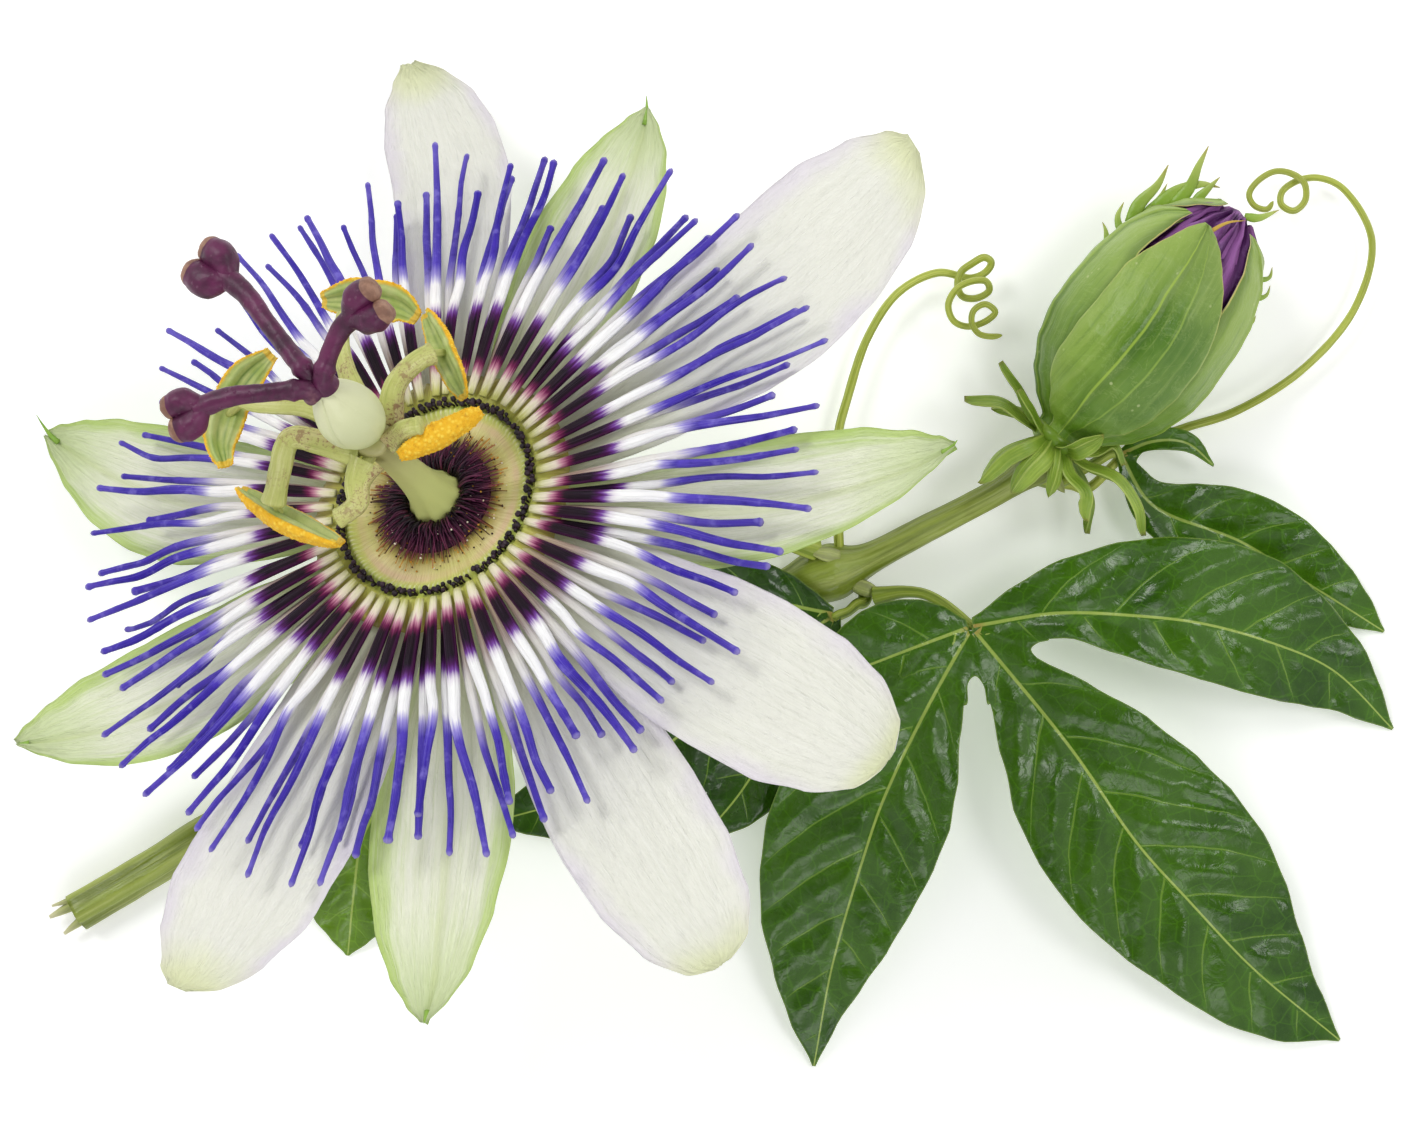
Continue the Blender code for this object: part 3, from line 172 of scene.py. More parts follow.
PETIOLE_D = ((32.4, 7.2, 4.6, 0.6), (34.6, 8.2, 3.9, 0.5), (36.4, 9.2, 3.6, 0.45),
             (37.5, 9.8, 3.5, 0.45))
PEDUNCLE = ((10.4, 1.1, 3.6, 1.1), (5.0, 2.8, 6.4, 1.0), (-3.0, 3.0, 9.8, 1.0),
            (-10.6, 1.0, 12.6, 1.0), (-15.8, -0.5, 14.8, 1.05), (-17.8, 0.2, 17.0, 1.2),
            (-18.6, 1.2, 19.0, 1.35))
TENDRIL_LEFT = (
    (12.6, 2.2, 2.4), (12.5, 6.5, 2.4), (12.6, 11.6, 2.4), (13.4, 14.8, 2.5),
    (15.3, 20.5, 2.6), (18.1, 24.6, 2.7), (21.7, 26.4, 2.9), (24.8, 25.9, 3.0),
    (26.1, 26.5, 3.2), (26.5, 27.3, 3.5), (25.9, 27.7, 3.7), (24.7, 27.1, 4.0),
    (23.7, 26.3, 4.2), (23.4, 25.1, 4.4), (23.8, 24.1, 4.7), (25.0, 23.9, 4.9),
    (26.2, 24.6, 5.2), (25.9, 25.4, 5.4), (24.6, 25.4, 5.6), (23.2, 24.7, 5.9),
    (22.4, 23.2, 6.1), (22.9, 21.7, 6.4), (24.2, 21.2, 6.6), (25.8, 21.7, 6.8),
    (26.6, 22.5, 7.1), (25.7, 23.2, 7.3), (24.6, 22.6, 7.6), (24.4, 21.5, 7.8),
    (25.0, 20.5, 8.0), (26.1, 20.2, 8.3), (27.1, 20.3, 8.6))
TENDRIL_RIGHT = (
    (35.2, 6.6, 3.4), (39.6, 10.4, 2.6), (44.4, 12.2, 2.2), (49.0, 13.7, 2.2),
    (55.2, 17.6, 2.3), (60.0, 23.3, 2.3), (61.5, 29.5, 2.3), (58.9, 34.1, 2.4),
    (56.8, 35.1, 2.4), (54.8, 34.9, 2.6), (53.2, 33.8, 2.8), (53.1, 32.6, 3.1),
    (54.2, 32.0, 3.3), (55.2, 32.9, 3.5), (55.1, 34.5, 3.7), (53.8, 35.4, 3.9),
    (52.2, 35.5, 4.2), (50.5, 34.4, 4.4), (49.9, 33.3, 4.6), (50.4, 32.3, 4.8),
    (51.5, 32.0, 5.0), (52.0, 32.7, 5.3))
TENDRIL_R = (0.48, 0.34)

# The parts below stand in the flower's own frame: x, y across its face and z out of it.
OVARY = ((0.0, 0.0, 11.4), (0.0, 0.0, 19.6), 2.75)
STYLES = (
    ((-1.2, 1.2, 21.6), (-3.9, 4.6, 22.9), (-6.4, 7.7, 23.9), (-8.0, 8.9, 24.3)),
    ((0.7, 0.4, 21.3), (1.7, 2.2, 22.4), (3.2, 3.7, 23.4), (4.6, 4.1, 23.9)),
    ((-1.3, -0.5, 21.2), (-4.3, -0.9, 22.2), (-7.2, -1.3, 22.8), (-9.0, -2.0, 23.0)),
)
STIGMAS = (((-9.3, 9.9, 24.5), 2.45), ((5.4, 4.5, 24.1), 2.2), ((-10.6, -2.4, 23.0), 2.1))
STAMENS = (
    ((-1.4, -1.0, 11.0), (-4.5, -0.4, 12.4), (-7.1, 0.1, 12.8), (-8.5, -2.3, 11.4), (-9.5, -4.7, 10.1)),
    ((-0.7, -1.75, 10.8), (-1.5, -3.4, 10.4), (-1.6, -4.9, 9.8), (-2.7, -5.5, 9.3), (-3.9, -5.9, 9.0)),
    ((1.6, -0.4, 11.1), (3.3, 0.0, 12.3), (5.1, -0.1, 12.8)),
    ((0.95, 1.4, 11.1), (2.2, 4.2, 12.7), (4.0, 6.2, 12.6), (5.1, 7.0, 12.1)),
    ((-0.7, 1.9, 11.1), (-2.3, 4.8, 12.3), (-3.3, 7.1, 12.6), (-4.1, 9.5, 12.3), (-4.4, 12.3, 11.4)),
    ((-1.75, 0.5, 11.2), (-5.4, 2.6, 12.7), (-11.6, 4.2, 12.1), (-13.2, 5.2, 11.4)),
)
STAMEN_W = (0.72, 0.6)
ANTHERS = (
    ((-14.0, -1.6, 8.6), (-9.4, -4.5, 8.5), (-3.6, -7.7, 8.4)),
    ((2.6, -1.9, 11.3), (6.1, -0.15, 11.1), (9.4, 1.7, 10.8)),
    ((2.5, 12.0, 10.4), (4.9, 7.9, 10.9), (7.4, 3.4, 10.4)),
    ((-8.3, 15.1, 9.5), (-3.6, 14.3, 10.1), (-0.1, 13.2, 10.1), (1.4, 12.1, 9.5)),
    ((-12.1, 10.3, 9.9), (-14.1, 7.8, 10.4), (-15.3, 4.8, 10.4), (-15.7, 2.2, 10.1), (-15.0, -0.1, 9.8)),
)
# Half width, half depth and roll of each anther; no roll turns its green face to the sky.
ANTHER_SHAPE = ((1.6, 1.45, 1.2), (0.95, 0.7, 2.75), (1.25, 0.85, -0.7), (1.6, 0.8, -0.3), (1.5, 0.8, 0.12))

# Each bract: angle round the bud's stalk, then its course as (across, up, along
# the bud) from the collar, and its half width. Across is +X of the bud's frame.
BRACTS = (
    (210.0, ((-3.4, -1.4, -1.0), (-6.2, -2.0, -2.4), (-7.7, -2.2, -4.9)), 0.65),
    (188.0, ((-3.6, -0.3, 1.2), (-4.5, -0.2, 2.8), (-6.3, -0.5, 1.9)), 0.55),
    (166.0, ((-3.6, 0.7, -0.1), (-6.6, 1.2, 0.8), (-9.6, 1.0, -0.1), (-11.6, 0.0, -1.9)), 1.0),
    (144.0, ((-3.0, 1.8, -1.5), (-5.4, 2.2, -2.1), (-6.6, 1.4, -4.0)), 1.0),
    (122.0, ((-1.7, 3.0, 0.3), (-2.4, 3.7, 1.7), (-3.0, 4.2, 2.9)), 1.0),
    (100.0, ((-1.3, 2.6, -1.4), (-2.1, 2.8, -2.8), (-2.7, 2.3, -4.4)), 0.65),
    (80.0, ((0.1, 3.3, -1.7), (0.3, 3.7, -3.6), (0.1, 3.3, -6.2)), 1.05),
    (56.0, ((1.6, 2.9, -1.6), (2.7, 3.2, -4.0), (2.8, 2.6, -7.3)), 0.95),
    (34.0, ((2.3, 2.3, 0.1), (3.8, 2.8, 0.7), (5.5, 2.9, 1.2)), 0.75),
    (14.0, ((3.7, 1.0, -0.3), (6.2, 1.2, -0.6), (8.5, 0.6, -2.4)), 1.05),
    (-8.0, ((3.3, -0.4, 0.5), (5.5, -0.4, 1.4), (8.2, -0.9, 2.2)), 0.7),
    (-50.0, ((2.8, -2.4, 0.2), (4.6, -3.4, -0.4), (6.0, -4.2, -1.4)), 0.8),
    (-95.0, ((-0.2, -2.9, 0.4), (-0.4, -4.1, 1.3), (-0.5, -4.9, 2.7)), 0.8),
)
BUD_OUTLINE = ((0.0, 0.26), (0.05, 0.46), (0.12, 0.68), (0.22, 0.87), (0.34, 0.98),
               (0.45, 1.0), (0.58, 0.98), (0.7, 0.91), (0.82, 0.77), (0.92, 0.56),
               (1.0, 0.24))
# Edges of each bud sepal, in degrees round the bud, at shares of the bud's length
# from its foot to its tip.
BUD_SEPALS = (
    ((0.03, 50.0, 134.0), (0.15, 44.0, 139.0), (0.3, 49.0, 136.5), (0.44, 51.5, 133.5), (0.52, 51.5, 131.0),
     (0.6, 51.0, 126.0), (0.66, 53.0, 121.5), (0.72, 56.5, 115.0), (0.78, 60.0, 106.0), (0.83, 63.0, 96.5),
     (0.86, 66.0, 87.5), (0.885, 69.0, 76.0)),
    ((0.03, 134.0, 204.0), (0.15, 139.0, 207.0), (0.3, 136.5, 208.0), (0.44, 133.5, 208.0), (0.52, 131.0, 208.0),
     (0.6, 126.0, 208.0), (0.66, 122.5, 208.0), (0.72, 123.0, 208.0), (0.78, 124.0, 206.0), (0.83, 124.5, 201.0),
     (0.88, 124.5, 188.0), (0.93, 124.0, 160.0), (0.96, 124.0, 138.0)),
    ((0.03, -24.0, 50.0), (0.15, -27.0, 44.0), (0.3, -28.0, 49.0), (0.44, -28.0, 51.5), (0.52, -28.0, 51.5),
     (0.6, -28.0, 51.0), (0.66, -28.0, 51.0), (0.72, -26.0, 51.0), (0.78, -15.0, 50.8), (0.83, 5.0, 50.5),
     (0.86, 22.0, 50.0), (0.886, 40.0, 49.5)),
    ((0.03, 272.0, 336.0), (0.15, 270.0, 333.0), (0.3, 270.0, 332.0), (0.44, 270.0, 332.0), (0.52, 270.0, 332.0),
     (0.6, 270.0, 332.0), (0.66, 270.0, 332.0), (0.72, 270.0, 334.0), (0.78, 270.0, 345.0), (0.83, 272.0, 365.0),
     (0.86, 275.0, 382.0), (0.9, 282.0, 396.0), (0.93, 292.0, 402.0), (0.97, 318.0, 412.0), (1.0, 356.0, 414.0)),
    ((0.03, 204.0, 272.0), (0.15, 207.0, 270.0), (0.3, 208.0, 270.0), (0.44, 208.0, 270.0), (0.52, 208.0, 270.0),
     (0.6, 208.0, 270.0), (0.66, 208.0, 270.0), (0.72, 208.0, 270.0), (0.78, 208.0, 268.0), (0.83, 210.0, 264.0),
     (0.88, 218.0, 256.0), (0.93, 232.0, 242.0)),
)


def world(x, y, z):
    """A point given in sprig millimetres, as metres in the row's frame."""
    return Vector(((x - ORIGIN[0]) * MM, (y - ORIGIN[1]) * MM, (z + LIFT) * MM))


def table(pairs, t):
    """Value at t on a smooth curve through (station, value) pairs."""
    if t <= pairs[0][0]:
        return pairs[0][1]
    for (t0, v0), (t1, v1) in zip(pairs, pairs[1:]):
        if t <= t1:
            k = (t - t0) / (t1 - t0)
            return v0 + (v1 - v0) * k * k * (3 - 2 * k) * 0.35 + (v1 - v0) * k * 0.65
    return pairs[-1][1]


def smooth_path(points, count):
    """count points, evenly spaced, on a centripetal Catmull-Rom curve through the route."""
    pts = [tuple(float(c) for c in p) for p in points]
    first = tuple(2 * a - b for a, b in zip(pts[0], pts[1]))
    last = tuple(2 * a - b for a, b in zip(pts[-1], pts[-2]))
    ext = [first] + pts + [last]
    fine = []
    for i in range(1, len(ext) - 2):
        p0, p1, p2, p3 = ext[i - 1:i + 3]
        t1 = max(math.dist(p0[:3], p1[:3]), 1e-6) ** 0.5
        t2 = t1 + max(math.dist(p1[:3], p2[:3]), 1e-6) ** 0.5
        t3 = t2 + max(math.dist(p2[:3], p3[:3]), 1e-6) ** 0.5
        for j in range(20):
            t = t1 + (t2 - t1) * j / 20
            point = []
            for a, b, c, d in zip(p0, p1, p2, p3):
                ab = a + (b - a) * t / t1
                bc = b + (c - b) * (t - t1) / (t2 - t1)
                cd = c + (d - c) * (t - t2) / (t3 - t2)
                abc = ab + (bc - ab) * t / t2
                bcd = bc + (cd - bc) * (t - t1) / (t3 - t1)
                point.append(abc + (bcd - abc) * (t - t1) / (t2 - t1))
            fine.append(tuple(point))
    fine.append(pts[-1])
    run = [0.0]
    for a, b in zip(fine, fine[1:]):
        run.append(run[-1] + math.dist(a[:3], b[:3]))
    out = []
    k = 0
    for i in range(count):
        s = run[-1] * i / (count - 1)
        while k < len(fine) - 2 and run[k + 1] < s:
            k += 1
        f = (s - run[k]) / max(run[k + 1] - run[k], 1e-9)
        out.append(tuple(a + (b - a) * f for a, b in zip(fine[k], fine[k + 1])))
    return out


def flower_matrix():
    """Places the flower's own frame: leaned by FLOWER_TILT towards FLOWER_LEAN."""
    lean = math.radians(FLOWER_LEAN)
    axis = Vector((-math.sin(lean), math.cos(lean), 0.0))
    turn = Matrix.Rotation(math.radians(FLOWER_TILT), 4, axis)
    return Matrix.Translation(world(*FLOWER_CENTRE)) @ turn


def bud_matrix():
    """Places the bud's own frame: z runs up the bud, x across it, y towards the sky."""
    base = world(*BUD_BASE)
    z = (world(*BUD_TIP) - base).normalized()
    x = Vector((0, 0, 1)).cross(z).normalized()
    y = z.cross(x)
    turn = Matrix((x, y, z)).transposed().to_4x4()
    return Matrix.Translation(base) @ turn


def tepal_point(tepal, u, v):
    """A point of a tepal in the flower's frame: u from root to tip, v across, -1 to 1."""
    _, kind, phi, length, half, bend, h_root, h_tip, rise = tepal
    outline = PETAL_OUTLINE if kind == "petal" else SEPAL_OUTLINE
    width = half * table(outline, u)
    r = TEPAL_ROOT_R + (length - TEPAL_ROOT_R) * u
    k = max(0.0, (u - 0.45) / 0.55)
    side = bend * k * k * (1.4 - 0.4 * k)
    h = h_root + (h_tip - h_root) * u
    cup = rise * v * v * min(1.0, 0.25 + 1.3 * u) * width / half
    if kind == "petal":
        hood = max(0.0, (u - 0.9) / 0.1)
        h += cup + 0.25 * math.sin(math.pi * u) + 1.3 * hood * hood
        r -= 0.9 * hood * hood
    else:
        keel = max(0.0, (u - 0.86) / 0.14)
        h += cup + 0.9 * keel * keel
    a = math.radians(phi)
    lateral = side + v * width
    return Vector((r * math.cos(a) - lateral * math.sin(a),
                   r * math.sin(a) + lateral * math.cos(a), h)) * MM


def lobe_rows(lobe, count):
    """Midrib samples of a leaf lobe: (position, left normal, left width, right width)."""
    path = smooth_path(lobe[0], count)
    rows = []
    for i, p in enumerate(path):
        a, b = path[max(i - 1, 0)], path[min(i + 1, count - 1)]
        dx, dy = b[0] - a[0], b[1] - a[1]
        n = math.hypot(dx, dy)
        t = i / (count - 1)
        stations = [(j / 10, w) for j, w in enumerate(lobe[1])]
        left = table(stations, t)
        right = table([(j / 10, w) for j, w in enumerate(lobe[2])], t)
        rows.append((p, (-dy / n, dx / n), left, right))
    return rows


def lobe_place(rows, x, y):
    """(along 0..1, side -1..1 and beyond, distance in mm, midrib height) of a point."""
    best = None
    for i in range(len(rows) - 1):
        a, b = rows[i][0], rows[i + 1][0]
        dx, dy = b[0] - a[0], b[1] - a[1]
        k = ((x - a[0]) * dx + (y - a[1]) * dy) / max(dx * dx + dy * dy, 1e-9)
        over = k < 0 and i == 0 or k > 1 and i == len(rows) - 2
        kc = min(1.0, max(0.0, k))
        qx, qy = a[0] + dx * kc, a[1] + dy * kc
        d = math.hypot(x - qx, y - qy)
        if best is None or d < best[0]:
            cross = dx * (y - a[1]) - dy * (x - a[0])
            best = (d, i, kc, 1 if cross > 0 else -1, over)
    d, i, k, sign, over = best
    a, b = rows[i], rows[i + 1]
    j = 2 if sign > 0 else 3
    width = a[j] + (b[j] - a[j]) * k
    z = a[0][2] + (b[0][2] - a[0][2]) * k
    along = (i + k) / (len(rows) - 1)
    side = sign * d / max(width, 0.05)
    if over:
        side = sign * max(abs(side), 1.5)
    return along, side, sign * d, z


def blade_height(lobes, x, y):
    """Height of a leaf blade: a shallow fold along each midrib, lobes blended."""
    total = height = 0.0
    for rows in lobes:
        along, side, d, z = lobe_place(rows, x, y)
        z += 0.1 * abs(d) - 0.013 * d * d
        w = math.exp(-6.0 * min(3.0, abs(side)))
        total += w
        height += w * z
    return height / total


def in_loop(loop, x, y):
    inside = False
    for (x0, y0), (x1, y1) in zip(loop, loop[1:] + loop[:1]):
        if (y0 > y) != (y1 > y) and x < (x1 - x0) * (y - y0) / (y1 - y0) + x0:
            inside = not inside
    return inside


def web_loop(points, fine):
    """A web's outline, anticlockwise, with its corners rounded where fine is set."""
    loop = [tuple(p) for p in points]
    area = sum(a[0] * b[1] - b[0] * a[1] for a, b in zip(loop, loop[1:] + loop[:1]))
    if area < 0:
        loop.reverse()
    if fine:
        around = [(*p, 0.0) for p in loop[-2:] + loop + loop[:3]]
        path = smooth_path(around, fine * len(around))
        step = fine * len(around) // (len(around) - 1)
        start = min(range(len(path)), key=lambda i: math.dist(path[i][:2], loop[0]) + (9 if i > len(path) // 2 else 0))
        end = min(range(len(path)), key=lambda i: math.dist(path[i][:2], loop[0]) + (9 if i < len(path) // 2 else 0))
        loop = [p[:2] for p in path[start:end]]
    return loop


def leaf_plan(leaf, webs, stations, spacing, fine=0, keep=0.45):
    """Plan of a leaf: points and triangles that fill the union of its lobes and webs."""
    lobes = [lobe_rows(lobe, stations) for lobe in leaf]
    coords, faces = [], []
    for rows in lobes:
        loop = []
        for p, n, left, _ in rows:
            loop.append((p[0] + n[0] * left, p[1] + n[1] * left))
        for p, n, _, right in reversed(rows):
            loop.append((p[0] - n[0] * right, p[1] - n[1] * right))
        loop.reverse()
        faces.append(list(range(len(coords), len(coords) + len(loop))))
        coords += loop
    loops = [web_loop(web, fine) for web in webs]
    for loop in loops:
        faces.append(list(range(len(coords), len(coords) + len(loop))))
        coords += loop
    border = list(coords)
    xs = [c[0] for c in coords]
    ys = [c[1] for c in coords]
    row = 0
    y = min(ys)
    while y < max(ys):
        x = min(xs) + (spacing / 2 if row % 2 else 0)
        while x < max(xs):
            inside = (any(abs(lobe_place(rows, x, y)[1]) < 1 for rows in lobes)
                      or any(in_loop(loop, x, y) for loop in loops))
            if inside and min(math.dist((x, y), c) for c in border) > keep * spacing:
                coords.append((x, y))
            x += spacing
        y += spacing * 0.866
        row += 1
    made = geometry.delaunay_2d_cdt([Vector(c) for c in coords], [], faces, 1, 1e-4)
    return lobes, [tuple(v) for v in made[0]], made[2]


def grid_faces(nu, nv, wrap=False, base=0, flip=False):
    """Quads of a grid of points, nu by nv faces, closed on itself where wrap is set."""
    faces = []
    cols = nv if wrap else nv + 1
    for i in range(nu):
        for j in range(nv):
            a = base + i * cols + j
            b = base + i * cols + (j + 1) % cols
            c = base + (i + 1) * cols + (j + 1) % cols
            d = base + (i + 1) * cols + j
            faces.append((a, d, c, b) if flip else (a, b, c, d))
    return faces


def swept(path, sides, section, up=(0, 0, 1), cap=True):
    """Sweeps section(i, angle) -> (across, along up) round a list of points.
    Returns points, faces, and the share along and the angle at each point."""
    pts = [Vector(p[:3]) for p in path]
    n = len(pts)
    verts, along, around = [], [], []
    up = Vector(up)
    side_prev = None
    for i, p in enumerate(pts):
        t = (pts[min(i + 1, n - 1)] - pts[max(i - 1, 0)]).normalized()
        side = t.cross(up)
        if side.length < 0.15 and side_prev is not None:
            side = side_prev - t * side_prev.dot(t)
        side.normalize()
        if side_prev is not None and side.dot(side_prev) < 0:
            side = -side
        side_prev = side
        top = side.cross(t).normalized()
        for j in range(sides):
            a = math.tau * j / sides
            x, y = section(i, a)
            verts.append(p + side * x + top * y)
            along.append(i / (n - 1))
            around.append(a)
    faces = grid_faces(n - 1, sides, wrap=True)
    if cap:
        for ring in (0, n - 1):
            centre = sum((verts[ring * sides + j] for j in range(sides)), Vector()) / sides
            verts.append(centre)
            along.append(ring / (n - 1))
            around.append(0.0)
            c = len(verts) - 1
            for j in range(sides):
                a, b = ring * sides + j, ring * sides + (j + 1) % sides
                faces.append((c, b, a) if ring == 0 else (c, a, b))
    return verts, faces, along, around


def boat_section(a, width, depth, roll):
    """Cross-section of an anther: a rounded back, and a hollow face with two ridges."""
    x = width * math.cos(a)
    q = abs(math.cos(a))
    if math.sin(a) <= 0:
        y = depth * math.sin(a)
    else:
        y = depth * (1 - q ** 10) * (0.28 * q * q - 0.35 * (1 - q * q)
                                     + 0.4 * math.exp(-((q - 0.52) / 0.2) ** 2))
    c, s = math.cos(roll), math.sin(roll)
    return x * c - y * s, x * s + y * c


def style_size(share, radius, head):
    """Half width across, half height and cleft of a style at a share of its length:
    a round stalk that flares into two lobes with a blunt end."""
    flare = min(1.0, max(0.0, (share - 0.66) / 0.22))
    flare = flare * flare * (3 - 2 * flare)
    across = radius * (1 + 0.25 * max(0.0, 1 - share / 0.1)) * (1 - flare) + head * flare
    high = radius * (1 - flare) + head * 0.56 * flare
    if share > 0.93:
        k = (share - 0.93) / 0.07
        across *= math.sqrt(max(0.0, 1 - 0.6 * k * k))
        high *= math.sqrt(max(0.0, 1 - 0.75 * k * k))
    return across, high, 0.42 * flare


def style_section(a, across, high, cleft):
    c = math.cos(a)
    pinch = 1 - cleft * math.exp(-(c / 0.36) ** 2)
    return across * c, high * math.sin(a) * pinch * (1 + 0.25 * cleft * abs(c))


def style_route(index):
    """A style's course from the ovary to the blunt end of its stigma."""
    route = STYLES[index]
    head, size = STIGMAS[index]
    end, before = Vector(head), Vector(route[-2])
    ahead = (end - before).normalized()
    return [tuple(p) for p in route[:-1]] + [tuple(end + ahead * size * 0.5)]


# ---------------------------------------------------------------- mesh helpers

FLOWER = flower_matrix()
BUD = bud_matrix()
BUD_LENGTH = (world(*BUD_TIP) - world(*BUD_BASE)).length / MM


def wave(x, y, z, scale, seed=0.0):
    """Smooth noise in -1..1 at a feature size of scale millimetres."""
    return noise.noise(Vector((x / scale + seed, y / scale - seed * 1.7, z / scale + seed * 0.3)))


def put(name, verts, faces, mat, node=None, attrs=None, smooth=True, matrix=None):
    """Makes a piece from millimetre points (in the flower's or bud's frame if matrix is
    given, otherwise already in metres) and hangs it on the model."""
    mesh = bpy.data.meshes.new(name)
    if matrix is not None:
        m = np.array(matrix)
        p = np.array(verts, dtype=float) * MM
        verts = p @ m[:3, :3].T + m[:3, 3]
        verts = [tuple(v) for v in verts]
    else:
        verts = [tuple(v) for v in verts]
    mesh.from_pydata(verts, [], faces)
    mesh.update()
    for key, values in (attrs or {}).items():
        layer = mesh.attributes.new(key, "FLOAT", "POINT")
        layer.data.foreach_set("value", np.array(values, dtype=np.float32))
    if smooth:
        mesh.shade_smooth()
    obj = bpy.data.objects.new(name, mesh)
    bpy.context.scene.collection.objects.link(obj)
    obj.data.materials.append(mat)
    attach(obj, "root")
    if node:
        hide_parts(*(node if isinstance(node, (list, tuple)) else (node,)))
    return obj


class Soup:
    """Gathers many small closed shapes into one piece."""

    def __init__(self, *keys):
        self.verts, self.faces = [], []
        self.attrs = {k: [] for k in keys}

    def add(self, verts, faces, **attrs):
        base = len(self.verts)
        self.verts += [tuple(v) for v in verts]
        self.faces += [tuple(base + i for i in f) for f in faces]
        for k, values in self.attrs.items():
            given = attrs.get(k, 0.0)
            if isinstance(given, (int, float)):
                values += [float(given)] * len(verts)
            else:
                values += [float(g) for g in given]


def fixed_normals(obj):
    bm = bmesh.new()
    bm.from_mesh(obj.data)
    bmesh.ops.recalc_face_normals(bm, faces=bm.faces)
    bm.to_mesh(obj.data)
    bm.free()
    return obj


def round_tip(share, at=0.97):
    """1 along a member, falling to 0 in a round end."""
    if share < at:
        return 1.0
    k = (share - at) / (1 - at)
    return math.sqrt(max(0.0, 1 - k * k))


# ---------------------------------------------------------------- petals, sepals

def tepal_piece(tepal, mat):
    name, kind, phi = tepal[:3]
    half = tepal[4]
    petal = kind == "petal"
    seed = (phi * 7.31) % 19.0
    nu, nv = 110, 44
    top, bottom, uu, vv, side_up = [], [], [], [], []
    for i in range(nu + 1):
        u = i / nu
        u = u * (1.12 - 0.12 * u)
        for j in range(nv + 1):
            v = -1 + 2 * j / nv
            p = tepal_point(tepal, u, v) / MM
            x = u * 42.0
            y = v * half
            # long soft creases, fine crinkle, and a wavy margin
            rise = 0.22 * wave(x, y, 0, 7.0, seed) * min(1, 3 * u)
            rise += 0.10 * wave(x * 0.35, y, 3, 1.1, seed)
            rise += (0.13 if petal else 0.07) * wave(x * 0.7, y * 1.2, 9, 2.2, seed) * min(1, 2.5 * u)
            rise += (0.05 if petal else 0.03) * wave(x, y, 5, 0.8, seed)
            edge = abs(v) ** 4
            rise += edge * (0.55 if petal else 0.3) * wave(x, 11 * (1 if v > 0 else -1), 0, 6.0, seed) * min(1, 2 * u)
            if not petal:
                rise -= 0.35 * math.exp(-(v * half / 0.8) ** 2) * min(1.0, 2 * u)
            else:
                rise -= 0.2 * math.exp(-(v * half / 1.0) ** 2) * (1 - u)
            thick = 0.06 + 0.3 * (1 - v ** 6) * (1 - u ** 10)
            if not petal:
                thick += 0.12 * (1 - abs(v)) + 0.5 * math.exp(-(v * half / 0.7) ** 2) * (1 - 0.5 * u)
            top.append((p.x, p.y, p.z + rise + 0.1))
            bottom.append((p.x, p.y, p.z + rise + 0.1 - thick))
            uu.append(u)
            vv.append(v)
    cols = nv + 1
    count = len(top)
    faces = grid_faces(nu, nv) + grid_faces(nu, nv, base=count, flip=True)
    ring = ([j for j in range(cols)] + [i * cols + nv for i in range(1, nu + 1)]
            + [nu * cols + j for j in range(nv - 1, -1, -1)]
            + [i * cols for i in range(nu - 1, 0, -1)])
    for k, a in enumerate(ring):
        b = ring[(k + 1) % len(ring)]
        faces.append((a, b, b + count, a + count))
    obj = put(name + "_blade", top + bottom, faces, mat, name,
              {"along": uu * 2, "side": vv * 2,
               "inner": [1.0] * count + [0.0] * count, "tone": [seed / 19.0] * (2 * count)},
              matrix=FLOWER)
    fixed_normals(obj)
    if not petal:
        # the stiff point that a sepal carries just below its tip
        awn = Soup("along")
        tip = tepal_point(tepal, 0.985, 0) / MM
        back = tepal_point(tepal, 0.9, 0) / MM
        ahead = (tip - back).normalized()
        size = {"sepal_1": 2.4, "sepal_2": 1.6, "sepal_4": 1.0, "sepal_5": 2.2}.get(name, 1.2)
        hook = {"sepal_5": 1.6, "sepal_1": 0.3}.get(name, 0.5)
        side = Vector((-ahead.y, ahead.x, 0)) * (-0.9 if name == "sepal_5" else 0.25)
        course = [tip + ahead * size * (s - 0.35) + (Vector((0, 0, hook)) + side) * size * 0.45 * s * s
                  - Vector((0, 0, 0.25)) * (1 - s) for s in (0, 0.2, 0.4, 0.6, 0.8, 1.0)]
        v, f, al, _ = swept(course, 8, lambda i, a: (0.34 * (1 - i / 5.4) * math.cos(a),
                                                     0.34 * (1 - i / 5.4) * math.sin(a)), up=(0, 0, 1))
        awn.add(v, f, along=al)
        fixed_normals(put(name + "_awn", awn.verts, awn.faces, MAT["awn"], None,
                          {"along": awn.attrs["along"]}, matrix=FLOWER))


# ---------------------------------------------------------------- corona

def soft(x):
    x = min(1.0, max(0.0, x))
    return x * x * (3 - 2 * x)


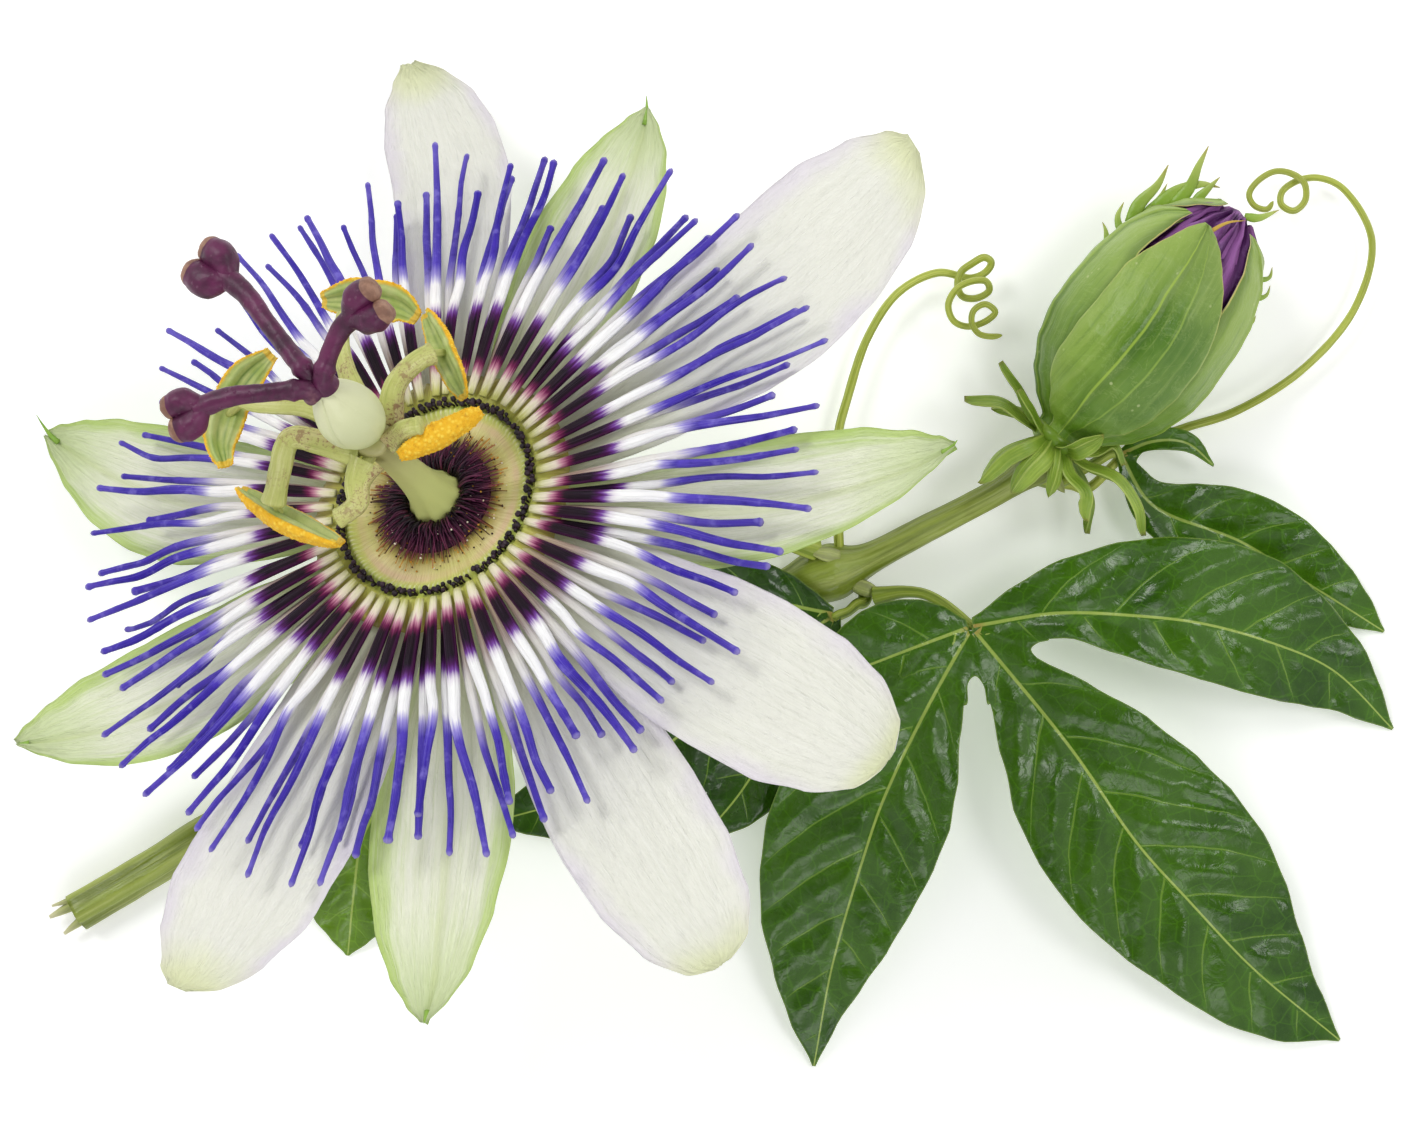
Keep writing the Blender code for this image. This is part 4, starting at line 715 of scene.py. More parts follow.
def corona_piece(name, node, count, turn, mid, reach, spread, lift, seed, mat, lower=False):
    rng = random.Random(seed)
    soup = Soup("reach", "strand", "around", "lower", "tip")
    step = 360.0 / count
    widths = (((9.6, 0.34), (11.0, 0.42), (13.5, 0.52), (16.5, 0.54), (19.0, 0.5), (22.0, 0.43),
               (25.0, 0.37), (28.0, 0.34), (31.0, 0.29), (33.0, 0.25), (36.0, 0.23)) if not lower else
              ((9.6, 0.28), (12.0, 0.34), (16.5, 0.42), (19.5, 0.44), (22.0, 0.39),
               (26.0, 0.33), (31.0, 0.27), (36.0, 0.22)))
    for k in range(count):
        phi = turn + (k + rng.uniform(-0.16, 0.16)) * step
        far = reach * (1 + rng.uniform(-spread, spread * 0.6) + 0.03 * math.sin(math.radians(phi) * 3 + 1))
        if rng.random() < 0.12:
            far *= 0.9
        sweep = rng.uniform(-0.8, 0.8)
        bend = rng.gauss(0, 0.7)
        kinks = [(rng.uniform(0.3, 0.9), rng.gauss(0, 0.2), rng.uniform(0.12, 0.25)) for _ in range(2)]
        lifts = [(rng.uniform(0.2, 0.95), rng.gauss(0, 0.28), rng.uniform(0.12, 0.25)) for _ in range(2)]
        rise = rng.uniform(-0.35, 0.5)
        width = rng.uniform(0.86, 1.12)
        bumps = [(rng.random(), rng.uniform(0.05, 0.16), rng.uniform(0.01, 0.03)) for _ in range(5)]
        n = 40
        path, sizes = [], []
        a0 = math.radians(phi)
        for i in range(n + 1):
            s = i / n
            if i > n - 5:
                s = 1 - 0.0075 * (n - i) ** 1.25 * 1.0
            r = CORONA_ROOT_R - 0.5 + (far - CORONA_ROOT_R + 0.5) * s
            free = max(0.0, (r - 15.0) / (far - 15.0))
            side = sweep * 0.45 * free + bend * free ** 2.2
            for at, by, over in kinks:
                side += by * math.exp(-((free - at) / over) ** 2) * min(1, free * 3)
            h = mid + 0.5 * math.sin(math.pi * min(1, s * 1.25)) + lift * s * s + rise * free * free
            for at, by, over in lifts:
                h += by * math.exp(-((free - at) / over) ** 2) * min(1, free * 3)
            path.append((r * math.cos(a0) - side * math.sin(a0),
                         r * math.sin(a0) + side * math.cos(a0), h))
            wide = table(widths, r) * width
            for at, by, over in bumps:
                wide *= 1 + by * free * math.exp(-((s - at) / over) ** 2)
            wide *= 1 + 0.22 * math.exp(-((s - 0.985) / 0.012) ** 2)
            end = round_tip(s, 0.985)
            high = wide * (0.72 if r < 17 else 0.72 + min(0.22, (r - 17) * 0.05))
            sizes.append((wide * max(end, 0.1), high * max(end, 0.1)))

        def section(i, a):
            # a low groove along the upper side where the strands are broad
            groove = 1 - 0.1 * math.exp(-((a - math.pi / 2) / 0.45) ** 2) * max(0.0, 1 - i / 20)
            return sizes[i][0] * math.cos(a), sizes[i][1] * math.sin(a) * groove
        v, f, al, ar = swept(path, 10, section)
        near, middle, outer = rng.uniform(-0.5, 0.35), rng.uniform(-0.75, 0.75), rng.uniform(-1.5, 1.2)
        reaches = []
        for p in v:
            q = math.hypot(p[0], p[1])
            t1, t2 = soft((q - 13.0) / 2.5), soft((q - 18.0) / 2.5)
            reaches.append((q + near * (1 - t1) + middle * t1 * (1 - t2) + outer * t2) / 40.0)
        soup.add(v, f, reach=reaches, strand=rng.random(), around=ar, lower=1.0 if lower else 0.0,
                 tip=[soft((s - 0.955) / 0.03) for s in al])
    return fixed_normals(put(name, soup.verts, soup.faces, mat, node, soup.attrs, matrix=FLOWER))


def blob(centre, radius, rng, squash=1.0):
    """A small lumpy grain: an icosahedron subdivided once."""
    verts, faces = BLOB
    out = []
    for v in verts:
        k = radius * (1 + rng.uniform(-0.16, 0.16))
        out.append((centre[0] + v[0] * k, centre[1] + v[1] * k, centre[2] + v[2] * k * squash))
    return out, faces


def icosphere(levels):
    bm = bmesh.new()
    bmesh.ops.create_icosphere(bm, subdivisions=levels, radius=1.0)
    verts = [tuple(v.co) for v in bm.verts]
    faces = [tuple(v.index for v in f.verts) for f in bm.faces]
    bm.free()
    return verts, faces


BLOB = icosphere(2)
BALL = icosphere(4)


def bead_piece(mat):
    rng = random.Random(31)
    soup = Soup("tone")
    count = 100
    for k in range(count):
        for row, lag in ((-0.15, 0.0), (0.2, 0.5)):
            if row > 0 and rng.random() < 0.3:
                continue
            phi = math.tau * (k + lag + rng.uniform(-0.3, 0.3)) / count
            r = BEAD_R - 0.02 + row + rng.uniform(-0.1, 0.1)
            size = rng.uniform(0.17, 0.29)
            high = 0.5 + rng.uniform(-0.02, 0.22)
            v, f = blob((r * math.cos(phi), r * math.sin(phi), high), size, rng, rng.uniform(0.8, 1.15))
            soup.add(v, f, tone=rng.random())
            if rng.random() < 0.45:
                q = phi + rng.uniform(-0.02, 0.02)
                rr = r + rng.uniform(-0.22, 0.22)
                v, f = blob((rr * math.cos(q), rr * math.sin(q), high - 0.14), size * rng.uniform(0.6, 0.85), rng)
                soup.add(v, f, tone=rng.random())
            # the short thread that carries the bead
            base = BEAD_R - 0.1
            course = [(base * math.cos(phi), base * math.sin(phi), -0.35),
                      (base * math.cos(phi), base * math.sin(phi), 0.1),
                      (r * math.cos(phi), r * math.sin(phi), high)]
            v, f, _, _ = swept(course, 5, lambda i, a: (0.1 * math.cos(a), 0.1 * math.sin(a)), up=(0.3, 0.2, 0.1))
            soup.add(v, f, tone=rng.random())
    return fixed_normals(put("bead_threads", soup.verts, soup.faces, mat, "bead_ring", soup.attrs, matrix=FLOWER))


def lathe(profile, sides, relief=None):
    verts, faces, rad = [], [], []
    n = len(profile)
    for i, (r, h) in enumerate(profile):
        for j in range(sides):
            a = math.tau * j / sides
            dr, dh = relief(r, h, a, i) if relief else (0, 0)
            verts.append(((r + dr) * math.cos(a), (r + dr) * math.sin(a), h + dh))
            rad.append((r + dr) / 12.5)
    faces = grid_faces(n - 1, sides, wrap=True)
    for ring in (0, n - 1):
        verts.append((0, 0, profile[ring][1]))
        rad.append(profile[ring][0] / 12.5)
        c = len(verts) - 1
        for j in range(sides):
            a, b = ring * sides + j, ring * sides + (j + 1) % sides
            faces.append((c, b, a) if ring == 0 else (c, a, b))
    return verts, faces, rad


def dish_piece(mat):
    """The flower's cup: green outside, a ridged nectary dish within the corona."""
    dashes = 118

    def relief(r, h, a, i):
        if h < -1.2 or r < 5.2:
            return 0.0, 0.0
        ridge = 0.02 * math.sin(a * 150 + 2 * math.sin(a * 7)) * min(1, (r - 5.2) / 1.5)
        if r > 9.3:
            ridge += 0.08 * math.sin(a * CORONA_COUNT * 2 + 1.0)
        if 8.0 < r < 8.7:
            ridge += 0.09 * max(0.0, math.sin(a * dashes + 1.5 * math.sin(a * 5)))
        return 0.0, ridge
    profile = [(0.4, -9.75), (1.3, -9.75), (1.52, -9.55), (1.56, -9.2), (1.75, -8.6), (2.8, -7.6), (4.5, -6.6), (6.1, -5.7),
               (7.25, -4.8), (7.6, -3.9), (7.6, -2.7), (7.85, -2.2), (8.4, -1.85), (9.3, -1.6), (10.6, -1.3), (11.8, -1.0),
               (12.1, -0.75), (11.6, -0.45), (10.9, -0.15), (10.3, 0.05), (9.8, 0.15), (9.5, 0.15), (9.2, -0.05), (8.9, -0.2), (8.7, -0.1), (8.55, 0.03),
               (8.35, 0.1), (8.15, 0.04), (8.0, -0.08), (7.7, -0.14), (7.4, -0.14), (7.1, -0.16),
               (6.8, -0.2), (6.4, -0.22), (6.1, -0.22), (5.9, -0.2), (5.6, -0.22), (5.0, -0.35),
               (4.0, -0.45), (3.0, -0.4), (2.4, -0.2), (1.0, -0.2)]
    sides = 720
    verts, faces, rad = lathe(profile, sides, relief)
    top, tx, ty, dash = [], [], [], []
    for v, q in zip(verts, rad):
        r = max(1e-6, math.hypot(v[0], v[1]))
        a = math.atan2(v[1], v[0])
        top.append(1.0 if v[2] > -1.4 else 0.0)
        tx.append(v[0] / r)
        ty.append(v[1] / r)
        d = max(0.0, math.sin(a * dashes + 1.5 * math.sin(a * 5))) * math.exp(-((q * 12.5 - 8.3) / 0.25) ** 2)
        dash.append(d * (0.5 + 0.5 * noise.noise(Vector((v[0] * 1.4, v[1] * 1.4, 3.0)))) * 1.6 if top[-1] else 0.0)
    return fixed_normals(put("flower_cup", verts, faces, mat, "receptacle",
                             {"rad": rad, "top": top, "turn_x": tx, "turn_y": ty, "dash": dash}, matrix=FLOWER))


def hair_piece(mat):
    """The operculum: a dark skirt of fine hairs round the foot of the column."""
    rng = random.Random(77)
    soup = Soup("along", "tone")
    skirt = [(2.2, -0.3), (2.3, 0.2), (3.0, 0.3), (4.0, 0.1), (4.7, -0.14), (5.0, -0.3)]
    v, f, rad = lathe([(2.2, -0.45)] + skirt + [(4.8, -0.45)], 96)
    soup.add(v, f, along=[min(0.62, q * 12.5 / 6 * 0.62) for q in rad], tone=0.3)
    for layer, count in enumerate((170, 150, 120)):
        for k in range(count):
            phi = math.tau * (k + rng.uniform(-0.5, 0.5)) / count
            r0 = (2.5, 2.4, 2.3)[layer] + rng.uniform(0, 0.5)
            r1 = (6.6, 5.7, 4.5)[layer] - abs(rng.gauss(0, 0.6)) + 0.35 * math.sin(phi * 19 + 2 * math.sin(phi * 5))
            h0 = (0.25, 0.42, 0.5)[layer]
            h1 = (-0.05, 0.2, 0.5)[layer] + rng.uniform(-0.08, 0.34)
            twist = rng.uniform(-0.07, 0.07)
            curl = rng.uniform(-0.025, 0.025)
            course = []
            for i in range(7):
                s = i / 6
                r = r0 + (r1 - r0) * s
                q = phi + twist * s + curl * math.sin(s * 5)
                h = h0 + (h1 - h0) * s + (0.3 + 0.1 * layer) * math.sin(math.pi * s) * 0.7
                course.append((r * math.cos(q), r * math.sin(q), h))
            w = rng.uniform(0.05, 0.12)
            v, f, al, _ = swept(course, 5, lambda i, a: (w * (1 - 0.08 * i) * math.cos(a), w * (1 - 0.08 * i) * math.sin(a)))
            tone = rng.random()
            # the colour follows how far out the hair has come
            soup.add(v, f, along=[min(1.0, (math.hypot(p[0], p[1]) - 2.2) / 4.3) for p in v], tone=tone)
            if rng.random() < (0.6, 0.3, 0.12)[layer]:
                v, f = blob(course[-1], rng.uniform(0.06, 0.11), rng)
                soup.add(v, f, along=2.0, tone=tone)
    # a few seed-like specks shed on the dish and on the hairs
    for k in range(46):
        phi = rng.uniform(0, math.tau)
        r = rng.uniform(5.6, 6.9)
        v, f = blob((r * math.cos(phi), r * math.sin(phi), -0.1), rng.uniform(0.045, 0.09), rng)
        soup.add(v, f, along=2.0, tone=rng.random())
    for k in range(50):
        phi = rng.uniform(0, math.tau)
        r = rng.uniform(3.0, 5.4)
        v, f = blob((r * math.cos(phi), r * math.sin(phi), 0.62 - 0.12 * (r - 3)), rng.uniform(0.04, 0.07), rng)
        soup.add(v, f, along=2.0, tone=rng.uniform(0.9, 1.0))
    return fixed_normals(put("operculum_hairs", soup.verts, soup.faces, mat, "nectary_disc", soup.attrs, matrix=FLOWER))


# ---------------------------------------------------------------- column, ovary, styles, stamens

def column_piece(mat):
    profile = [(2.55, -0.35), (2.45, 0.1), (2.2, 0.6), (1.95, 1.3), (1.7, 2.2), (1.5, 3.4), (1.36, 5.0),
               (1.28, 6.8), (1.24, 8.6), (1.25, 10.0), (1.5, 10.9), (1.75, 11.3), (1.6, 11.7), (1.0, 11.9)]

    def relief(r, h, a, i):
        flute = 0.13 * math.exp(-((h - 0.1) / 1.0) ** 2) * math.cos(a * 9)
        return 0.05 * math.sin(a * 5 + 0.6) + flute, 0.0
    verts, faces, rad = lathe(profile, 108, relief)
    up = [(v[2] + 1) / 13 for v in verts]
    fixed_normals(put("column_shaft", verts, faces, mat, "column", {"up": up}, matrix=FLOWER))


def ovary_piece(mat):
    profile = []
    for i in range(40):
        t = i / 39
        r = 2.66 * math.sin(math.pi * (0.05 + 0.885 * t)) ** 0.78 * (1 + 0.12 * math.cos(math.pi * t))
        profile.append((r, 11.65 + 8.75 * t))

    def relief(r, h, a, i):
        turn = (a - math.radians(258 + 1.6 * (h - 15)) + math.pi) % math.tau - math.pi
        other = (a - math.radians(338 - 1.2 * (h - 15)) + math.pi) % math.tau - math.pi
        seam = -0.14 * math.exp(-(turn / 0.06) ** 2) - 0.07 * math.exp(-(turn / 0.3) ** 2) - 0.1 * math.exp(-(other / 0.12) ** 2)
        return 0.06 * math.cos(3 * a) + seam + 0.02 * wave(math.cos(a) * r, math.sin(a) * r, h, 1.2), 0.0
    verts, faces, rad = lathe(profile, 160, relief)
    up = [(v[2] - 11) / 9 for v in verts]
    fixed_normals(put("ovary_body", verts, faces, mat, "ovary", {"up": up}, matrix=FLOWER))


SKY = FLOWER.to_3x3().inverted() @ Vector((0, 0, 1))


def style_piece(index, mat):
    """A style: an arm from the ovary, forking into the two round lobes of its stigma."""
    head, size = STIGMAS[index]
    route = style_route(index)
    lead = Vector(route[0])
    route = [(0.5 * lead.x, 0.5 * lead.y, 20.2), tuple(lead * 0.8 + Vector((0, 0, 20.7)) * 0.2)] + route[1:]
    count = 90
    path = [Vector(p[:3]) for p in smooth_path(route, count)]
    run = [0.0]
    for a, b in zip(path, path[1:]):
        run.append(run[-1] + (b - a).length)
    left = [run[-1] - r for r in run]                     # millimetres to the end
    keep = sum(1 for q in left if q > 0.9 * size)

    def arm(i, a):
        s = i / (keep - 1)
        r = 0.8 + 0.3 * math.exp(-(run[i] / 0.7) ** 2) + 0.16 * math.exp(-((run[i] - 1.9) / 0.35) ** 2)
        r += 0.12 * soft((s - 0.5) * 2) - 0.05 * math.exp(-((s - 0.45) / 0.2) ** 2)
        r *= 1 + 0.03 * math.cos(3 * a + 6 * s + index) + 0.03 * wave(3 * s, math.cos(a), math.sin(a), 0.7, index)
        return r * math.cos(a), 0.94 * r * math.sin(a)
    v, f, al, _ = swept([tuple(p) for p in path[:keep]], 36, arm, up=SKY)
    soup = Soup("along", "face")
    v = [Vector(p) for p in v]
    soup.add([p + Vector((wave(p.x, p.y, p.z, 0.8, 3), wave(p.x, p.y, p.z, 0.8, 6), wave(p.x, p.y, p.z, 0.8, 9))) * 0.05
              for p in v], f, along=[0.8 * q for q in al], face=0.0)
    sides, steps = 40, 8
    for hand in (-1, 1):
        course, sizes = [], []
        picks = [i for i in range(count) if left[i] < 1.75 * size]
        for i in picks:
            ahead = (path[min(i + 1, count - 1)] - path[max(i - 1, 0)]).normalized()
            across = ahead.cross(SKY).normalized()
            t = soft((1.5 * size - left[i]) / (1.1 * size))
            course.append(path[i] + across * hand * size * 0.47 * t + SKY.normalized() * 0.06 * hand * t)
            fat = soft((1.4 * size - left[i]) / (0.9 * size))
            lip = 1 - 0.12 * soft((0.4 * size - left[i]) / (0.4 * size)) ** 2
            wide = (0.68 + (size * 0.57 - 0.68) * fat) * lip * (0.97 if hand > 0 else 1.03)
            high = (0.72 + (size * 0.6 - 0.72) * fat) * lip
            sizes.append((wide, high))

        def club(i, a):
            w, hgt = sizes[i]
            return w * math.cos(a), hgt * math.sin(a)
        v, f, al, ar = swept([tuple(p) for p in course], sides, club, up=SKY)
        n = len(course)
        out = [Vector(p) for p in v[:n * sides]]
        out = [p + Vector((wave(p.x, p.y, p.z, 0.9, 13), wave(p.x, p.y, p.z, 0.9, 16), wave(p.x, p.y, p.z, 0.9, 19))) * 0.1
               for p in out]
        along = [0.8 + 0.2 * q for q in al[:n * sides]]
        face = [0.0] * (n * sides)
        faces = grid_faces(n - 1, sides, wrap=True)
        faces.append(tuple(range(sides - 1, -1, -1)))
        last = (n - 1) * sides
        ring = [Vector(p) for p in out[last:]]
        middle = sum(ring, Vector()) / sides
        ahead = (course[-1] - course[-4]).normalized()
        for m in range(1, steps + 1):
            k = math.cos(m / steps * math.pi / 2) ** 0.8
            dome = math.sin(m / steps * math.pi / 2)
            for p in ring:
                q = middle + (p - middle) * max(k, 0.02) + ahead * size * 0.36 * dome
                q += ahead * 0.05 * wave(q.x, q.y, q.z, 0.4, index)
                out.append(q)
                face.append(1.0)
                along.append(1.0)
        for j in range(sides):
            face[last + j] = 0.5
        faces += grid_faces(steps, sides, wrap=True, base=last)
        faces.append(tuple(last + steps * sides + j for j in range(sides)))
        soup.add(out, faces, along=along, face=face)
    return fixed_normals(put(f"style_{index + 1}_stigma", soup.verts, soup.faces, mat, f"style_{index + 1}",
                             soup.attrs, matrix=FLOWER))


def stamen_piece(index, mat):
    path = [Vector(p[:3]) for p in smooth_path(STAMENS[index], 60)]
    for _ in range(10):
        path = [path[0]] + [(a + b * 2 + c) / 4 for a, b, c in zip(path, path[1:], path[2:])] + [path[-1]]
    path = [tuple(p) for p in path]
    first, last = STAMEN_SIZE[index]

    def section(i, a):
        s = i / 59
        w = first + (last - first) * s + 0.45 * (1 - s) ** 5
        w *= 1 + 0.03 * math.cos(5 * a) + (0.16 * math.exp(-((s - 0.97) / 0.05) ** 2))
        k = round_tip(s, 0.96) if s < 1 else 0.1
        c, d = math.cos(a), math.sin(a)
        c, d = math.copysign(abs(c) ** 0.8, c), math.copysign(abs(d) ** 0.8, d)
        return w * k * c, 0.7 * w * k * d * (1 - 0.14 * math.exp(-((a - math.pi / 2) / 0.5) ** 2))
    v, f, al, ar = swept(path, 24, section, up=SKY)
    v = [p + Vector((wave(p.x, p.y, p.z, 1.1, 4), wave(p.x, p.y, p.z, 1.1, 9), 0)) * 0.06 for p in v]
    # the root runs into the column, and a short connective joins the end to its anther
    root = Vector(path[0])
    pegs = [(Vector(path[2]), Vector((root.x * 0.3, root.y * 0.3, root.z - 0.3)), 0.5, 0.0)]
    if CONNECTIVES[index]:
        pegs.append((Vector(path[-3]), Vector(CONNECTIVES[index]), 0.32, 1.0))
    for a, b, size, share in pegs:
        line = [tuple(a.lerp(b, i / 9)) for i in range(10)]
        peg, ends, _, turn = swept(line, 12, lambda i, t, size=size: (size * math.cos(t), size * math.sin(t)),
                                   up=(b - a).orthogonal())
        base = len(v)
        v = v + list(peg)
        f = list(f) + [tuple(k + base for k in face) for face in ends]
        al, ar = list(al) + [share] * len(peg), list(ar) + list(turn)
    return fixed_normals(put(f"filament_{index + 1}_strap", v, f, mat, f"stamen_filament_{index + 1}",
                             {"along": al, "around": ar}, matrix=FLOWER))


# where each stamen's end joins its anther, where it doesn't already lie in it
CONNECTIVES = ((-9.5, -4.6, 8.9), None, None, (4.95, 7.85, 10.5), (-3.6, 14.4, 9.7), (-15.4, 4.8, 10.0))
# half width of each stamen's filament at its root and at its end
STAMEN_SIZE = ((0.95, 0.95), (1.15, 0.75), (0.9, 0.7), (0.95, 0.85), (0.85, 0.7), (0.85, 0.7))


def anther_piece(index, mat):
    rng = random.Random(200 + index)
    route = [Vector(p) for p in ANTHERS[index]]
    n, sides = 90, 56
    path = smooth_path(route, n)
    width, depth, roll = ANTHER_SHAPE[index]
    width, depth = width * 1.04, depth * 1.04

    def section(i, a):
        s = i / (n - 1)
        full = max(0.1, math.sin(math.pi * (0.03 + 0.94 * s))) ** 0.55
        curl = 1 + 0.05 * math.sin(s * 15 + index)
        return boat_section(a, width * full * curl, depth * full, roll)
    v, f, al, ar = swept(path, sides, section, up=SKY)
    out, pollen, groove = [], [], []
    for p, s, a in zip(v, al, ar):
        q = abs(math.cos(a))
        inner = math.sin(a) > 0.0
        rim = 0.88 + 0.05 * wave(p.x, p.y, p.z, 0.9, index) + 0.03 * wave(p.x, p.y, p.z, 0.35, index)
        k = 1.0 if not inner else min(1.0, max(0.0, (q - rim) / 0.05))
        if inner and (s < 0.05 or s > 0.95):
            k = max(k, 0.7)
        pollen.append(k)
        lines = max(math.exp(-((q - 0.2) / 0.09) ** 2), 0.8 * math.exp(-((q - 0.58) / 0.08) ** 2))
        groove.append(lines * (0.5 + 0.9 * abs(wave(s * 6, q * 2, index, 1.0, 5))) if inner else 0.0)
        centre = Vector(path[min(n - 1, int(s * (n - 1)))][:3])
        away = p - centre
        swell = 0.12 * math.exp(-((q - 0.99) / 0.1) ** 2) if inner or q > 0.9 else 0.0
        grain = k * (0.04 + swell + 0.06 * wave(p.x, p.y, p.z, 0.5, index) + 0.035 * wave(p.x, p.y, p.z, 0.2, index + 3))
        grain += (1 - k) * 0.03 * wave(p.x, p.y, p.z, 0.5, index + 7)
        out.append(p + (away.normalized() if away.length > 1e-6 else away) * grain)
    soup = Soup("pollen", "along", "groove")
    soup.add(out, f, pollen=pollen, along=al, groove=groove)
    # loose grains that stand proud of the pollen
    for _ in range(700):
        j = rng.randrange(len(out))
        if pollen[j] > 0.85:
            gv, gf = GRAIN
            r = rng.uniform(0.04, 0.085)
            c = out[j]
            soup.add([(c[0] + x * r, c[1] + y * r, c[2] + z * r) for x, y, z in gv], gf, pollen=1.0, along=0.5)
    return fixed_normals(put(f"anther_{index + 1}_body", soup.verts, soup.faces, mat, f"anther_{index + 1}",
                             soup.attrs, matrix=FLOWER))


GRAIN = icosphere(1)


# ---------------------------------------------------------------- leaves

def leaf_piece(name, lobes, webs, mat, spacing, seed, vein_gap=6.0, fine=16):
    rows, plan, tris = leaf_plan(lobes, webs, 49, spacing, fine, 0.5)
    lengths = []
    for r in rows:
        lengths.append(sum(math.dist(a[0][:2], b[0][:2]) for a, b in zip(r, r[1:])))
    edges = {}
    for t in tris:
        for i in range(3):
            e = (t[i], t[(i + 1) % 3])
            edges[tuple(sorted(e))] = edges.get(tuple(sorted(e)), 0) + 1
    rim = [e for e, c in edges.items() if c == 1]
    marks = []
    for a, b in rim:
        pa, pb = plan[a], plan[b]
        k = max(1, int(math.dist(pa, pb) / 0.15))
        marks += [(pa[0] + (pb[0] - pa[0]) * i / k, pa[1] + (pb[1] - pa[1]) * i / k, 0) for i in range(k)]
    tree = kdtree.KDTree(len(marks))
    for i, m in enumerate(marks):
        tree.insert(m, i)
    tree.balance()
    top, bottom = [], []
    data = {k: [] for k in ("along", "dist", "rib", "signed", "hub", "flank", "mask", "edge", "reach")}
    for x, y in plan:
        z = blade_height(rows, x, y)
        near = []
        rib = 9.0
        for k, r in enumerate(rows):
            al, sd, d, _ = lobe_place(r, x, y)
            near.append((abs(sd), al, sd, d, k))
            if abs(sd) < 1.4 or al > 0.001:
                rib = min(rib, abs(d) + (0.0 if al < 0.995 else 0.0))
        near.sort()
        _, al, sd, d, k = near[0]
        mask = 1.0 if len(near) == 1 else min(1.0, max(0.0, (near[1][0] - near[0][0]) / 0.3))
        a_mm = al * lengths[k]
        edge = min(4.0, tree.find((x, y, 0))[2])
        inside = min(1.0, edge / 1.2)
        q = (a_mm - abs(d) * 0.72 - 0.055 * d * d) / vein_gap + (0.42 if d < 0 else 0.0)
        fade = min(1.0, (1.0 - al) * 5 + 0.15) * min(1.0, 0.2 + a_mm / 6)
        quilt = 0.26 * math.cos(math.tau * (q + 0.5)) * inside * min(1, abs(d) / 1.5) * mask
        rise = quilt + 0.5 * wave(x, y, 0, 9.0, seed) * inside
        rise += 0.26 * wave(x, y, 0, 3.6, seed + 5)
        rise += 0.13 * wave(x, y, 0, 1.7, seed + 9) * inside
        rise += 0.05 * wave(x, y, 0, 0.9, seed + 11) * inside
        rise += 0.4 * wave(x, y, 3, 6.0, seed + 2) * math.exp(-(edge / 1.6) ** 2)
        rise -= 0.28 * math.exp(-(rib / 0.5) ** 2) * (1 - 0.6 * al)
        rise *= fade
        body = 0.16 + 0.16 * min(1.0, edge / 0.35)
        back = 0.42 * math.exp(-(rib / 0.42) ** 2) * (1 - 0.75 * al)
        top.append(world(x, y, z + rise + 0.08))
        bottom.append(world(x, y, z + rise + 0.08 - body - back))
        hub = math.dist((x, y), rows[0][0][0][:2])
        for key, value in (("along", a_mm), ("dist", abs(d)), ("rib", rib), ("signed", d), ("hub", hub), ("flank", 1.0 if d < 0 else 0.0),
                           ("mask", mask), ("edge", edge), ("reach", al)):
            data[key].append(value)
    n = len(top)
    faces, count = [], {}
    for t in tris:
        a, b, c = (plan[i] for i in t)
        if (b[0] - a[0]) * (c[1] - a[1]) - (b[1] - a[1]) * (c[0] - a[0]) < 0:
            t = tuple(reversed(t))
        faces.append(tuple(t))
        faces.append(tuple(i + n for i in reversed(t)))
        for i in range(3):
            e = (t[i], t[(i + 1) % 3])
            count[e] = count.get(e, 0) + 1
    for (a, b) in count:
        if (b, a) not in count:
            faces.append((b, a, a + n, b + n))
    attrs = {k: v * 2 for k, v in data.items()}
    attrs["inner"] = [1.0] * n + [0.0] * n
    return put(name + "_blade", top + bottom, faces, mat, name, attrs)


# ---------------------------------------------------------------- vine, stalks, tendrils

def to_metres(points):
    return [tuple(world(*p[:3])) for p in points]


def round_piece(name, route, count, sides, radius, mat, node, extra=None, caps=True, up=(0, 0, 1)):
    """A round member in sprig millimetres: radius(share, angle, point)."""
    path = smooth_path([p[:3] for p in route], count)

    def section(i, a):
        r = radius(i / (count - 1), a, path[i])
        return r * math.cos(a), r * math.sin(a)
    v, f, al, ar = swept(path, sides, section, up=up, cap=caps)
    run = sum(math.dist(a, b) for a, b in zip(path, path[1:]))
    soup = Soup("along", "around", "mark")
    soup.add(v, f, along=[a * run for a in al], around=ar)
    if extra:
        extra(soup, path)
    return fixed_normals(put(name, to_metres(soup.verts), soup.faces, mat, node, soup.attrs))


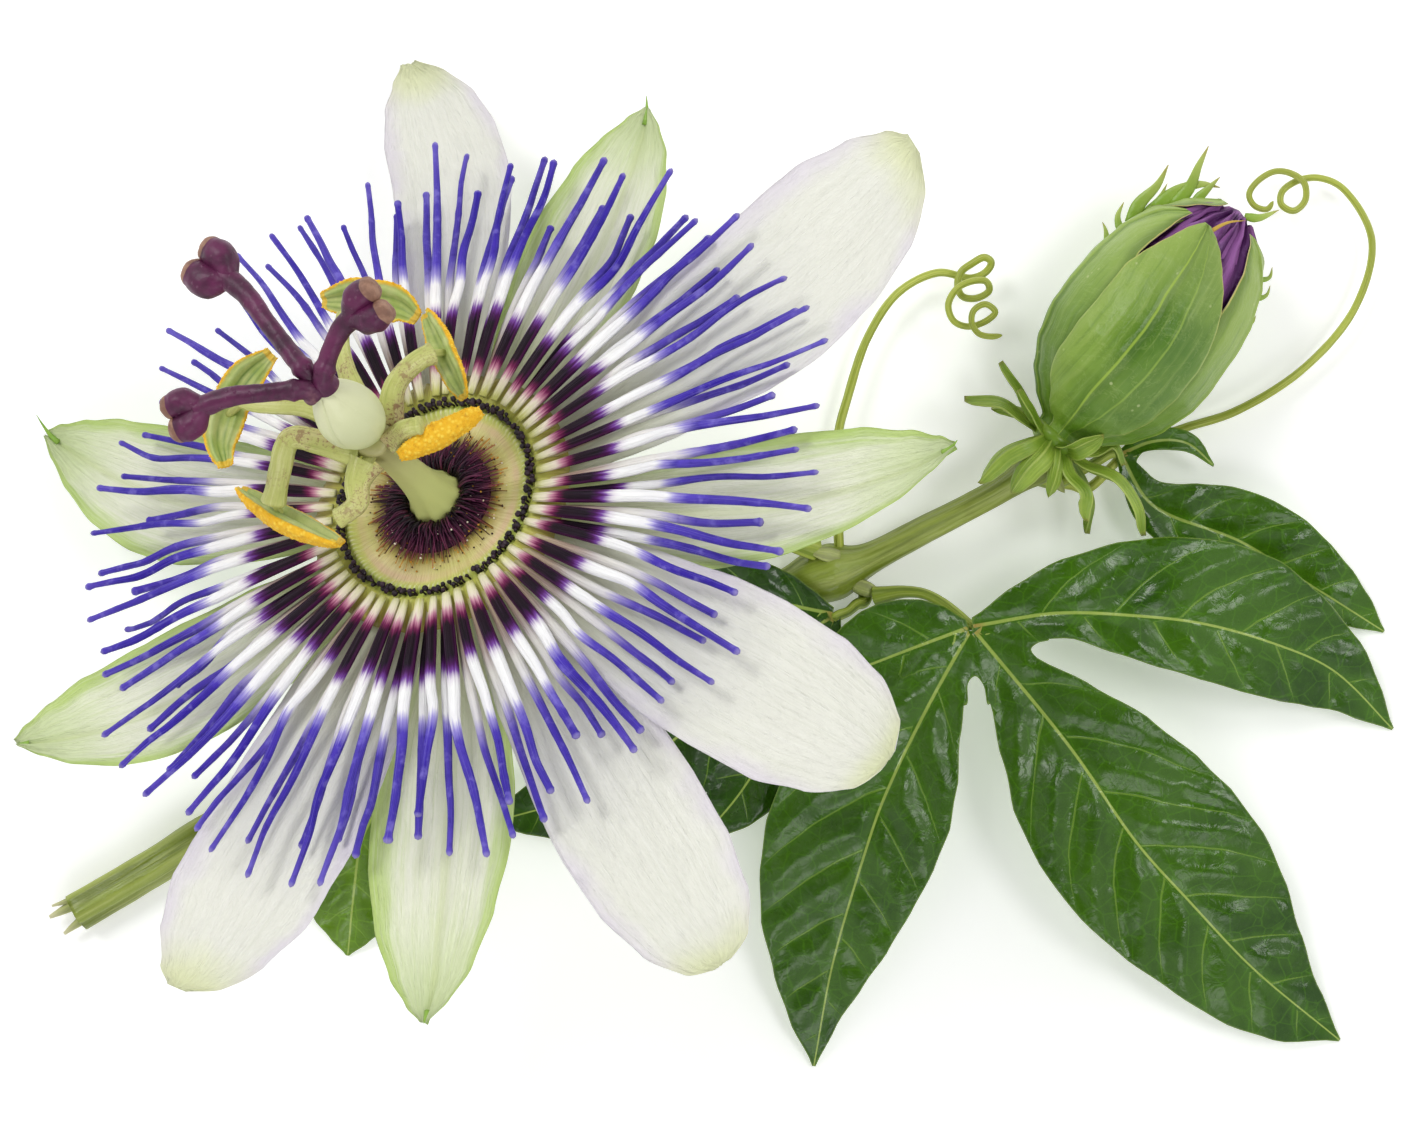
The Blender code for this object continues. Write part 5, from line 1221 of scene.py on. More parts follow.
def stem_piece(mat):
    rng = random.Random(5)
    count = 300
    widths = [(i / (len(STEM) - 1), p[3]) for i, p in enumerate(STEM)]
    path = smooth_path(STEM, count)

    def radius(s, a, p):
        near = min(path, key=lambda q: (q[0] - p[0]) ** 2 + (q[1] - p[1]) ** 2)
        r = near[3]
        # angular ribs that run along the vine and wander round it slowly
        r *= 1 + 0.075 * math.cos(5 * a + 3.2 * s) + 0.02 * math.cos(14 * a + 6 * s)
        r += 0.035 * wave(p[0], p[1], a * 2, 2.2, 3)
        # swollen nodes where leaves and tendrils leave
        for x, y, size, width in NODES:
            d = math.hypot(p[0] - x, p[1] - y)
            r += size * math.exp(-(d / width) ** 2)
        return r

    def extra(soup, _):
        # two stipules, and the torn prongs of the cut end
        start, ahead = Vector(STEM[0][:3]), (Vector(STEM[0][:3]) - Vector(STEM[1][:3])).normalized()
        left = Vector((-ahead.y, ahead.x, 0))
        for across, reach, r0, bend, high in PRONGS:
            root = start + left * across * 0.85 - ahead * 2.2
            course = [root + ahead * (2.2 + reach) * t + left * (bend * t * t)
                      + Vector((0, 0, high * t)) for t in (0, 0.2, 0.4, 0.6, 0.8, 1.0)]
            v, f, al, ar = swept(course, 12, lambda i, a: (
                (r0 * (1 - 0.75 * (i / 5) ** 1.6)) * math.cos(a),
                0.95 * (r0 * (1 - 0.82 * (i / 5) ** 1.6)) * math.sin(a)))
            soup.add(v, f, along=[-2.0 * q for q in al], around=ar, mark=[q ** 3 for q in al])
        for root, tip, wide, thick in STIPULES:
            a, b = Vector(root), Vector(tip)
            mid = (a + b) / 2 + Vector((0, 0, 0.25))
            course = smooth_path([tuple(a), tuple(mid), tuple(b)], 12)
            v, f, al, ar = swept(course, 10, lambda i, q: (
                wide * max(0.04, math.sin(math.pi * (0.25 + 0.74 * i / 11)) ** 0.8) * math.cos(q),
                thick * max(0.1, 1 - i / 12) * math.sin(q)))
            soup.add(v, f, along=2.0, around=ar, mark=0.25)
    round_piece("vine_stem_ribbed", STEM, count, 40, radius, mat, "vine_stem", extra)


# x, y, swelling and width of each node of the vine (mm)
NODES = ((12.4, -0.9, 0.75, 2.0), (9.9, -1.8, 0.35, 1.4), (30.6, 9.0, 0.5, 1.4),
         (-28.3, -17.2, 0.45, 1.6), (-45.4, -25.0, 0.12, 2.0))
# across, reach, radius, bend, rise of each torn prong at the cut end
PRONGS = ((1.0, 2.0, 0.62, 0.35, -0.1), (-0.75, 2.4, 0.7, -0.15, -0.2), (-1.25, 1.6, 0.42, -0.5, 0.3),
          (0.15, 0.3, 0.55, 0.1, 0.2))
# root, tip, half width, half thickness of each stipule
STIPULES = (((12.6, 0.4, 4.0), (9.8, 0.9, 4.6), 0.7, 0.28), ((14.0, -2.2, 3.2), (16.5, -3.0, 3.2), 0.75, 0.35),
            ((31.4, 8.2, 6.6), (33.0, 6.2, 5.6), 0.6, 0.3), ((-28.4, -18.6, 3.0), (-30.2, -19.6, 3.2), 0.45, 0.22))


def stalk(name, route, mat, node, ridges=5, count=70, sides=18, swell=0.0):
    path = smooth_path(route, count)

    def radius(s, a, p):
        i = min(range(count), key=lambda k: math.dist(path[k][:3], p[:3]))
        r = path[i][3]
        r *= 1 + 0.06 * math.cos(ridges * a + 4 * s) + swell * (1 - s) ** 6
        return r * round_tip(s, 0.96) if s > 0.96 else r
    round_piece(name, route, count, sides, radius, mat, node)


def tendril(name, route, mat, node):
    count = 420 if name.startswith("tendril_left") else 360

    def radius(s, a, p):
        r = (TENDRIL_R[0] + (TENDRIL_R[1] - TENDRIL_R[0]) * s ** 0.7) * (1 - 0.18 * s)
        r *= 1 + 0.05 * math.cos(3 * a + 11 * s) + 0.04 * wave(p[0], p[1], p[2], 1.4, 2)
        return r * (round_tip(s, 0.985) if s < 1 else 0.15)
    round_piece(name, route, count, 12, radius, mat, node)


# ---------------------------------------------------------------- bud

def bud_shell(share, theta, gap=0.0):
    r = (BUD_R - gap) * table(BUD_OUTLINE, share)
    a = math.radians(theta)
    return Vector((r * math.cos(a), r * math.sin(a), 1.2 + (BUD_LENGTH - 1.2) * share))


# how far each bud sepal stands off the shell below it
BUD_LAYERS = (0.52, 0.2, 0.24, 0.1, 0.0)
# how far the low and the high edge of each bud sepal run on under its neighbour, in degrees
BUD_TUCKS = ((0.0, 0.0), (7.0, 0.0), (0.0, 7.0), (0.0, 7.0), (7.0, 7.0))


def bud_sepal_piece(index, mat):
    edges = BUD_SEPALS[index]
    layer = BUD_LAYERS[index]
    lows, highs = [(e[0], e[1]) for e in edges], [(e[0], e[2]) for e in edges]
    far = edges[-1][0]
    nu, nv = 130, 44
    top, bottom, uu, vv, yy = [], [], [], [], []
    for i in range(nu + 1):
        u = i / nu
        share = -0.03 + (far + 0.03) * u
        hid = 1 - soft((share - 0.56) / 0.1)
        low = table(lows, share) - BUD_TUCKS[index][0] * hid
        high = table(highs, share) + BUD_TUCKS[index][1] * hid
        r0 = BUD_R * table(BUD_OUTLINE, max(0.0, share))
        foot = soft((share + 0.03) / 0.1)
        for j in range(nv + 1):
            v = -1 + 2 * j / nv
            t = low + (high - low) * (v + 1) / 2
            a = math.radians(t)
            out = Vector((math.cos(a), math.sin(a), 0))
            p = out * r0 + Vector((0, 0, 1.2 + (BUD_LENGTH - 1.2) * share))
            y = v * math.radians(high - low) / 2 * r0
            rise = 0.1 + layer * (1 - 0.3 * abs(v) ** 3)
            keel = -0.12 if index == 0 else 0.0
            rise += 0.2 * math.exp(-((v - keel) / 0.035) ** 2) * (1 - 0.3 * u)
            rise -= 0.07 * math.exp(-((abs(v - keel) - 0.1) / 0.06) ** 2)
            if index == 0:
                rise += 0.09 * math.exp(-((v - 0.32) / 0.03) ** 2) + 0.05 * math.exp(-((v + 0.5) / 0.04) ** 2)
            rise += 0.16 * wave(p.x, p.y, p.z, 4.5, index + 2) + 0.05 * wave(p.x, p.y, p.z, 1.3, index + 4)
            # folds at the foot, where the blade is gathered into the collar
            rise += 0.16 * (1 - soft(share / 0.3)) * math.cos(y * 2.6 + 1.2 * index)
            rise += abs(v) ** 8 * (0.06 + 0.1 * wave(u * 14, 3 * v, t * 0.01, 4.0, index))
            q = p + out * (rise * (0.35 + 0.65 * foot))
            thick = 0.12 + 0.3 * (1 - abs(v) ** 4)
            top.append(tuple(q))
            bottom.append(tuple(q - out * thick))
            uu.append(share)
            vv.append(v)
            yy.append(y)
    n = len(top)
    faces = grid_faces(nu, nv) + grid_faces(nu, nv, base=n, flip=True)
    cols = nv + 1
    ring = ([j for j in range(cols)] + [i * cols + nv for i in range(1, nu + 1)]
            + [nu * cols + j for j in range(nv - 1, -1, -1)]
            + [i * cols for i in range(nu - 1, 0, -1)])
    for k, a in enumerate(ring):
        b = ring[(k + 1) % len(ring)]
        faces.append((a, b, b + n, a + n))
    soup = Soup("along", "side", "across", "inner", "which")
    soup.add(top + bottom, faces, along=uu * 2, side=vv * 2, across=yy * 2, inner=[0.0] * n + [1.0] * n, which=index / 4)
    # the thread-like point at the tip, and the free tips and tatters behind the bud
    for route, wide, flat in BUD_POINTS.get(index, ()):
        course = smooth_path(route, 16)
        v, f, al, _ = swept(course, 10, lambda i, q: (
            wide * max(0.05, (1 - i / 15) ** 0.75 * min(1.0, 0.6 + i / 9)) * math.cos(q),
            flat * max(0.2, 1 - i / 17) * math.sin(q)), up=(0, 1, 0.01))
        soup.add(v, f, along=[2.0 + q for q in al], side=0.0, across=0.0, inner=0.0, which=index / 4)
    return fixed_normals(put(f"bud_sepal_{index + 1}_blade", soup.verts, soup.faces, mat, f"bud_sepal_{index + 1}",
                             soup.attrs, matrix=BUD))


# free points of the bud sepals, in the bud's frame: course, half width, half thickness
BUD_POINTS = {
    0: ((((1.2, 4.9, 22.0), (0.9, 4.8, 23.3), (0.3, 4.2, 24.5), (-0.8, 3.5, 25.6)), 0.24, 0.14),),
    1: ((((-6.2, -0.8, 21.0), (-6.75, -1.0, 22.0), (-6.45, -1.0, 22.9)), 0.3, 0.12),
        (((-5.4, -0.8, 22.6), (-5.95, -1.0, 23.4), (-5.55, -1.0, 24.3)), 0.3, 0.12),
        (((-6.8, -0.6, 18.6), (-7.3, -0.8, 19.3), (-7.15, -0.8, 20.0)), 0.24, 0.12),
        (((-7.2, -0.4, 15.8), (-7.65, -0.5, 16.3)), 0.2, 0.1)),
    2: ((((7.0, -1.6, 16.4), (8.2, -1.8, 17.6), (8.9, -1.8, 18.0)), 0.4, 0.15),
        (((6.9, -1.5, 18.2), (8.1, -1.7, 19.2), (8.5, -1.8, 20.6)), 0.45, 0.15),
        (((4.2, 3.6, 20.6), (3.6, 3.6, 22.0), (2.9, 3.5, 22.6)), 0.3, 0.1)),
    3: ((((4.9, -1.8, 23.0), (4.7, -1.6, 25.2), (5.3, -1.2, 27.2), (5.75, -0.8, 29.1)), 0.75, 0.2),
        (((6.9, -1.7, 19.4), (7.3, -1.7, 21.4), (7.1, -1.5, 23.6), (7.5, -1.1, 25.6)), 0.8, 0.2),
        (((6.4, -2.0, 20.8), (6.2, -2.0, 22.8), (6.5, -1.7, 24.3)), 0.45, 0.16),
        (((3.6, -1.6, 24.4), (3.4, -1.4, 25.8), (3.2, -1.0, 27.6)), 0.55, 0.18),
        (((6.0, -1.9, 21.8), (5.2, -1.8, 24.6), (4.0, -1.6, 26.2), (2.6, -1.2, 26.9)), 0.85, 0.2),
        (((-0.6, 1.8, 26.0), (-1.6, 2.1, 26.6), (-2.6, 2.2, 28.3)), 0.5, 0.16)),
    4: ((((-3.0, -3.4, 22.0), (-3.4, -3.6, 23.6), (-3.0, -3.4, 25.0)), 0.6, 0.2),),
}


def bud_core_piece(mat):
    """The petals still folded round each other, their pleated edges standing at the top."""
    soup = Soup("along", "side", "tone")
    sides, n = 180, 70
    verts, al, ar = [], [], []
    for i in range(n + 1):
        s = i / n
        for j in range(sides):
            a = math.tau * j / sides
            r = max(0.25, BUD_R * table(BUD_OUTLINE, s) - 0.85)
            pleat = math.sin(a * 5 + 5.5 * s) + 0.4 * math.sin(a * 9 - 4 * s)
            r += 0.16 * pleat * min(1, max(0, (s - 0.5) * 3)) * (1 if s < 0.97 else 0.4)
            p = (r * math.cos(a), r * math.sin(a), 1.2 + (BUD_LENGTH - 1.2) * s)
            verts.append(p)
            al.append(s)
            ar.append(pleat / 1.5)
    faces = grid_faces(n, sides, wrap=True)
    for ring, z in ((0, 1.2), (n, BUD_LENGTH + 0.3)):
        verts.append((0, 0, z))
        al.append(ring / n)
        ar.append(0.0)
        c = len(verts) - 1
        for j in range(sides):
            a, b = ring * sides + j, ring * sides + (j + 1) % sides
            faces.append((c, b, a) if ring == 0 else (c, a, b))
    soup.add(verts, faces, along=al, side=ar, tone=0.3)
    rng = random.Random(12)
    # free upper edges of the petals, rolled like pleats
    for k, (theta, half, low, high, off, tone, swirl) in enumerate(BUD_FLAPS):
        nu, nv = 34, 22
        top, bottom, uu, vv = [], [], [], []
        for i in range(nu + 1):
            u = i / nu
            share = low + (high - low) * u
            width = half * (1 - 0.5 * u ** 2.2)
            for j in range(nv + 1):
                v = -1 + 2 * j / nv
                t = theta + v * width + swirl * u
                r = max(0.4, BUD_R * table(BUD_OUTLINE, min(1.0, share)) - 0.62 + off)
                if share > 1:
                    r *= max(0.3, 1 - (share - 1) * 3)
                r += 0.35 * math.sin(v * 6.5 + k) * u + 0.18 * wave(v * 5, u * 8, k, 1.3, k)
                z = 1.2 + (BUD_LENGTH - 1.2) * share + 0.35 * math.sin(v * 8 + k) * u
                r -= 0.5 * max(0.0, u - 0.75) * 4 * (0.3 if v > 0.4 else 0.1)
                a = math.radians(t)
                top.append((r * math.cos(a), r * math.sin(a), z))
                bottom.append(((r - 0.2) * math.cos(a), (r - 0.2) * math.sin(a), z - 0.03))
                uu.append(0.6 + 0.4 * u)
                vv.append(math.sin(v * 5 + k))
        m = len(top)
        fs = grid_faces(nu, nv) + grid_faces(nu, nv, base=m, flip=True)
        cols = nv + 1
        ring = ([j for j in range(cols)] + [i * cols + nv for i in range(1, nu + 1)]
                + [nu * cols + j for j in range(nv - 1, -1, -1)]
                + [i * cols for i in range(nu - 1, 0, -1)])
        for q, a in enumerate(ring):
            b = ring[(q + 1) % len(ring)]
            fs.append((a, b, b + m, a + m))
        soup.add(top + bottom, fs, along=uu * 2, side=vv * 2, tone=tone)
    return fixed_normals(put("bud_petals_folded", soup.verts, soup.faces, mat, "bud_core", soup.attrs, matrix=BUD))


# direction, half angle, from, to (shares of the bud), offset, tone, swirl of each petal edge
BUD_FLAPS = ((72.0, 26.0, 0.7, 0.985, 0.12, 0.6, 6.0), (112.0, 24.0, 0.62, 0.985, 0.2, 0.35, -4.0),
             (30.0, 24.0, 0.68, 0.97, 0.05, 0.5, 8.0), (330.0, 30.0, 0.7, 0.96, 0.0, 0.4, 5.0),
             (150.0, 22.0, 0.6, 0.98, 0.02, 0.55, -4.0), (200.0, 28.0, 0.7, 0.96, 0.0, 0.5, 4.0),
             (260.0, 30.0, 0.7, 0.96, 0.0, 0.45, 4.0))


def bract_piece(mat):
    rng = random.Random(88)
    soup = Soup("along", "side", "tone")
    # the collar that carries them
    v, f, rad = lathe([(0.5, -1.5), (1.35, -1.6), (1.55, -1.0), (2.1, -0.6), (2.5, 0.0), (2.3, 0.6), (1.6, 1.1), (0.4, 1.1)], 48)
    soup.add(v, f, along=0.1, side=0.9, tone=0.3)
    for k, (angle, course, half) in enumerate(BRACTS):
        a = math.radians(angle)
        out = Vector((math.cos(a), math.sin(a), 0))
        start = out * 1.5 + Vector((0, 0, -0.3))
        path = [Vector(p) for p in smooth_path([tuple(start)] + [tuple(p) for p in course], 30)]
        across0 = Vector((-math.sin(a), math.cos(a), 0))
        nu, nv = 29, 14
        seed = k * 3.7
        top, bottom, uu, vv = [], [], [], []
        for i, p in enumerate(path):
            u = i / nu
            ahead = (path[min(i + 1, nu)] - path[max(i - 1, 0)]).normalized()
            across = across0
            if abs(ahead.dot(across)) > 0.9:
                across = Vector((0, 0, -1))
            across = (across - ahead * ahead.dot(across)).normalized()
            normal = across.cross(ahead).normalized()
            w = half * 1.15 * table(((0, 0.5), (0.2, 0.85), (0.45, 1.0), (0.7, 0.92), (0.88, 0.62), (0.97, 0.25), (1, 0.06)), u)
            for j in range(nv + 1):
                v_ = -1 + 2 * j / nv
                y = v_ * w * (1 + 0.03 * wave(u * 10, v_, k, 1.5, seed))
                lift = (0.42 * v_ * v_ * w + 0.08 * wave(u * 9, v_ * 2, k, 2.2, seed) - 0.12 * math.exp(-(v_ / 0.15) ** 2)
                        + 0.05 * abs(v_) ** 3 * wave(u * 8, v_, k, 1.6, seed + 2))
                thick = 0.1 + 0.16 * (1 - abs(v_)) + 0.12 * math.exp(-(v_ / 0.16) ** 2)
                q = p + across * y + normal * (lift)
                top.append(tuple(q))
                bottom.append(tuple(q - normal * thick))
                uu.append(u)
                vv.append(v_)
        m = len(top)
        fs = grid_faces(nu, nv) + grid_faces(nu, nv, base=m, flip=True)
        cols = nv + 1
        ring = ([j for j in range(cols)] + [i * cols + nv for i in range(1, nu + 1)]
                + [nu * cols + j for j in range(nv - 1, -1, -1)]
                + [i * cols for i in range(nu - 1, 0, -1)])
        for q, a_ in enumerate(ring):
            b = ring[(q + 1) % len(ring)]
            fs.append((a_, b, b + m, a_ + m))
        soup.add(top + bottom, fs, along=uu * 2, side=vv * 2, tone=rng.random())
    return fixed_normals(put("bud_bract_collar", soup.verts, soup.faces, mat, "bud_bracts", soup.attrs, matrix=BUD))


# ---------------------------------------------------------------- materials

class Shader:
    """Builds one node-based material."""

    def __init__(self, name, **fixed):
        self.mat = bpy.data.materials.new(name)
        self.mat.use_nodes = True
        self.tree = self.mat.node_tree
        self.bsdf = self.tree.nodes["Principled BSDF"]
        for key, value in fixed.items():
            self.bsdf.inputs[key.replace("_", " ")].default_value = value
        self.object_place = None

    def new(self, kind, **settings):
        n = self.tree.nodes.new(kind)
        for k, v in settings.items():
            setattr(n, k, v)
        return n

    def link(self, value, socket):
        if hasattr(value, "is_linked") or isinstance(value, bpy.types.NodeSocket):
            self.tree.links.new(value, socket)
        elif isinstance(value, (tuple, list)) and len(value) == 3 and socket.type == "RGBA":
            socket.default_value = (*value, 1.0)
        else:
            socket.default_value = value

    def attr(self, name):
        return self.new("ShaderNodeAttribute", attribute_name=name).outputs["Fac"]

    def place(self):
        if self.object_place is None:
            self.object_place = self.new("ShaderNodeTexCoord").outputs["Object"]
        return self.object_place

    def calc(self, op, a, b=0.0, c=0.0, clamp=False):
        n = self.new("ShaderNodeMath", operation=op, use_clamp=clamp)
        for value, socket in zip((a, b, c), n.inputs):
            self.link(value, socket)
        return n.outputs[0]

    def vector(self, x=0.0, y=0.0, z=0.0):
        n = self.new("ShaderNodeCombineXYZ")
        for value, socket in zip((x, y, z), n.inputs):
            self.link(value, socket)
        return n.outputs[0]

    def between(self, value, low, high, out_low=0.0, out_high=1.0, smooth=True):
        n = self.new("ShaderNodeMapRange", interpolation_type="SMOOTHSTEP" if smooth else "LINEAR")
        for v, s in zip((value, low, high, out_low, out_high), n.inputs):
            self.link(v, s)
        return n.outputs[0]

    def ramp(self, fac, stops, kind="LINEAR"):
        n = self.new("ShaderNodeValToRGB")
        n.color_ramp.interpolation = kind
        e = n.color_ramp.elements
        while len(e) < len(stops):
            e.new(0.5)
        for item, (at, colour) in zip(e, stops):
            item.position = at
            item.color = (*colour, 1.0)
        self.link(fac, n.inputs[0])
        return n.outputs[0]

    def mix(self, fac, a, b, blend="MIX"):
        n = self.new("ShaderNodeMix", data_type="RGBA", blend_type=blend, clamp_factor=True)
        self.link(fac, n.inputs[0])
        self.link(a, n.inputs[6])
        self.link(b, n.inputs[7])
        return n.outputs[2]

    def noise(self, scale, detail=2.0, rough=0.5, at=None, distortion=0.0):
        n = self.new("ShaderNodeTexNoise")
        self.link(at if at is not None else self.place(), n.inputs["Vector"])
        n.inputs["Scale"].default_value = scale
        n.inputs["Detail"].default_value = detail
        n.inputs["Roughness"].default_value = rough
        n.inputs["Distortion"].default_value = distortion
        return n.outputs[0]

    def cells(self, scale, feature="F1", at=None, jitter=1.0):
        n = self.new("ShaderNodeTexVoronoi", feature=feature)
        self.link(at if at is not None else self.place(), n.inputs["Vector"])
        n.inputs["Scale"].default_value = scale
        n.inputs["Randomness"].default_value = jitter
        return n.outputs["Distance"]

    def bump(self, height, distance, strength=1.0, normal=None):
        n = self.new("ShaderNodeBump")
        n.inputs["Strength"].default_value = strength
        n.inputs["Distance"].default_value = distance
        self.link(height, n.inputs["Height"])
        if normal is not None:
            self.link(normal, n.inputs["Normal"])
        return n.outputs[0]

    def done(self, colour, rough=None, normal=None, extra=None):
        self.link(colour, self.bsdf.inputs["Base Color"])
        if rough is not None:
            self.link(rough, self.bsdf.inputs["Roughness"])
        if normal is not None:
            self.link(normal, self.bsdf.inputs["Normal"])
        return self.mat


def rgb(code):
    """A colour written as hex in sRGB, as linear values."""
    out = []
    for i in (0, 2, 4):
        c = int(code[i:i + 2], 16) / 255
        out.append(c / 12.92 if c <= 0.04045 else ((c + 0.055) / 1.055) ** 2.4)
    return tuple(out)


MAT = {}


def petal_material():
    s = Shader("petal_satin", Specular_IOR_Level=0.4)
    u, v, face, tone = s.attr("along"), s.attr("side"), s.attr("inner"), s.attr("tone")
    edge = s.calc("ABSOLUTE", v)
    patch = s.noise(150, 3)
    wide = s.calc("ADD", edge, s.calc("MULTIPLY", s.calc("SUBTRACT", patch, 0.5), 0.9))
    streak = s.noise(1.0, 4, 0.6, at=s.vector(s.calc("MULTIPLY", u, 4), s.calc("MULTIPLY", v, 9), s.calc("MULTIPLY", tone, 30)))
    line = s.noise(1.0, 3, 0.6, at=s.vector(s.calc("MULTIPLY", u, 3), s.calc("MULTIPLY", v, 42), s.calc("MULTIPLY", tone, 30)))
    base = s.mix(s.between(u, 0.0, 0.5), rgb("d3d9b6"), rgb("e3e3d8"))
    base = s.mix(s.calc("MULTIPLY", s.between(streak, 0.42, 0.75), 0.4), base, rgb("dfe0d2"))
    lilac = s.calc("MULTIPLY", s.between(wide, 0.65, 1.05), s.between(u, 0.15, 0.45))
    col = s.mix(s.calc("MULTIPLY", lilac, 0.5), base, rgb("d5c8e2"))
    col = s.mix(s.calc("MULTIPLY", s.between(line, 0.5, 0.72), 0.16), col, rgb("bcc0aa"))
    col = s.mix(s.calc("MULTIPLY", s.between(line, 0.46, 0.3), 0.2), col, rgb("f6f6f0"))
    tip = s.between(s.calc("ADD", u, s.calc("MULTIPLY", s.calc("SUBTRACT", patch, 0.5), 0.12)), 0.86, 0.985)
    col = s.mix(s.calc("MULTIPLY", tip, 0.75), col, rgb("dfe5a8"))
    back = s.mix(s.between(edge, 0.1, 0.7), rgb("d6dfae"), rgb("ebe8ee"))
    col = s.mix(s.calc("SUBTRACT", 1.0, face), col, back)
    rough = s.between(s.noise(700, 3), 0.3, 0.7, 0.36, 0.52)
    crinkle = s.noise(1.0, 4, 0.6, at=s.vector(s.calc("MULTIPLY", u, 22), s.calc("MULTIPLY", v, 10), s.calc("MULTIPLY", tone, 30)), distortion=0.5)
    n1 = s.bump(line, 0.0002, 0.55)
    n1 = s.bump(crinkle, 0.0005, 0.55, normal=n1)
    n2 = n1
    s.bsdf.inputs["Sheen Weight"].default_value = 0.1
    # painted light: the petals glow a little of their own, which lightens them where the corona shades them
    s.bsdf.inputs["Emission Color"].default_value = (0.9, 0.92, 0.78, 1.0)
    s.bsdf.inputs["Emission Strength"].default_value = 0.035
    s.mat.cycles.emission_sampling = "NONE"
    return s.done(col, rough, n2)


def sepal_material():
    s = Shader("sepal_green_edged", Specular_IOR_Level=0.4)
    u, v, face, tone = s.attr("along"), s.attr("side"), s.attr("inner"), s.attr("tone")
    edge = s.calc("ABSOLUTE", v)
    patch = s.noise(200, 3)
    streak = s.noise(1.0, 4, 0.6, at=s.vector(s.calc("MULTIPLY", u, 6), s.calc("MULTIPLY", v, 16), s.calc("MULTIPLY", tone, 30)))
    line = s.noise(1.0, 3, 0.6, at=s.vector(s.calc("MULTIPLY", u, 3), s.calc("MULTIPLY", v, 44), s.calc("MULTIPLY", tone, 30)))
    wide = s.calc("ADD", edge, s.calc("MULTIPLY", s.calc("SUBTRACT", streak, 0.5), 0.4))
    green = s.between(wide, 0.52, 1.0)
    towards_tip = s.between(s.calc("ADD", u, s.calc("MULTIPLY", s.calc("SUBTRACT", patch, 0.5), 0.16)), 0.68, 1.0)
    green = s.calc("MAXIMUM", green, s.calc("MULTIPLY", towards_tip, 0.6))
    base = s.mix(s.between(u, 0.0, 0.5), rgb("dbe2b4"), rgb("e9ebd6"))
    col = s.mix(s.calc("MULTIPLY", s.between(streak, 0.4, 0.7), 0.4), base, rgb("d6deb4"))
    col = s.mix(green, col, s.mix(patch, rgb("a3c355"), rgb("c2d682")))
    col = s.mix(s.calc("MULTIPLY", s.between(line, 0.5, 0.7), 0.22), col, rgb("a9be70"))
    col = s.mix(s.calc("MULTIPLY", s.between(line, 0.46, 0.3), 0.2), col, rgb("f4f5e6"))
    keel = s.between(edge, 0.02, 0.12, 1.0, 0.0)
    col = s.mix(s.calc("MULTIPLY", keel, 0.35), col, rgb("c3d08c"))
    back = s.mix(s.between(edge, 0.05, 0.5), rgb("86a83a"), s.mix(patch, rgb("7fa53c"), rgb("a3c25c")))
    col = s.mix(s.calc("SUBTRACT", 1.0, face), col, back)
    rough = s.between(s.noise(800, 3), 0.3, 0.7, 0.36, 0.52)
    crinkle = s.noise(1.0, 4, 0.6, at=s.vector(s.calc("MULTIPLY", u, 20), s.calc("MULTIPLY", v, 12), s.calc("MULTIPLY", tone, 30)), distortion=0.5)
    n1 = s.bump(line, 0.00022, 0.6)
    n1 = s.bump(crinkle, 0.0004, 0.55, normal=n1)
    n2 = n1
    # painted light: the sepals glow a little of their own, which lightens them where they lie in shade
    s.bsdf.inputs["Emission Color"].default_value = (0.86, 0.92, 0.6, 1.0)
    s.bsdf.inputs["Emission Strength"].default_value = 0.04
    s.mat.cycles.emission_sampling = "NONE"
    return s.done(col, rough, n2)


def awn_material():
    s = Shader("awn_green", Specular_IOR_Level=0.5)
    col = s.mix(s.noise(900, 2), rgb("6f9c2c"), rgb("9cc04e"))
    return s.done(col, s.between(s.noise(1500), 0.3, 0.7, 0.3, 0.45), s.bump(s.noise(2500), 0.0001, 0.6))


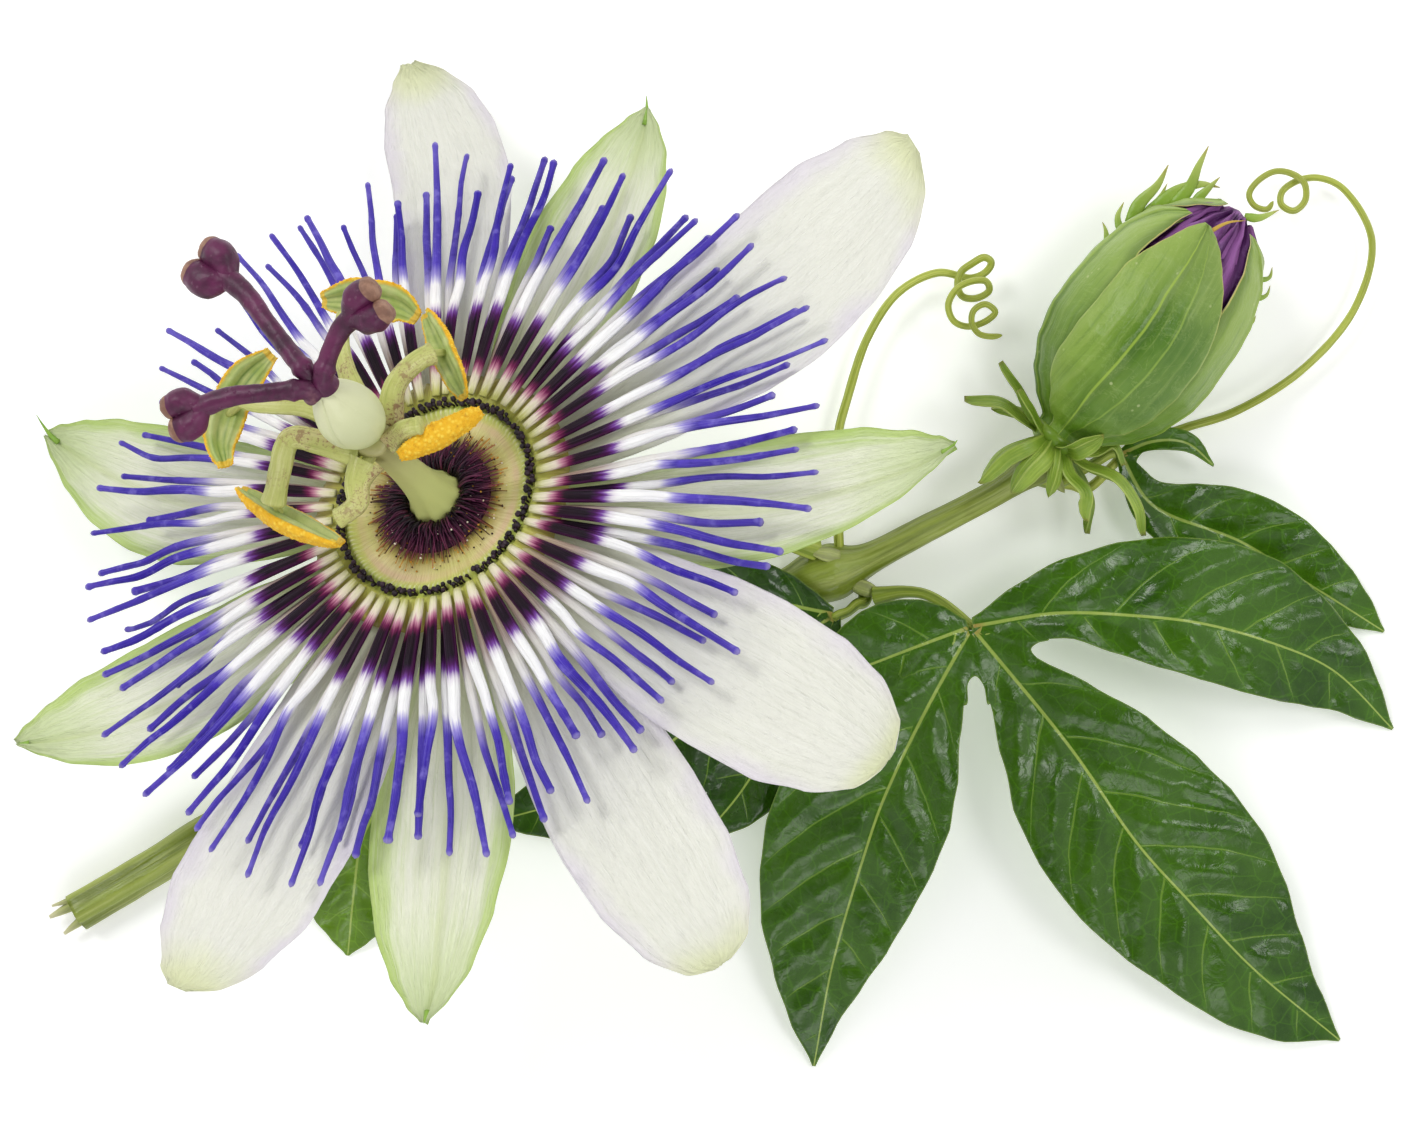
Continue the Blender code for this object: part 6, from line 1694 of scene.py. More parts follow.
def corona_material():
    s = Shader("corona_banded", Specular_IOR_Level=0.15)
    r, k, a, low, tip = s.attr("reach"), s.attr("strand"), s.attr("around"), s.attr("lower"), s.attr("tip")
    sa, ca = s.calc("SINE", a), s.calc("COSINE", a)
    round_ = s.vector(s.calc("MULTIPLY", r, 9), s.calc("ADD", s.calc("MULTIPLY", k, 77), s.calc("MULTIPLY", ca, 2.2)), s.calc("MULTIPLY", sa, 2.2))
    jag = s.noise(1.0, 3, 0.6, at=round_)
    rr = s.calc("ADD", r, s.calc("MULTIPLY", s.calc("SUBTRACT", jag, 0.5), 0.05))

    def at(mm):
        return mm / 40.0
    upper = ((at(9.6), rgb("cfcf78")), (at(10.3), rgb("e9e5bd")), (at(11.2), rgb("f0e4d2")), (at(11.8), rgb("c887a0")),
             (at(12.4), rgb("7a2054")), (at(13.1), rgb("1e0818")), (at(15.7), rgb("160618")), (at(16.5), rgb("4a1356")),
             (at(17.1), rgb("7c48a4")), (at(17.8), rgb("ebe4ee")), (at(18.4), rgb("ffffff")), (at(21.3), rgb("fdfcff")),
             (at(22.2), rgb("a79ce0")), (at(23.3), rgb("4e3abc")), (at(26.0), rgb("3a26a6")), (at(30.5), rgb("3c2aaa")),
             (at(33.0), rgb("5642bc")), (at(35.5), rgb("6c5ecc")))
    lower = ((at(9.6), rgb("d0cb70")), (at(10.8), rgb("e6dfb0")), (at(12.0), rgb("dcc6aa")), (at(14.0), rgb("d2bda6")),
             (at(15.6), rgb("d9cbbe")), (at(16.8), rgb("eae2de")), (at(18.0), rgb("faf7f0")), (at(21.0), rgb("f4f1f4")),
             (at(22.4), rgb("b0a5e0")), (at(24.0), rgb("6451c6")), (at(27.0), rgb("4a36b4")), (at(32.0), rgb("503ebc")),
             (at(35.5), rgb("7466cc")))
    dusky = s.between(k, 0.72, 0.74)
    pale = s.calc("MULTIPLY", low, s.calc("SUBTRACT", 1.0, dusky))
    col = s.mix(pale, s.ramp(rr, upper), s.ramp(rr, lower))
    # fine lengthwise lines where the strands are nearly black, purple towards their flanks
    fine = s.noise(1.0, 2, 0.5, at=s.vector(s.calc("MULTIPLY", r, 7), s.calc("ADD", s.calc("MULTIPLY", k, 60), s.calc("MULTIPLY", ca, 5.5)), s.calc("MULTIPLY", sa, 5.5)))
    dark = s.calc("MULTIPLY", s.between(rr, at(12.3), at(13.0)), s.between(rr, at(16.0), at(16.8), 1.0, 0.0))
    dark = s.calc("MULTIPLY", dark, s.calc("SUBTRACT", 1.0, pale))
    flank = s.between(s.calc("ABSOLUTE", ca), 0.55, 0.98)
    col = s.mix(s.calc("MULTIPLY", s.calc("MULTIPLY", flank, dark), 0.7), col, rgb("571150"))
    col = s.mix(s.calc("MULTIPLY", s.calc("MULTIPLY", s.between(fine, 0.54, 0.7), dark), 0.55), col, rgb("3c2c40"))
    col = s.mix(s.calc("MULTIPLY", s.calc("MULTIPLY", s.between(fine, 0.48, 0.34), dark), 0.7), col, rgb("0b050e"))
    blue = s.between(rr, at(21.4), at(23.4))
    spot = s.noise(600, 3, 0.6)
    shade = s.between(k, 0.1, 0.9)
    col = s.mix(s.calc("MULTIPLY", s.calc("MULTIPLY", shade, blue), 0.22), col, rgb("7c6cd4"))
    col = s.mix(s.calc("MULTIPLY", s.calc("MULTIPLY", s.between(spot, 0.52, 0.7), blue), 0.55), col, rgb("9488e2"))
    col = s.mix(s.calc("MULTIPLY", s.calc("MULTIPLY", s.between(spot, 0.46, 0.3), blue), 0.45), col, rgb("281888"))
    col = s.mix(s.calc("MULTIPLY", s.calc("MULTIPLY", s.between(fine, 0.52, 0.7), blue), 0.3), col, rgb("9086e0"))
    white = s.calc("MULTIPLY", s.between(rr, at(17.2), at(18.0)), s.between(rr, at(20.8), at(22.0), 1.0, 0.0))
    col = s.mix(s.calc("MULTIPLY", s.calc("MULTIPLY", s.between(fine, 0.5, 0.7), white), 0.25), col, rgb("d6d3d2"))
    pinkish = s.calc("MULTIPLY", pale, s.calc("MULTIPLY", s.between(rr, at(11.6), at(12.6)), s.between(rr, at(15.4), at(17.4), 1.0, 0.0)))
    col = s.mix(s.calc("MULTIPLY", s.calc("MULTIPLY", s.between(fine, 0.46, 0.62), pinkish), 0.45), col, rgb("97647c"))
    col = s.mix(s.calc("MULTIPLY", tip, 0.6), col, rgb("b4aadc"))
    rough = s.between(spot, 0.3, 0.7, 0.42, 0.56)
    n = s.bump(fine, 0.0002, 0.8)
    return s.done(col, rough, n)


def bead_material():
    s = Shader("bead_near_black", Specular_IOR_Level=0.4)
    t = s.attr("tone")
    col = s.mix(t, rgb("100610"), rgb("2a1024"))
    col = s.mix(s.calc("MULTIPLY", s.between(s.noise(2500, 2), 0.55, 0.75), 0.3), col, rgb("5d3a50"))
    return s.done(col, s.between(s.noise(3000), 0.3, 0.7, 0.3, 0.5), s.bump(s.noise(4000), 0.0001, 0.6))


def dish_material():
    s = Shader("cup_and_dish", Specular_IOR_Level=0.35)
    r, top, cx, cy, dash = s.attr("rad"), s.attr("top"), s.attr("turn_x"), s.attr("turn_y"), s.attr("dash")
    n = s.noise(600, 4, 0.65)
    fine = s.noise(1.0, 2, 0.5, at=s.vector(s.calc("MULTIPLY", cx, 60), s.calc("MULTIPLY", cy, 60), s.calc("MULTIPLY", r, 4)))
    broad = s.noise(1.0, 2, 0.5, at=s.vector(s.calc("MULTIPLY", cx, 1.4), s.calc("MULTIPLY", cy, 1.4), 3.0))

    def at(mm):
        return mm / 12.5
    dish = s.ramp(s.calc("ADD", r, s.calc("ADD", s.calc("MULTIPLY", s.calc("SUBTRACT", n, 0.5), 0.02),
                                          s.calc("MULTIPLY", s.calc("SUBTRACT", broad, 0.5), 0.04))),
                  ((at(3.0), rgb("5d4d30")), (at(5.2), rgb("9a8548")), (at(5.9), rgb("c6b864")), (at(6.3), rgb("d6c684")),
                   (at(6.9), rgb("e2d49a")), (at(7.35), rgb("e4c8a0")), (at(7.6), rgb("e2ca9e")), (at(7.85), rgb("d6d280")),
                   (at(8.2), rgb("c4d068")), (at(8.8), rgb("b8cc54")), (at(9.4), rgb("ccd062")), (at(10.6), rgb("d2cc70")),
                   (at(11.6), rgb("bdb25c")), (at(12.4), rgb("9a9048"))))
    dish = s.mix(s.calc("MULTIPLY", s.between(broad, 0.44, 0.6), s.calc("MULTIPLY", s.between(r, at(6.0), at(6.6)), 0.5)), dish, rgb("c2c660"))
    dish = s.mix(s.calc("MULTIPLY", s.between(fine, 0.5, 0.68), 0.3), dish, rgb("b59a60"))
    dish = s.mix(s.calc("MULTIPLY", s.between(fine, 0.45, 0.3), 0.35), dish, rgb("efe5b4"))
    dish = s.mix(s.calc("MULTIPLY", dash, 0.8), dish, rgb("f3f2cc"))
    speck = s.calc("MULTIPLY", s.between(s.cells(1100), 0.02, 0.16, 1.0, 0.0), s.calc("MULTIPLY", s.between(r, at(5.2), at(5.6)), s.between(r, at(6.3), at(7.0), 1.0, 0.0)))
    dish = s.mix(speck, dish, rgb("2a1520"))
    cup = s.mix(s.noise(300, 4), rgb("9ab04c"), rgb("bccb74"))
    cup = s.mix(s.calc("MULTIPLY", s.between(s.cells(1400), 0.0, 0.3, 1.0, 0.0), 0.3), cup, rgb("dde3b4"))
    col = s.mix(top, cup, dish)
    nn = s.bump(fine, 0.00012, 0.8)
    return s.done(col, s.between(n, 0.3, 0.7, 0.36, 0.54), s.bump(n, 0.0002, 0.6, normal=nn))


def hair_material():
    s = Shader("operculum_purple", Specular_IOR_Level=0.35)
    al, t = s.attr("along"), s.attr("tone")
    col = s.ramp(s.calc("ADD", al, s.calc("MULTIPLY", s.calc("SUBTRACT", s.noise(900, 2), 0.5), 0.3)),
                 ((0.0, rgb("160814")), (0.25, rgb("220a20")), (0.5, rgb("4a1238")), (0.7, rgb("642040")),
                  (0.84, rgb("8c4a3a")), (0.94, rgb("c48f34")), (1.0, rgb("d3a040"))))
    col = s.mix(s.between(t, 0.55, 1.0, 0.0, 0.5), col, rgb("84385e"))
    col = s.mix(s.between(t, 0.0, 0.5, 0.85, 0.0), col, rgb("10060e"))
    # the seed-like tips are carried at along = 2
    seed = s.mix(s.between(t, 0.3, 0.4), rgb("3a1a16"), rgb("c48e2c"))
    seed = s.mix(s.between(t, 0.9, 0.92), seed, rgb("efe6cf"))
    col = s.mix(s.between(al, 1.3, 1.7), col, seed)
    return s.done(col, s.between(s.noise(2500), 0.3, 0.7, 0.34, 0.52), s.bump(s.noise(4000, 2), 0.0001, 0.7))


def column_material(name, low, high, mid, speck=0.0):
    s = Shader(name, Specular_IOR_Level=0.45)
    up = s.attr("up")
    n = s.noise(300, 4, 0.6)
    col = s.ramp(s.calc("ADD", up, s.calc("MULTIPLY", s.calc("SUBTRACT", n, 0.5), 0.16)), ((0.02, low), (0.35, mid), (0.95, high)))
    col = s.mix(s.calc("MULTIPLY", s.between(s.cells(1500), 0.0, 0.25, 1.0, 0.0), speck), col, rgb("6d3a52"))
    return s.done(col, s.between(n, 0.3, 0.7, 0.3, 0.46), s.bump(s.noise(1300, 3), 0.0001, 0.6))


def style_material():
    s = Shader("style_maroon_stigma", Specular_IOR_Level=0.45)
    al, face = s.attr("along"), s.attr("face")
    n = s.noise(420, 4, 0.6)
    stalk = s.mix(s.between(n, 0.3, 0.7), rgb("380c2a"), rgb("621c4a"))
    stalk = s.mix(s.calc("MULTIPLY", s.between(s.noise(260, 3), 0.52, 0.72), 0.35), stalk, rgb("702c58"))
    # pale dots: partly the stigma's own paler grain, partly a painted highlight for its fine dotted glints, most on the
    # lobes
    pale = s.between(s.cells(1500), 0.0, 0.26, 1.0, 0.0)
    lobed = s.between(al, 0.6, 0.86)
    stalk = s.mix(s.calc("MULTIPLY", pale, s.between(lobed, 0.0, 1.0, 0.15, 0.4)), stalk, rgb("86506f"))
    stalk = s.mix(s.calc("MULTIPLY", s.between(al, 0.0, 0.1, 0.5, 0.0), s.between(n, 0.45, 0.6)), stalk, rgb("b08a7a"))
    soft_ = s.noise(900, 3, 0.6)
    faces = s.mix(s.between(soft_, 0.35, 0.68), rgb("7e5a4a"), rgb("a47e68"))
    col = s.mix(s.between(face, 0.35, 0.65), stalk, faces)
    rough = s.mix(face, (0.44, 0.44, 0.44), (0.62, 0.62, 0.62))
    height = s.calc("ADD", s.calc("MULTIPLY", s.noise(1300, 3, 0.6), 0.4), s.calc("MULTIPLY", pale, 0.35))
    return s.done(col, rough, s.bump(height, 0.00022, 0.8))


def stamen_material():
    s = Shader("stamen_strap", Specular_IOR_Level=0.35)
    al, ar = s.attr("along"), s.attr("around")
    n = s.noise(350, 4, 0.6)
    sa, ca = s.calc("SINE", ar), s.calc("COSINE", ar)
    grain = s.noise(1.0, 3, 0.6, at=s.vector(s.calc("MULTIPLY", al, 2.0), s.calc("MULTIPLY", sa, 3.4), s.calc("MULTIPLY", ca, 3.4)))
    col = s.mix(n, rgb("aeb45c"), rgb("cfd186"))
    col = s.mix(s.calc("MULTIPLY", s.between(grain, 0.5, 0.68), 0.5), col, rgb("e0dfa6"))
    col = s.mix(s.calc("MULTIPLY", s.between(grain, 0.46, 0.32), 0.4), col, rgb("93a044"))
    blush = s.calc("MULTIPLY", s.between(s.noise(260, 3), 0.5, 0.68), s.between(al, 0.0, 0.6, 0.55, 0.2))
    col = s.mix(blush, col, rgb("c09c84"))
    near = s.between(al, 0.0, 0.9, 1.0, 0.6)
    clump = s.between(s.noise(260, 3), 0.48, 0.6)
    flecks = s.noise(1.0, 3, 0.7, at=s.vector(s.calc("MULTIPLY", al, 34.0), s.calc("MULTIPLY", sa, 5.0), s.calc("MULTIPLY", ca, 5.0)))
    fleck = s.calc("MULTIPLY", s.between(flecks, 0.53, 0.6), s.calc("MULTIPLY", near, s.calc("ADD", s.calc("MULTIPLY", clump, 0.85), 0.15)))
    dots = s.calc("MULTIPLY", s.between(s.noise(1500, 2), 0.58, 0.66), s.calc("MULTIPLY", near, clump))
    col = s.mix(s.calc("MULTIPLY", s.calc("MAXIMUM", fleck, dots), 0.7), col, rgb("7a3436"))
    return s.done(col, s.between(n, 0.3, 0.7, 0.36, 0.52), s.bump(s.calc("ADD", grain, s.noise(1500, 3)), 0.00012, 0.7))


def anther_material():
    s = Shader("anther_pollen", Specular_IOR_Level=0.3)
    p, g = s.attr("pollen"), s.attr("groove")
    n = s.noise(500, 4, 0.65)
    green = s.mix(s.between(n, 0.3, 0.7), rgb("a2b45c"), rgb("c2c984"))
    green = s.mix(s.calc("MULTIPLY", g, 0.75), green, rgb("5f7f34"))
    grain = s.cells(2400)
    gold = s.mix(s.between(grain, 0.05, 0.55), rgb("ffdd52"), rgb("f0bb2a"))
    gold = s.mix(s.calc("MULTIPLY", s.between(n, 0.5, 0.75), 0.35), gold, rgb("ecb02a"))
    gold = s.mix(s.calc("MULTIPLY", s.between(s.noise(1300, 2), 0.6, 0.74), 0.5), gold, rgb("c8871c"))
    col = s.mix(p, green, gold)
    rough = s.mix(p, (0.42, 0.42, 0.42), (0.75, 0.75, 0.75))
    height = s.calc("MULTIPLY", s.calc("SUBTRACT", 1.0, grain), s.calc("ADD", s.calc("MULTIPLY", p, 0.9), 0.1))
    return s.done(col, rough, s.bump(height, 0.0002, 0.7))


def leaf_material(name, gap, low="1f4202", high="396008"):
    s = Shader(name, Specular_IOR_Level=0.4)
    a, d, flank = s.attr("along"), s.attr("dist"), s.attr("flank")
    mask, edge, reach, top = s.attr("mask"), s.attr("edge"), s.attr("reach"), s.attr("inner")
    # distance from the midrib: signed inside each lobe, the plain one where the lobes meet
    signed = s.calc("ADD", s.calc("ABSOLUTE", s.attr("signed")), s.between(mask, 0.3, 0.9, 3.0, 0.0))
    hub = s.calc("ADD", s.attr("rib"), s.between(s.attr("hub"), 3.0, 5.0, 0.0, 3.0))
    rib = s.calc("MINIMUM", signed, hub)
    wob = s.calc("MULTIPLY", s.calc("SUBTRACT", s.noise(150, 2), 0.5), 1.3)
    bow = s.calc("ADD", s.calc("MULTIPLY", d, 0.72), s.calc("MULTIPLY", s.calc("MULTIPLY", d, d), 0.055))
    q = s.calc("DIVIDE", s.calc("ADD", s.calc("SUBTRACT", a, bow), wob), gap)
    alive = s.between(q, 0.25, 0.45)
    q = s.calc("ADD", q, s.calc("MULTIPLY", flank, 0.42))
    tri = s.calc("ABSOLUTE", s.calc("SUBTRACT", s.calc("FRACT", q), 0.5))            # 0.5 at a vein
    off = s.calc("MULTIPLY", s.calc("SUBTRACT", 0.5, tri), gap * 0.74)                 # mm from the vein
    vein_w = s.between(edge, 0.0, 4.0, 0.035, 0.07, smooth=False)
    lateral = s.calc("MULTIPLY", s.between(s.calc("DIVIDE", off, vein_w), 0.6, 1.8, 1.0, 0.0), s.calc("MULTIPLY", mask, alive))
    lateral = s.calc("MULTIPLY", lateral, s.between(edge, 0.3, 1.6, 0.25, 1.0))
    mid_w = s.between(reach, 0.0, 1.0, 0.16, 0.06, smooth=False)
    midrib = s.between(s.calc("DIVIDE", rib, mid_w), 0.7, 1.3, 1.0, 0.0)
    net = s.cells(480, feature="DISTANCE_TO_EDGE")
    mesh = s.between(net, 0.0, 0.045, 1.0, 0.0)
    blotch = s.noise(70, 4, 0.6)
    dark, light = rgb(low), rgb(high)
    pale = tuple(min(1.0, c * 1.5 + 0.004) for c in light)
    base = s.mix(s.between(blotch, 0.34, 0.66), dark, light)
    base = s.mix(s.calc("MULTIPLY", s.between(s.noise(1800, 2), 0.45, 0.7), 0.15), base, pale)
    base = s.mix(s.calc("MULTIPLY", s.between(off, 0.05, 0.9, 0.25, 0.0), s.calc("MULTIPLY", mask, alive)), base, pale)
    base = s.mix(s.between(rib, 0.15, 1.3, 0.3, 0.0), base, pale)
    col = s.mix(s.calc("MULTIPLY", mesh, 0.26), base, tuple(min(1.0, c * 2.2) for c in light))
    col = s.mix(s.calc("MULTIPLY", lateral, 0.42), col, rgb("86a83c"))
    col = s.mix(s.calc("MULTIPLY", midrib, 0.9), col, s.mix(s.noise(400), rgb("8fa848"), rgb("acbd62")))
    spot = s.between(s.attr("hub"), 0.3, 1.5, 0.5, 0.0)
    col = s.mix(s.calc("MULTIPLY", spot, midrib), col, rgb("a5603a"))
    rim = s.between(edge, 0.03, 0.14, 1.0, 0.0)
    col = s.mix(s.calc("MULTIPLY", rim, 0.5), col, rgb("8ba648"))
    under = s.mix(blotch, rgb("6d9446"), rgb("88a962"))
    under = s.mix(s.calc("MULTIPLY", mesh, 0.4), under, rgb("a8c080"))
    under = s.mix(s.calc("MULTIPLY", lateral, 0.8), under, rgb("bccd92"))
    under = s.mix(midrib, under, rgb("c8d59c"))
    col = s.mix(s.calc("SUBTRACT", 1.0, top), col, under)
    rough = s.between(s.noise(500, 3), 0.3, 0.7, 0.2, 0.32)
    rough = s.calc("ADD", rough, s.calc("MULTIPLY", s.calc("SUBTRACT", 1.0, top), 0.3))
    crinkle = s.noise(560, 3, 0.6, distortion=1.2)
    height = s.calc("SUBTRACT", s.calc("MULTIPLY", crinkle, 0.8), s.calc("MULTIPLY", lateral, 0.35))
    n1 = s.bump(height, 0.00028, 0.4)
    n1 = s.bump(s.noise(150, 3, 0.5), 0.0011, 0.45, normal=n1)
    return s.done(col, rough, n1)


def stem_material(name, dark, light, high, mark="4a2b1a", mark_share=0.1):
    s = Shader(name, Specular_IOR_Level=0.5)
    al, ar, mk = s.attr("along"), s.attr("around"), s.attr("mark")
    sa, ca = s.calc("SINE", ar), s.calc("COSINE", ar)
    streak = s.noise(1.0, 3, 0.6, at=s.vector(s.calc("MULTIPLY", al, 0.07), s.calc("MULTIPLY", sa, 1.4), s.calc("MULTIPLY", ca, 1.4)))
    streak2 = s.noise(1.0, 3, 0.6, at=s.vector(s.calc("MULTIPLY", al, 0.12), s.calc("MULTIPLY", sa, 4.2), s.calc("MULTIPLY", ca, 4.2)))
    n = s.noise(300, 4, 0.6)
    col = s.mix(s.between(streak, 0.36, 0.62), rgb(dark), rgb(light))
    col = s.mix(s.calc("MULTIPLY", s.between(streak2, 0.5, 0.64), 0.3), col, rgb(high))
    col = s.mix(s.calc("MULTIPLY", s.between(streak2, 0.46, 0.34), 0.35), col, rgb(dark))
    rib = s.between(s.calc("COSINE", s.calc("MULTIPLY", ar, 5.0)), 0.5, 1.0)
    col = s.mix(s.calc("MULTIPLY", rib, 0.2), col, rgb(high))
    col = s.mix(s.calc("MULTIPLY", s.between(n, 0.55, 0.75), mark_share), col, rgb(mark))
    col = s.mix(mk, col, rgb("ded9ae"))
    rough = s.between(n, 0.3, 0.7, 0.3, 0.46)
    n1 = s.bump(streak2, 0.0002, 0.5)
    n2 = s.bump(s.noise(1600, 3, 0.6), 0.00012, 0.6, normal=n1)
    return s.done(col, rough, n2)


def bud_sepal_material():
    s = Shader("bud_sepal_green", Specular_IOR_Level=0.4)
    u, v, y, inner, which = s.attr("along"), s.attr("side"), s.attr("across"), s.attr("inner"), s.attr("which")
    edge = s.calc("ABSOLUTE", v)
    front = s.between(which, 0.1, 0.15, 1.0, 0.0)
    n = s.noise(160, 4, 0.62)
    web = s.noise(420, 4, 0.65, distortion=0.8)
    line = s.noise(1.0, 3, 0.6, at=s.vector(s.calc("MULTIPLY", u, 2.2), s.calc("MULTIPLY", y, 1.5), s.calc("MULTIPLY", which, 9)))
    # lighter towards the tip; across the front sepal, painted light and shade: lighter on the left, where light falls,
    # deep green in the middle, greyer on the right
    across = s.ramp(s.calc("MULTIPLY", s.calc("ADD", v, 1.0), 0.5),
                    ((0.0, rgb("8ca64e")), (0.2, rgb("7d9b3a")), (0.38, rgb("5a7e20")), (0.44, rgb("41670e")),
                     (0.62, rgb("4a731a")), (0.68, rgb("4b7026")), (0.9, rgb("587c30")), (1.0, rgb("6c8c3c"))))
    plain = s.mix(s.between(u, 0.0, 0.8), rgb("567c16"), rgb("8faa50"))
    base = s.mix(front, plain, across)
    base = s.mix(s.calc("MULTIPLY", s.between(u, 0.42, 0.9), 0.55), base, rgb("97ad54"))
    base = s.mix(s.calc("MULTIPLY", s.between(u, 0.16, 0.0), 0.45), base, rgb("6c941c"))
    base = s.mix(s.between(n, 0.4, 0.7, 0.0, 0.3), base, rgb("8ba848"))
    base = s.mix(s.calc("MULTIPLY", s.between(line, 0.5, 0.68), 0.25), base, rgb("a2b666"))
    base = s.mix(s.calc("MULTIPLY", s.between(line, 0.46, 0.34), 0.3), base, rgb("4a6f1e"))
    wisp = s.between(s.calc("ABSOLUTE", s.calc("SUBTRACT", web, 0.5)), 0.0, 0.02, 1.0, 0.0)
    base = s.mix(s.calc("MULTIPLY", wisp, 0.16), base, rgb("aabd74"))
    # painted shade: the side sepals darken towards their edges, where they run under the front sepal
    seam_shade = s.calc("MULTIPLY", s.between(edge, 0.62, 0.95), s.calc("SUBTRACT", 1.0, front))
    base = s.mix(s.calc("MULTIPLY", seam_shade, 0.6), base, rgb("41600f"))
    mid = s.calc("ADD", v, s.calc("MULTIPLY", front, 0.12))
    keel = s.between(s.calc("ABSOLUTE", mid), 0.008, 0.03, 1.0, 0.0)
    base = s.mix(s.calc("MULTIPLY", keel, 0.75), base, rgb("9db846"))
    # painted shade: a darker strip just on the right of the keel, its shadow side
    base = s.mix(s.calc("MULTIPLY", s.calc("MULTIPLY", s.between(mid, 0.02, 0.06), s.between(mid, 0.06, 0.2, 1.0, 0.0)), 0.35), base, rgb("3f6414"))
    second = s.calc("MULTIPLY", s.between(s.calc("ABSOLUTE", s.calc("SUBTRACT", v, 0.32)), 0.006, 0.025, 1.0, 0.0), front)
    base = s.mix(s.calc("MULTIPLY", second, 0.55), base, rgb("94b046"))
    margin = s.between(s.calc("ADD", edge, s.calc("MULTIPLY", s.calc("SUBTRACT", line, 0.5), 0.03)), 0.965, 0.995)
    ochre = s.between(u, 0.3, 0.75, 0.6, 0.9)
    base = s.mix(s.calc("MULTIPLY", margin, ochre), base, s.mix(s.between(u, 0.5, 0.85), rgb("b3c468"), rgb("d2c070")))
    speck = s.between(s.cells(700), 0.05, 0.14, 1.0, 0.0)
    base = s.mix(s.calc("MULTIPLY", s.calc("MULTIPLY", speck, s.between(n, 0.5, 0.6)), 0.5), base, rgb("c9d29a"))
    base = s.mix(s.calc("MULTIPLY", inner, 0.8), base, rgb("c9d3b4"))
    # the free points, carried at along = 2 and more
    point = s.between(u, 1.5, 1.8)
    free = s.mix(s.between(u, 2.0, 3.0), rgb("84a834"), rgb("b4c268"))
    free = s.mix(s.between(u, 2.75, 3.0, 0.0, 0.7), free, rgb("a08a3c"))
    free = s.mix(s.calc("MULTIPLY", front, 0.9), free, rgb("c79f3e"))
    base = s.mix(point, base, free)
    rough = s.between(n, 0.3, 0.7, 0.34, 0.48)
    n1 = s.bump(line, 0.00022, 0.5)
    n1 = s.bump(web, 0.00016, 0.5, normal=n1)
    n2 = s.bump(s.noise(1500, 3, 0.6), 0.0001, 0.6, normal=n1)
    return s.done(base, rough, n2)


def bud_petal_material():
    s = Shader("bud_petal_purple", Specular_IOR_Level=0.35)
    u, v, t = s.attr("along"), s.attr("side"), s.attr("tone")
    n = s.noise(500, 4, 0.6)
    streak = s.noise(1.0, 3, 0.6, at=s.vector(s.calc("MULTIPLY", u, 4), s.calc("MULTIPLY", v, 2.5), s.calc("MULTIPLY", t, 20)))
    # painted shade and light: darker in the creases of the pleats, lighter on their crests
    col = s.mix(s.between(v, -0.9, 0.6), rgb("4a1654"), rgb("8d5494"))
    col = s.mix(s.calc("MULTIPLY", s.between(n, 0.5, 0.72), 0.4), col, rgb("a57fb8"))
    col = s.mix(s.calc("MULTIPLY", s.between(streak, 0.5, 0.7), 0.35), col, rgb("35104a"))
    col = s.mix(s.between(u, 0.3, 0.42, 1.0, 0.0), col, rgb("6c8a2c"))
    rough = s.between(n, 0.3, 0.7, 0.45, 0.62)
    return s.done(col, rough, s.bump(s.calc("ADD", streak, n), 0.0003, 0.6))


def bract_material():
    s = Shader("bract_green", Specular_IOR_Level=0.45)
    u, v, t = s.attr("along"), s.attr("side"), s.attr("tone")
    edge = s.calc("ABSOLUTE", v)
    n = s.noise(240, 4, 0.6)
    line = s.noise(1.0, 2, 0.5, at=s.vector(s.calc("MULTIPLY", u, 2), s.calc("MULTIPLY", v, 7), s.calc("MULTIPLY", t, 20)))
    col = s.mix(s.between(n, 0.3, 0.7), rgb("64881c"), rgb("90ac38"))
    col = s.mix(s.calc("MULTIPLY", s.between(line, 0.5, 0.7), 0.4), col, rgb("b3c45a"))
    col = s.mix(s.calc("MULTIPLY", s.between(line, 0.46, 0.32), 0.3), col, rgb("55781a"))
    col = s.mix(s.calc("MULTIPLY", t, 0.25), col, rgb("a9be52"))
    col = s.mix(s.between(edge, 0.02, 0.1, 0.6, 0.0), col, rgb("bccb6c"))
    # painted highlight: the margins lighter, as edges catching the light
    col = s.mix(s.calc("MULTIPLY", s.between(edge, 0.9, 0.99), 0.35), col, rgb("c8cf7c"))
    col = s.mix(s.calc("MULTIPLY", s.between(u, 0.93, 1.0), 0.5), col, rgb("9a8a44"))
    n1 = s.bump(line, 0.0002, 0.7)
    return s.done(col, s.between(n, 0.3, 0.7, 0.28, 0.44), s.bump(n, 0.00016, 0.6, normal=n1))


def floor_material():
    s = Shader("studio_floor", Roughness=0.9, Specular_IOR_Level=0.1)
    n = s.noise(6, 3)
    col = s.mix(s.between(n, 0.3, 0.7), (0.95, 0.95, 0.95), (0.97, 0.97, 0.97))
    # a light table: the floor glows a little of its own
    s.bsdf.inputs["Emission Color"].default_value = (1.0, 1.0, 1.0, 1.0)
    s.bsdf.inputs["Emission Strength"].default_value = 0.24
    s.mat.cycles.emission_sampling = "NONE"
    return s.done(col)


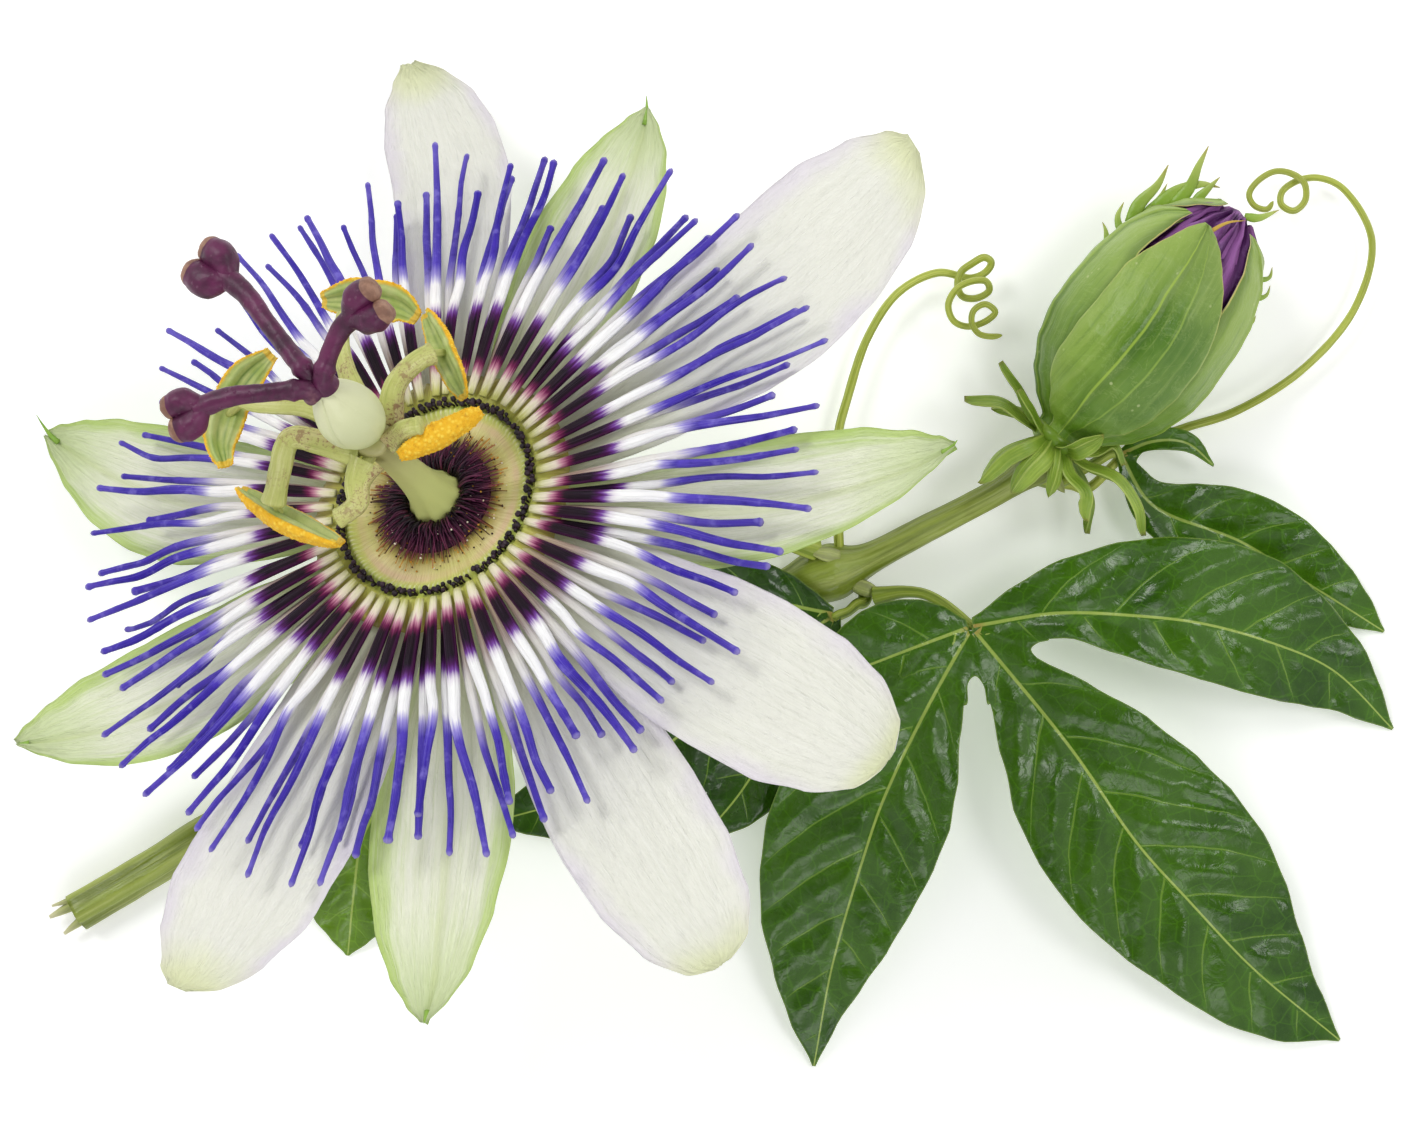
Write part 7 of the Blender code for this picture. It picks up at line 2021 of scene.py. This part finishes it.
def materials():
    MAT["petal"] = petal_material()
    MAT["sepal"] = sepal_material()
    MAT["awn"] = awn_material()
    MAT["corona"] = corona_material()
    MAT["bead"] = bead_material()
    MAT["dish"] = dish_material()
    MAT["hair"] = hair_material()
    MAT["column"] = column_material("column_green", rgb("ccd27e"), rgb("b5b078"), rgb("cdd388"), 0.0)
    MAT["ovary"] = column_material("ovary_pale", rgb("a9bd58"), rgb("dcdeb4"), rgb("d6dca8"), 0.0)
    MAT["style"] = style_material()
    MAT["stamen"] = stamen_material()
    MAT["anther"] = anther_material()
    MAT["leaf"] = leaf_material("leaf_large", 6.0)
    MAT["leaf_b"] = leaf_material("leaf_shaded", 4.6, "163402", "284a05")
    MAT["leaf_mid"] = leaf_material("leaf_mid", 4.6, "264a03", "40680a")
    MAT["leaf_small"] = leaf_material("leaf_small", 4.0, "42640a", "5b7d18")
    MAT["stem"] = stem_material("stem_ribbed", "6c7a1c", "8f9e3c", "c0c674")
    MAT["stalk"] = stem_material("stalk_green", "75891f", "9fae3e", "ccd47c", mark_share=0.05)
    MAT["tendril"] = stem_material("tendril_fresh", "8e9a28", "afba44", "d8dc80", mark_share=0.0)
    MAT["bud_sepal"] = bud_sepal_material()
    MAT["bud_petal"] = bud_petal_material()
    MAT["bract"] = bract_material()
    MAT["floor"] = floor_material()


# ---------------------------------------------------------------- stage

def light(name, place, aim, size, power, colour=(1, 1, 1)):
    data = bpy.data.lights.new(name, "AREA")
    data.shape = "DISK"
    data.size = size
    data.energy = power
    data.color = colour
    obj = bpy.data.objects.new(name, data)
    bpy.context.scene.collection.objects.link(obj)
    obj.location = place
    obj.rotation_euler = (Vector(aim) - Vector(place)).to_track_quat("-Z", "Y").to_euler()
    return obj


def stage():
    bm = bmesh.new()
    size, n = 3.0, 24
    grid = [[bm.verts.new((-size + 2 * size * i / n, -size + 2 * size * j / n, 0.0)) for j in range(n + 1)]
            for i in range(n + 1)]
    for i in range(n):
        for j in range(n):
            bm.faces.new((grid[i][j], grid[i + 1][j], grid[i + 1][j + 1], grid[i][j + 1]))
    mesh = bpy.data.meshes.new("floor")
    bm.to_mesh(mesh)
    bm.free()
    floor = bpy.data.objects.new("floor", mesh)
    bpy.context.scene.collection.objects.link(floor)
    mesh.materials.append(MAT["floor"])

    world_ = bpy.data.worlds.new("studio")
    bpy.context.scene.world = world_
    world_.use_nodes = True
    tree = world_.node_tree
    back = tree.nodes["Background"]
    back.inputs[0].default_value = (1.0, 1.0, 1.0, 1.0)
    # a studio dome: a bright band round the object and a dimmer top
    place = tree.nodes.new("ShaderNodeTexCoord")
    split = tree.nodes.new("ShaderNodeSeparateXYZ")
    dome = tree.nodes.new("ShaderNodeValToRGB")
    tree.links.new(place.outputs["Generated"], split.inputs[0])
    tree.links.new(split.outputs[2], dome.inputs[0])
    stops = ((0.0, 0.6), (0.35, 0.7), (0.6, 0.86), (0.78, 0.72), (0.88, 0.2), (1.0, 0.06))
    e = dome.color_ramp.elements
    while len(e) < len(stops):
        e.new(0.5)
    for item, (at, value) in zip(e, stops):
        item.position = at
        item.color = (value, value, value, 1.0)
    tree.links.new(dome.outputs[0], back.inputs[1])
    light("key", (-0.72, 0.72, 1.15), (0, 0, 0.01), 0.55, 8.0)
    light("side", (0.62, 0.12, 1.15), (0.02, 0, 0.01), 0.42, 3.4)
    light("fill", (0.1, -1.0, 1.1), (0, 0, 0.01), 0.7, 3.0)

    bpy.context.scene.view_settings.view_transform = "Standard"
    cam = bpy.data.cameras.new("camera")
    cam.lens = 90.63
    cam.sensor_width = 36.0
    cam.clip_start = 0.01
    cam.clip_end = 20.0
    eye = bpy.data.objects.new("camera", cam)
    bpy.context.scene.collection.objects.link(eye)
    eye.location = (-ORIGIN[0] * MM, -ORIGIN[1] * MM, 0.326 + LIFT * MM)
    eye.rotation_euler = (0.0, 0.0, 0.0)
    bpy.context.scene.camera = eye


# ---------------------------------------------------------------- the sprig

def main():
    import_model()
    materials()

    for tepal in TEPALS:
        tepal_piece(tepal, MAT["petal"] if tepal[1] == "petal" else MAT["sepal"])
    corona_piece("corona_upper_threads", "corona_upper", CORONA_COUNT, 0.0, 0.6, 34.6, 0.06, 0.5, 4, MAT["corona"])
    corona_piece("corona_lower_threads", "corona_lower", CORONA_COUNT, 180.0 / CORONA_COUNT, -0.3, 33.0, 0.09, -0.2, 9, MAT["corona"], True)
    bead_piece(MAT["bead"])
    dish_piece(MAT["dish"])
    hair_piece(MAT["hair"])
    column_piece(MAT["column"])
    ovary_piece(MAT["ovary"])
    for i in range(3):
        style_piece(i, MAT["style"])
    for i in range(6):
        stamen_piece(i, MAT["stamen"])
    for i in range(5):
        anther_piece(i, MAT["anther"])

    stem_piece(MAT["stem"])
    # the stalks run on a little at both ends, into the vine and the leaf
    stalk("petiole_a_stalk", PETIOLE_A + ((24.9, -6.0, 6.4, 0.4),), MAT["stalk"], "petiole_a", swell=0.25)
    stalk("petiole_b_stalk", ((15.2, -2.5, 2.1, 0.6),) + PETIOLE_B + ((11.9, -5.2, 4.75, 0.4),), MAT["stalk"], "petiole_b", swell=0.2)
    stalk("petiole_c_stalk", PETIOLE_C + ((-29.2, -21.9, 3.25, 0.4), (-29.5, -22.8, 3.3, 0.35)), MAT["stalk"], "petiole_c", swell=0.2)
    stalk("petiole_d_stalk", ((30.2, 7.7, 5.5, 0.65),) + PETIOLE_D + ((38.7, 9.7, 3.5, 0.35),), MAT["stalk"], "petiole_d", swell=0.2)
    # the stalk runs on a little, into the cup
    stalk("peduncle_stalk", PEDUNCLE + ((-19.3, 1.95, 20.45, 1.3),), MAT["stalk"], "peduncle",
          count=126, sides=24)
    tendril("tendril_left_thread", ((12.7, 0.4, 2.2),) + TENDRIL_LEFT, MAT["tendril"], "tendril_left")
    tendril("tendril_right_thread", ((30.4, 7.9, 5.0), (32.4, 7.2, 3.9), (34.0, 6.9, 3.5)) + TENDRIL_RIGHT, MAT["tendril"], "tendril_right")

    leaf_piece("leaf_a", LEAF_A, WEBS_A, MAT["leaf"], 0.5, 2.0)
    leaf_piece("leaf_b", LEAF_B, WEBS_B, MAT["leaf_b"], 0.55, 7.0, 4.6)
    leaf_piece("leaf_c", LEAF_C, (), MAT["leaf_small"], 0.45, 11.0, 4.0)
    leaf_piece("leaf_d", LEAF_D, WEBS_D, MAT["leaf_mid"], 0.42, 15.0, 4.6)

    for i in range(5):
        bud_sepal_piece(i, MAT["bud_sepal"])
    bud_core_piece(MAT["bud_petal"])
    bract_piece(MAT["bract"])

    stage()


main()
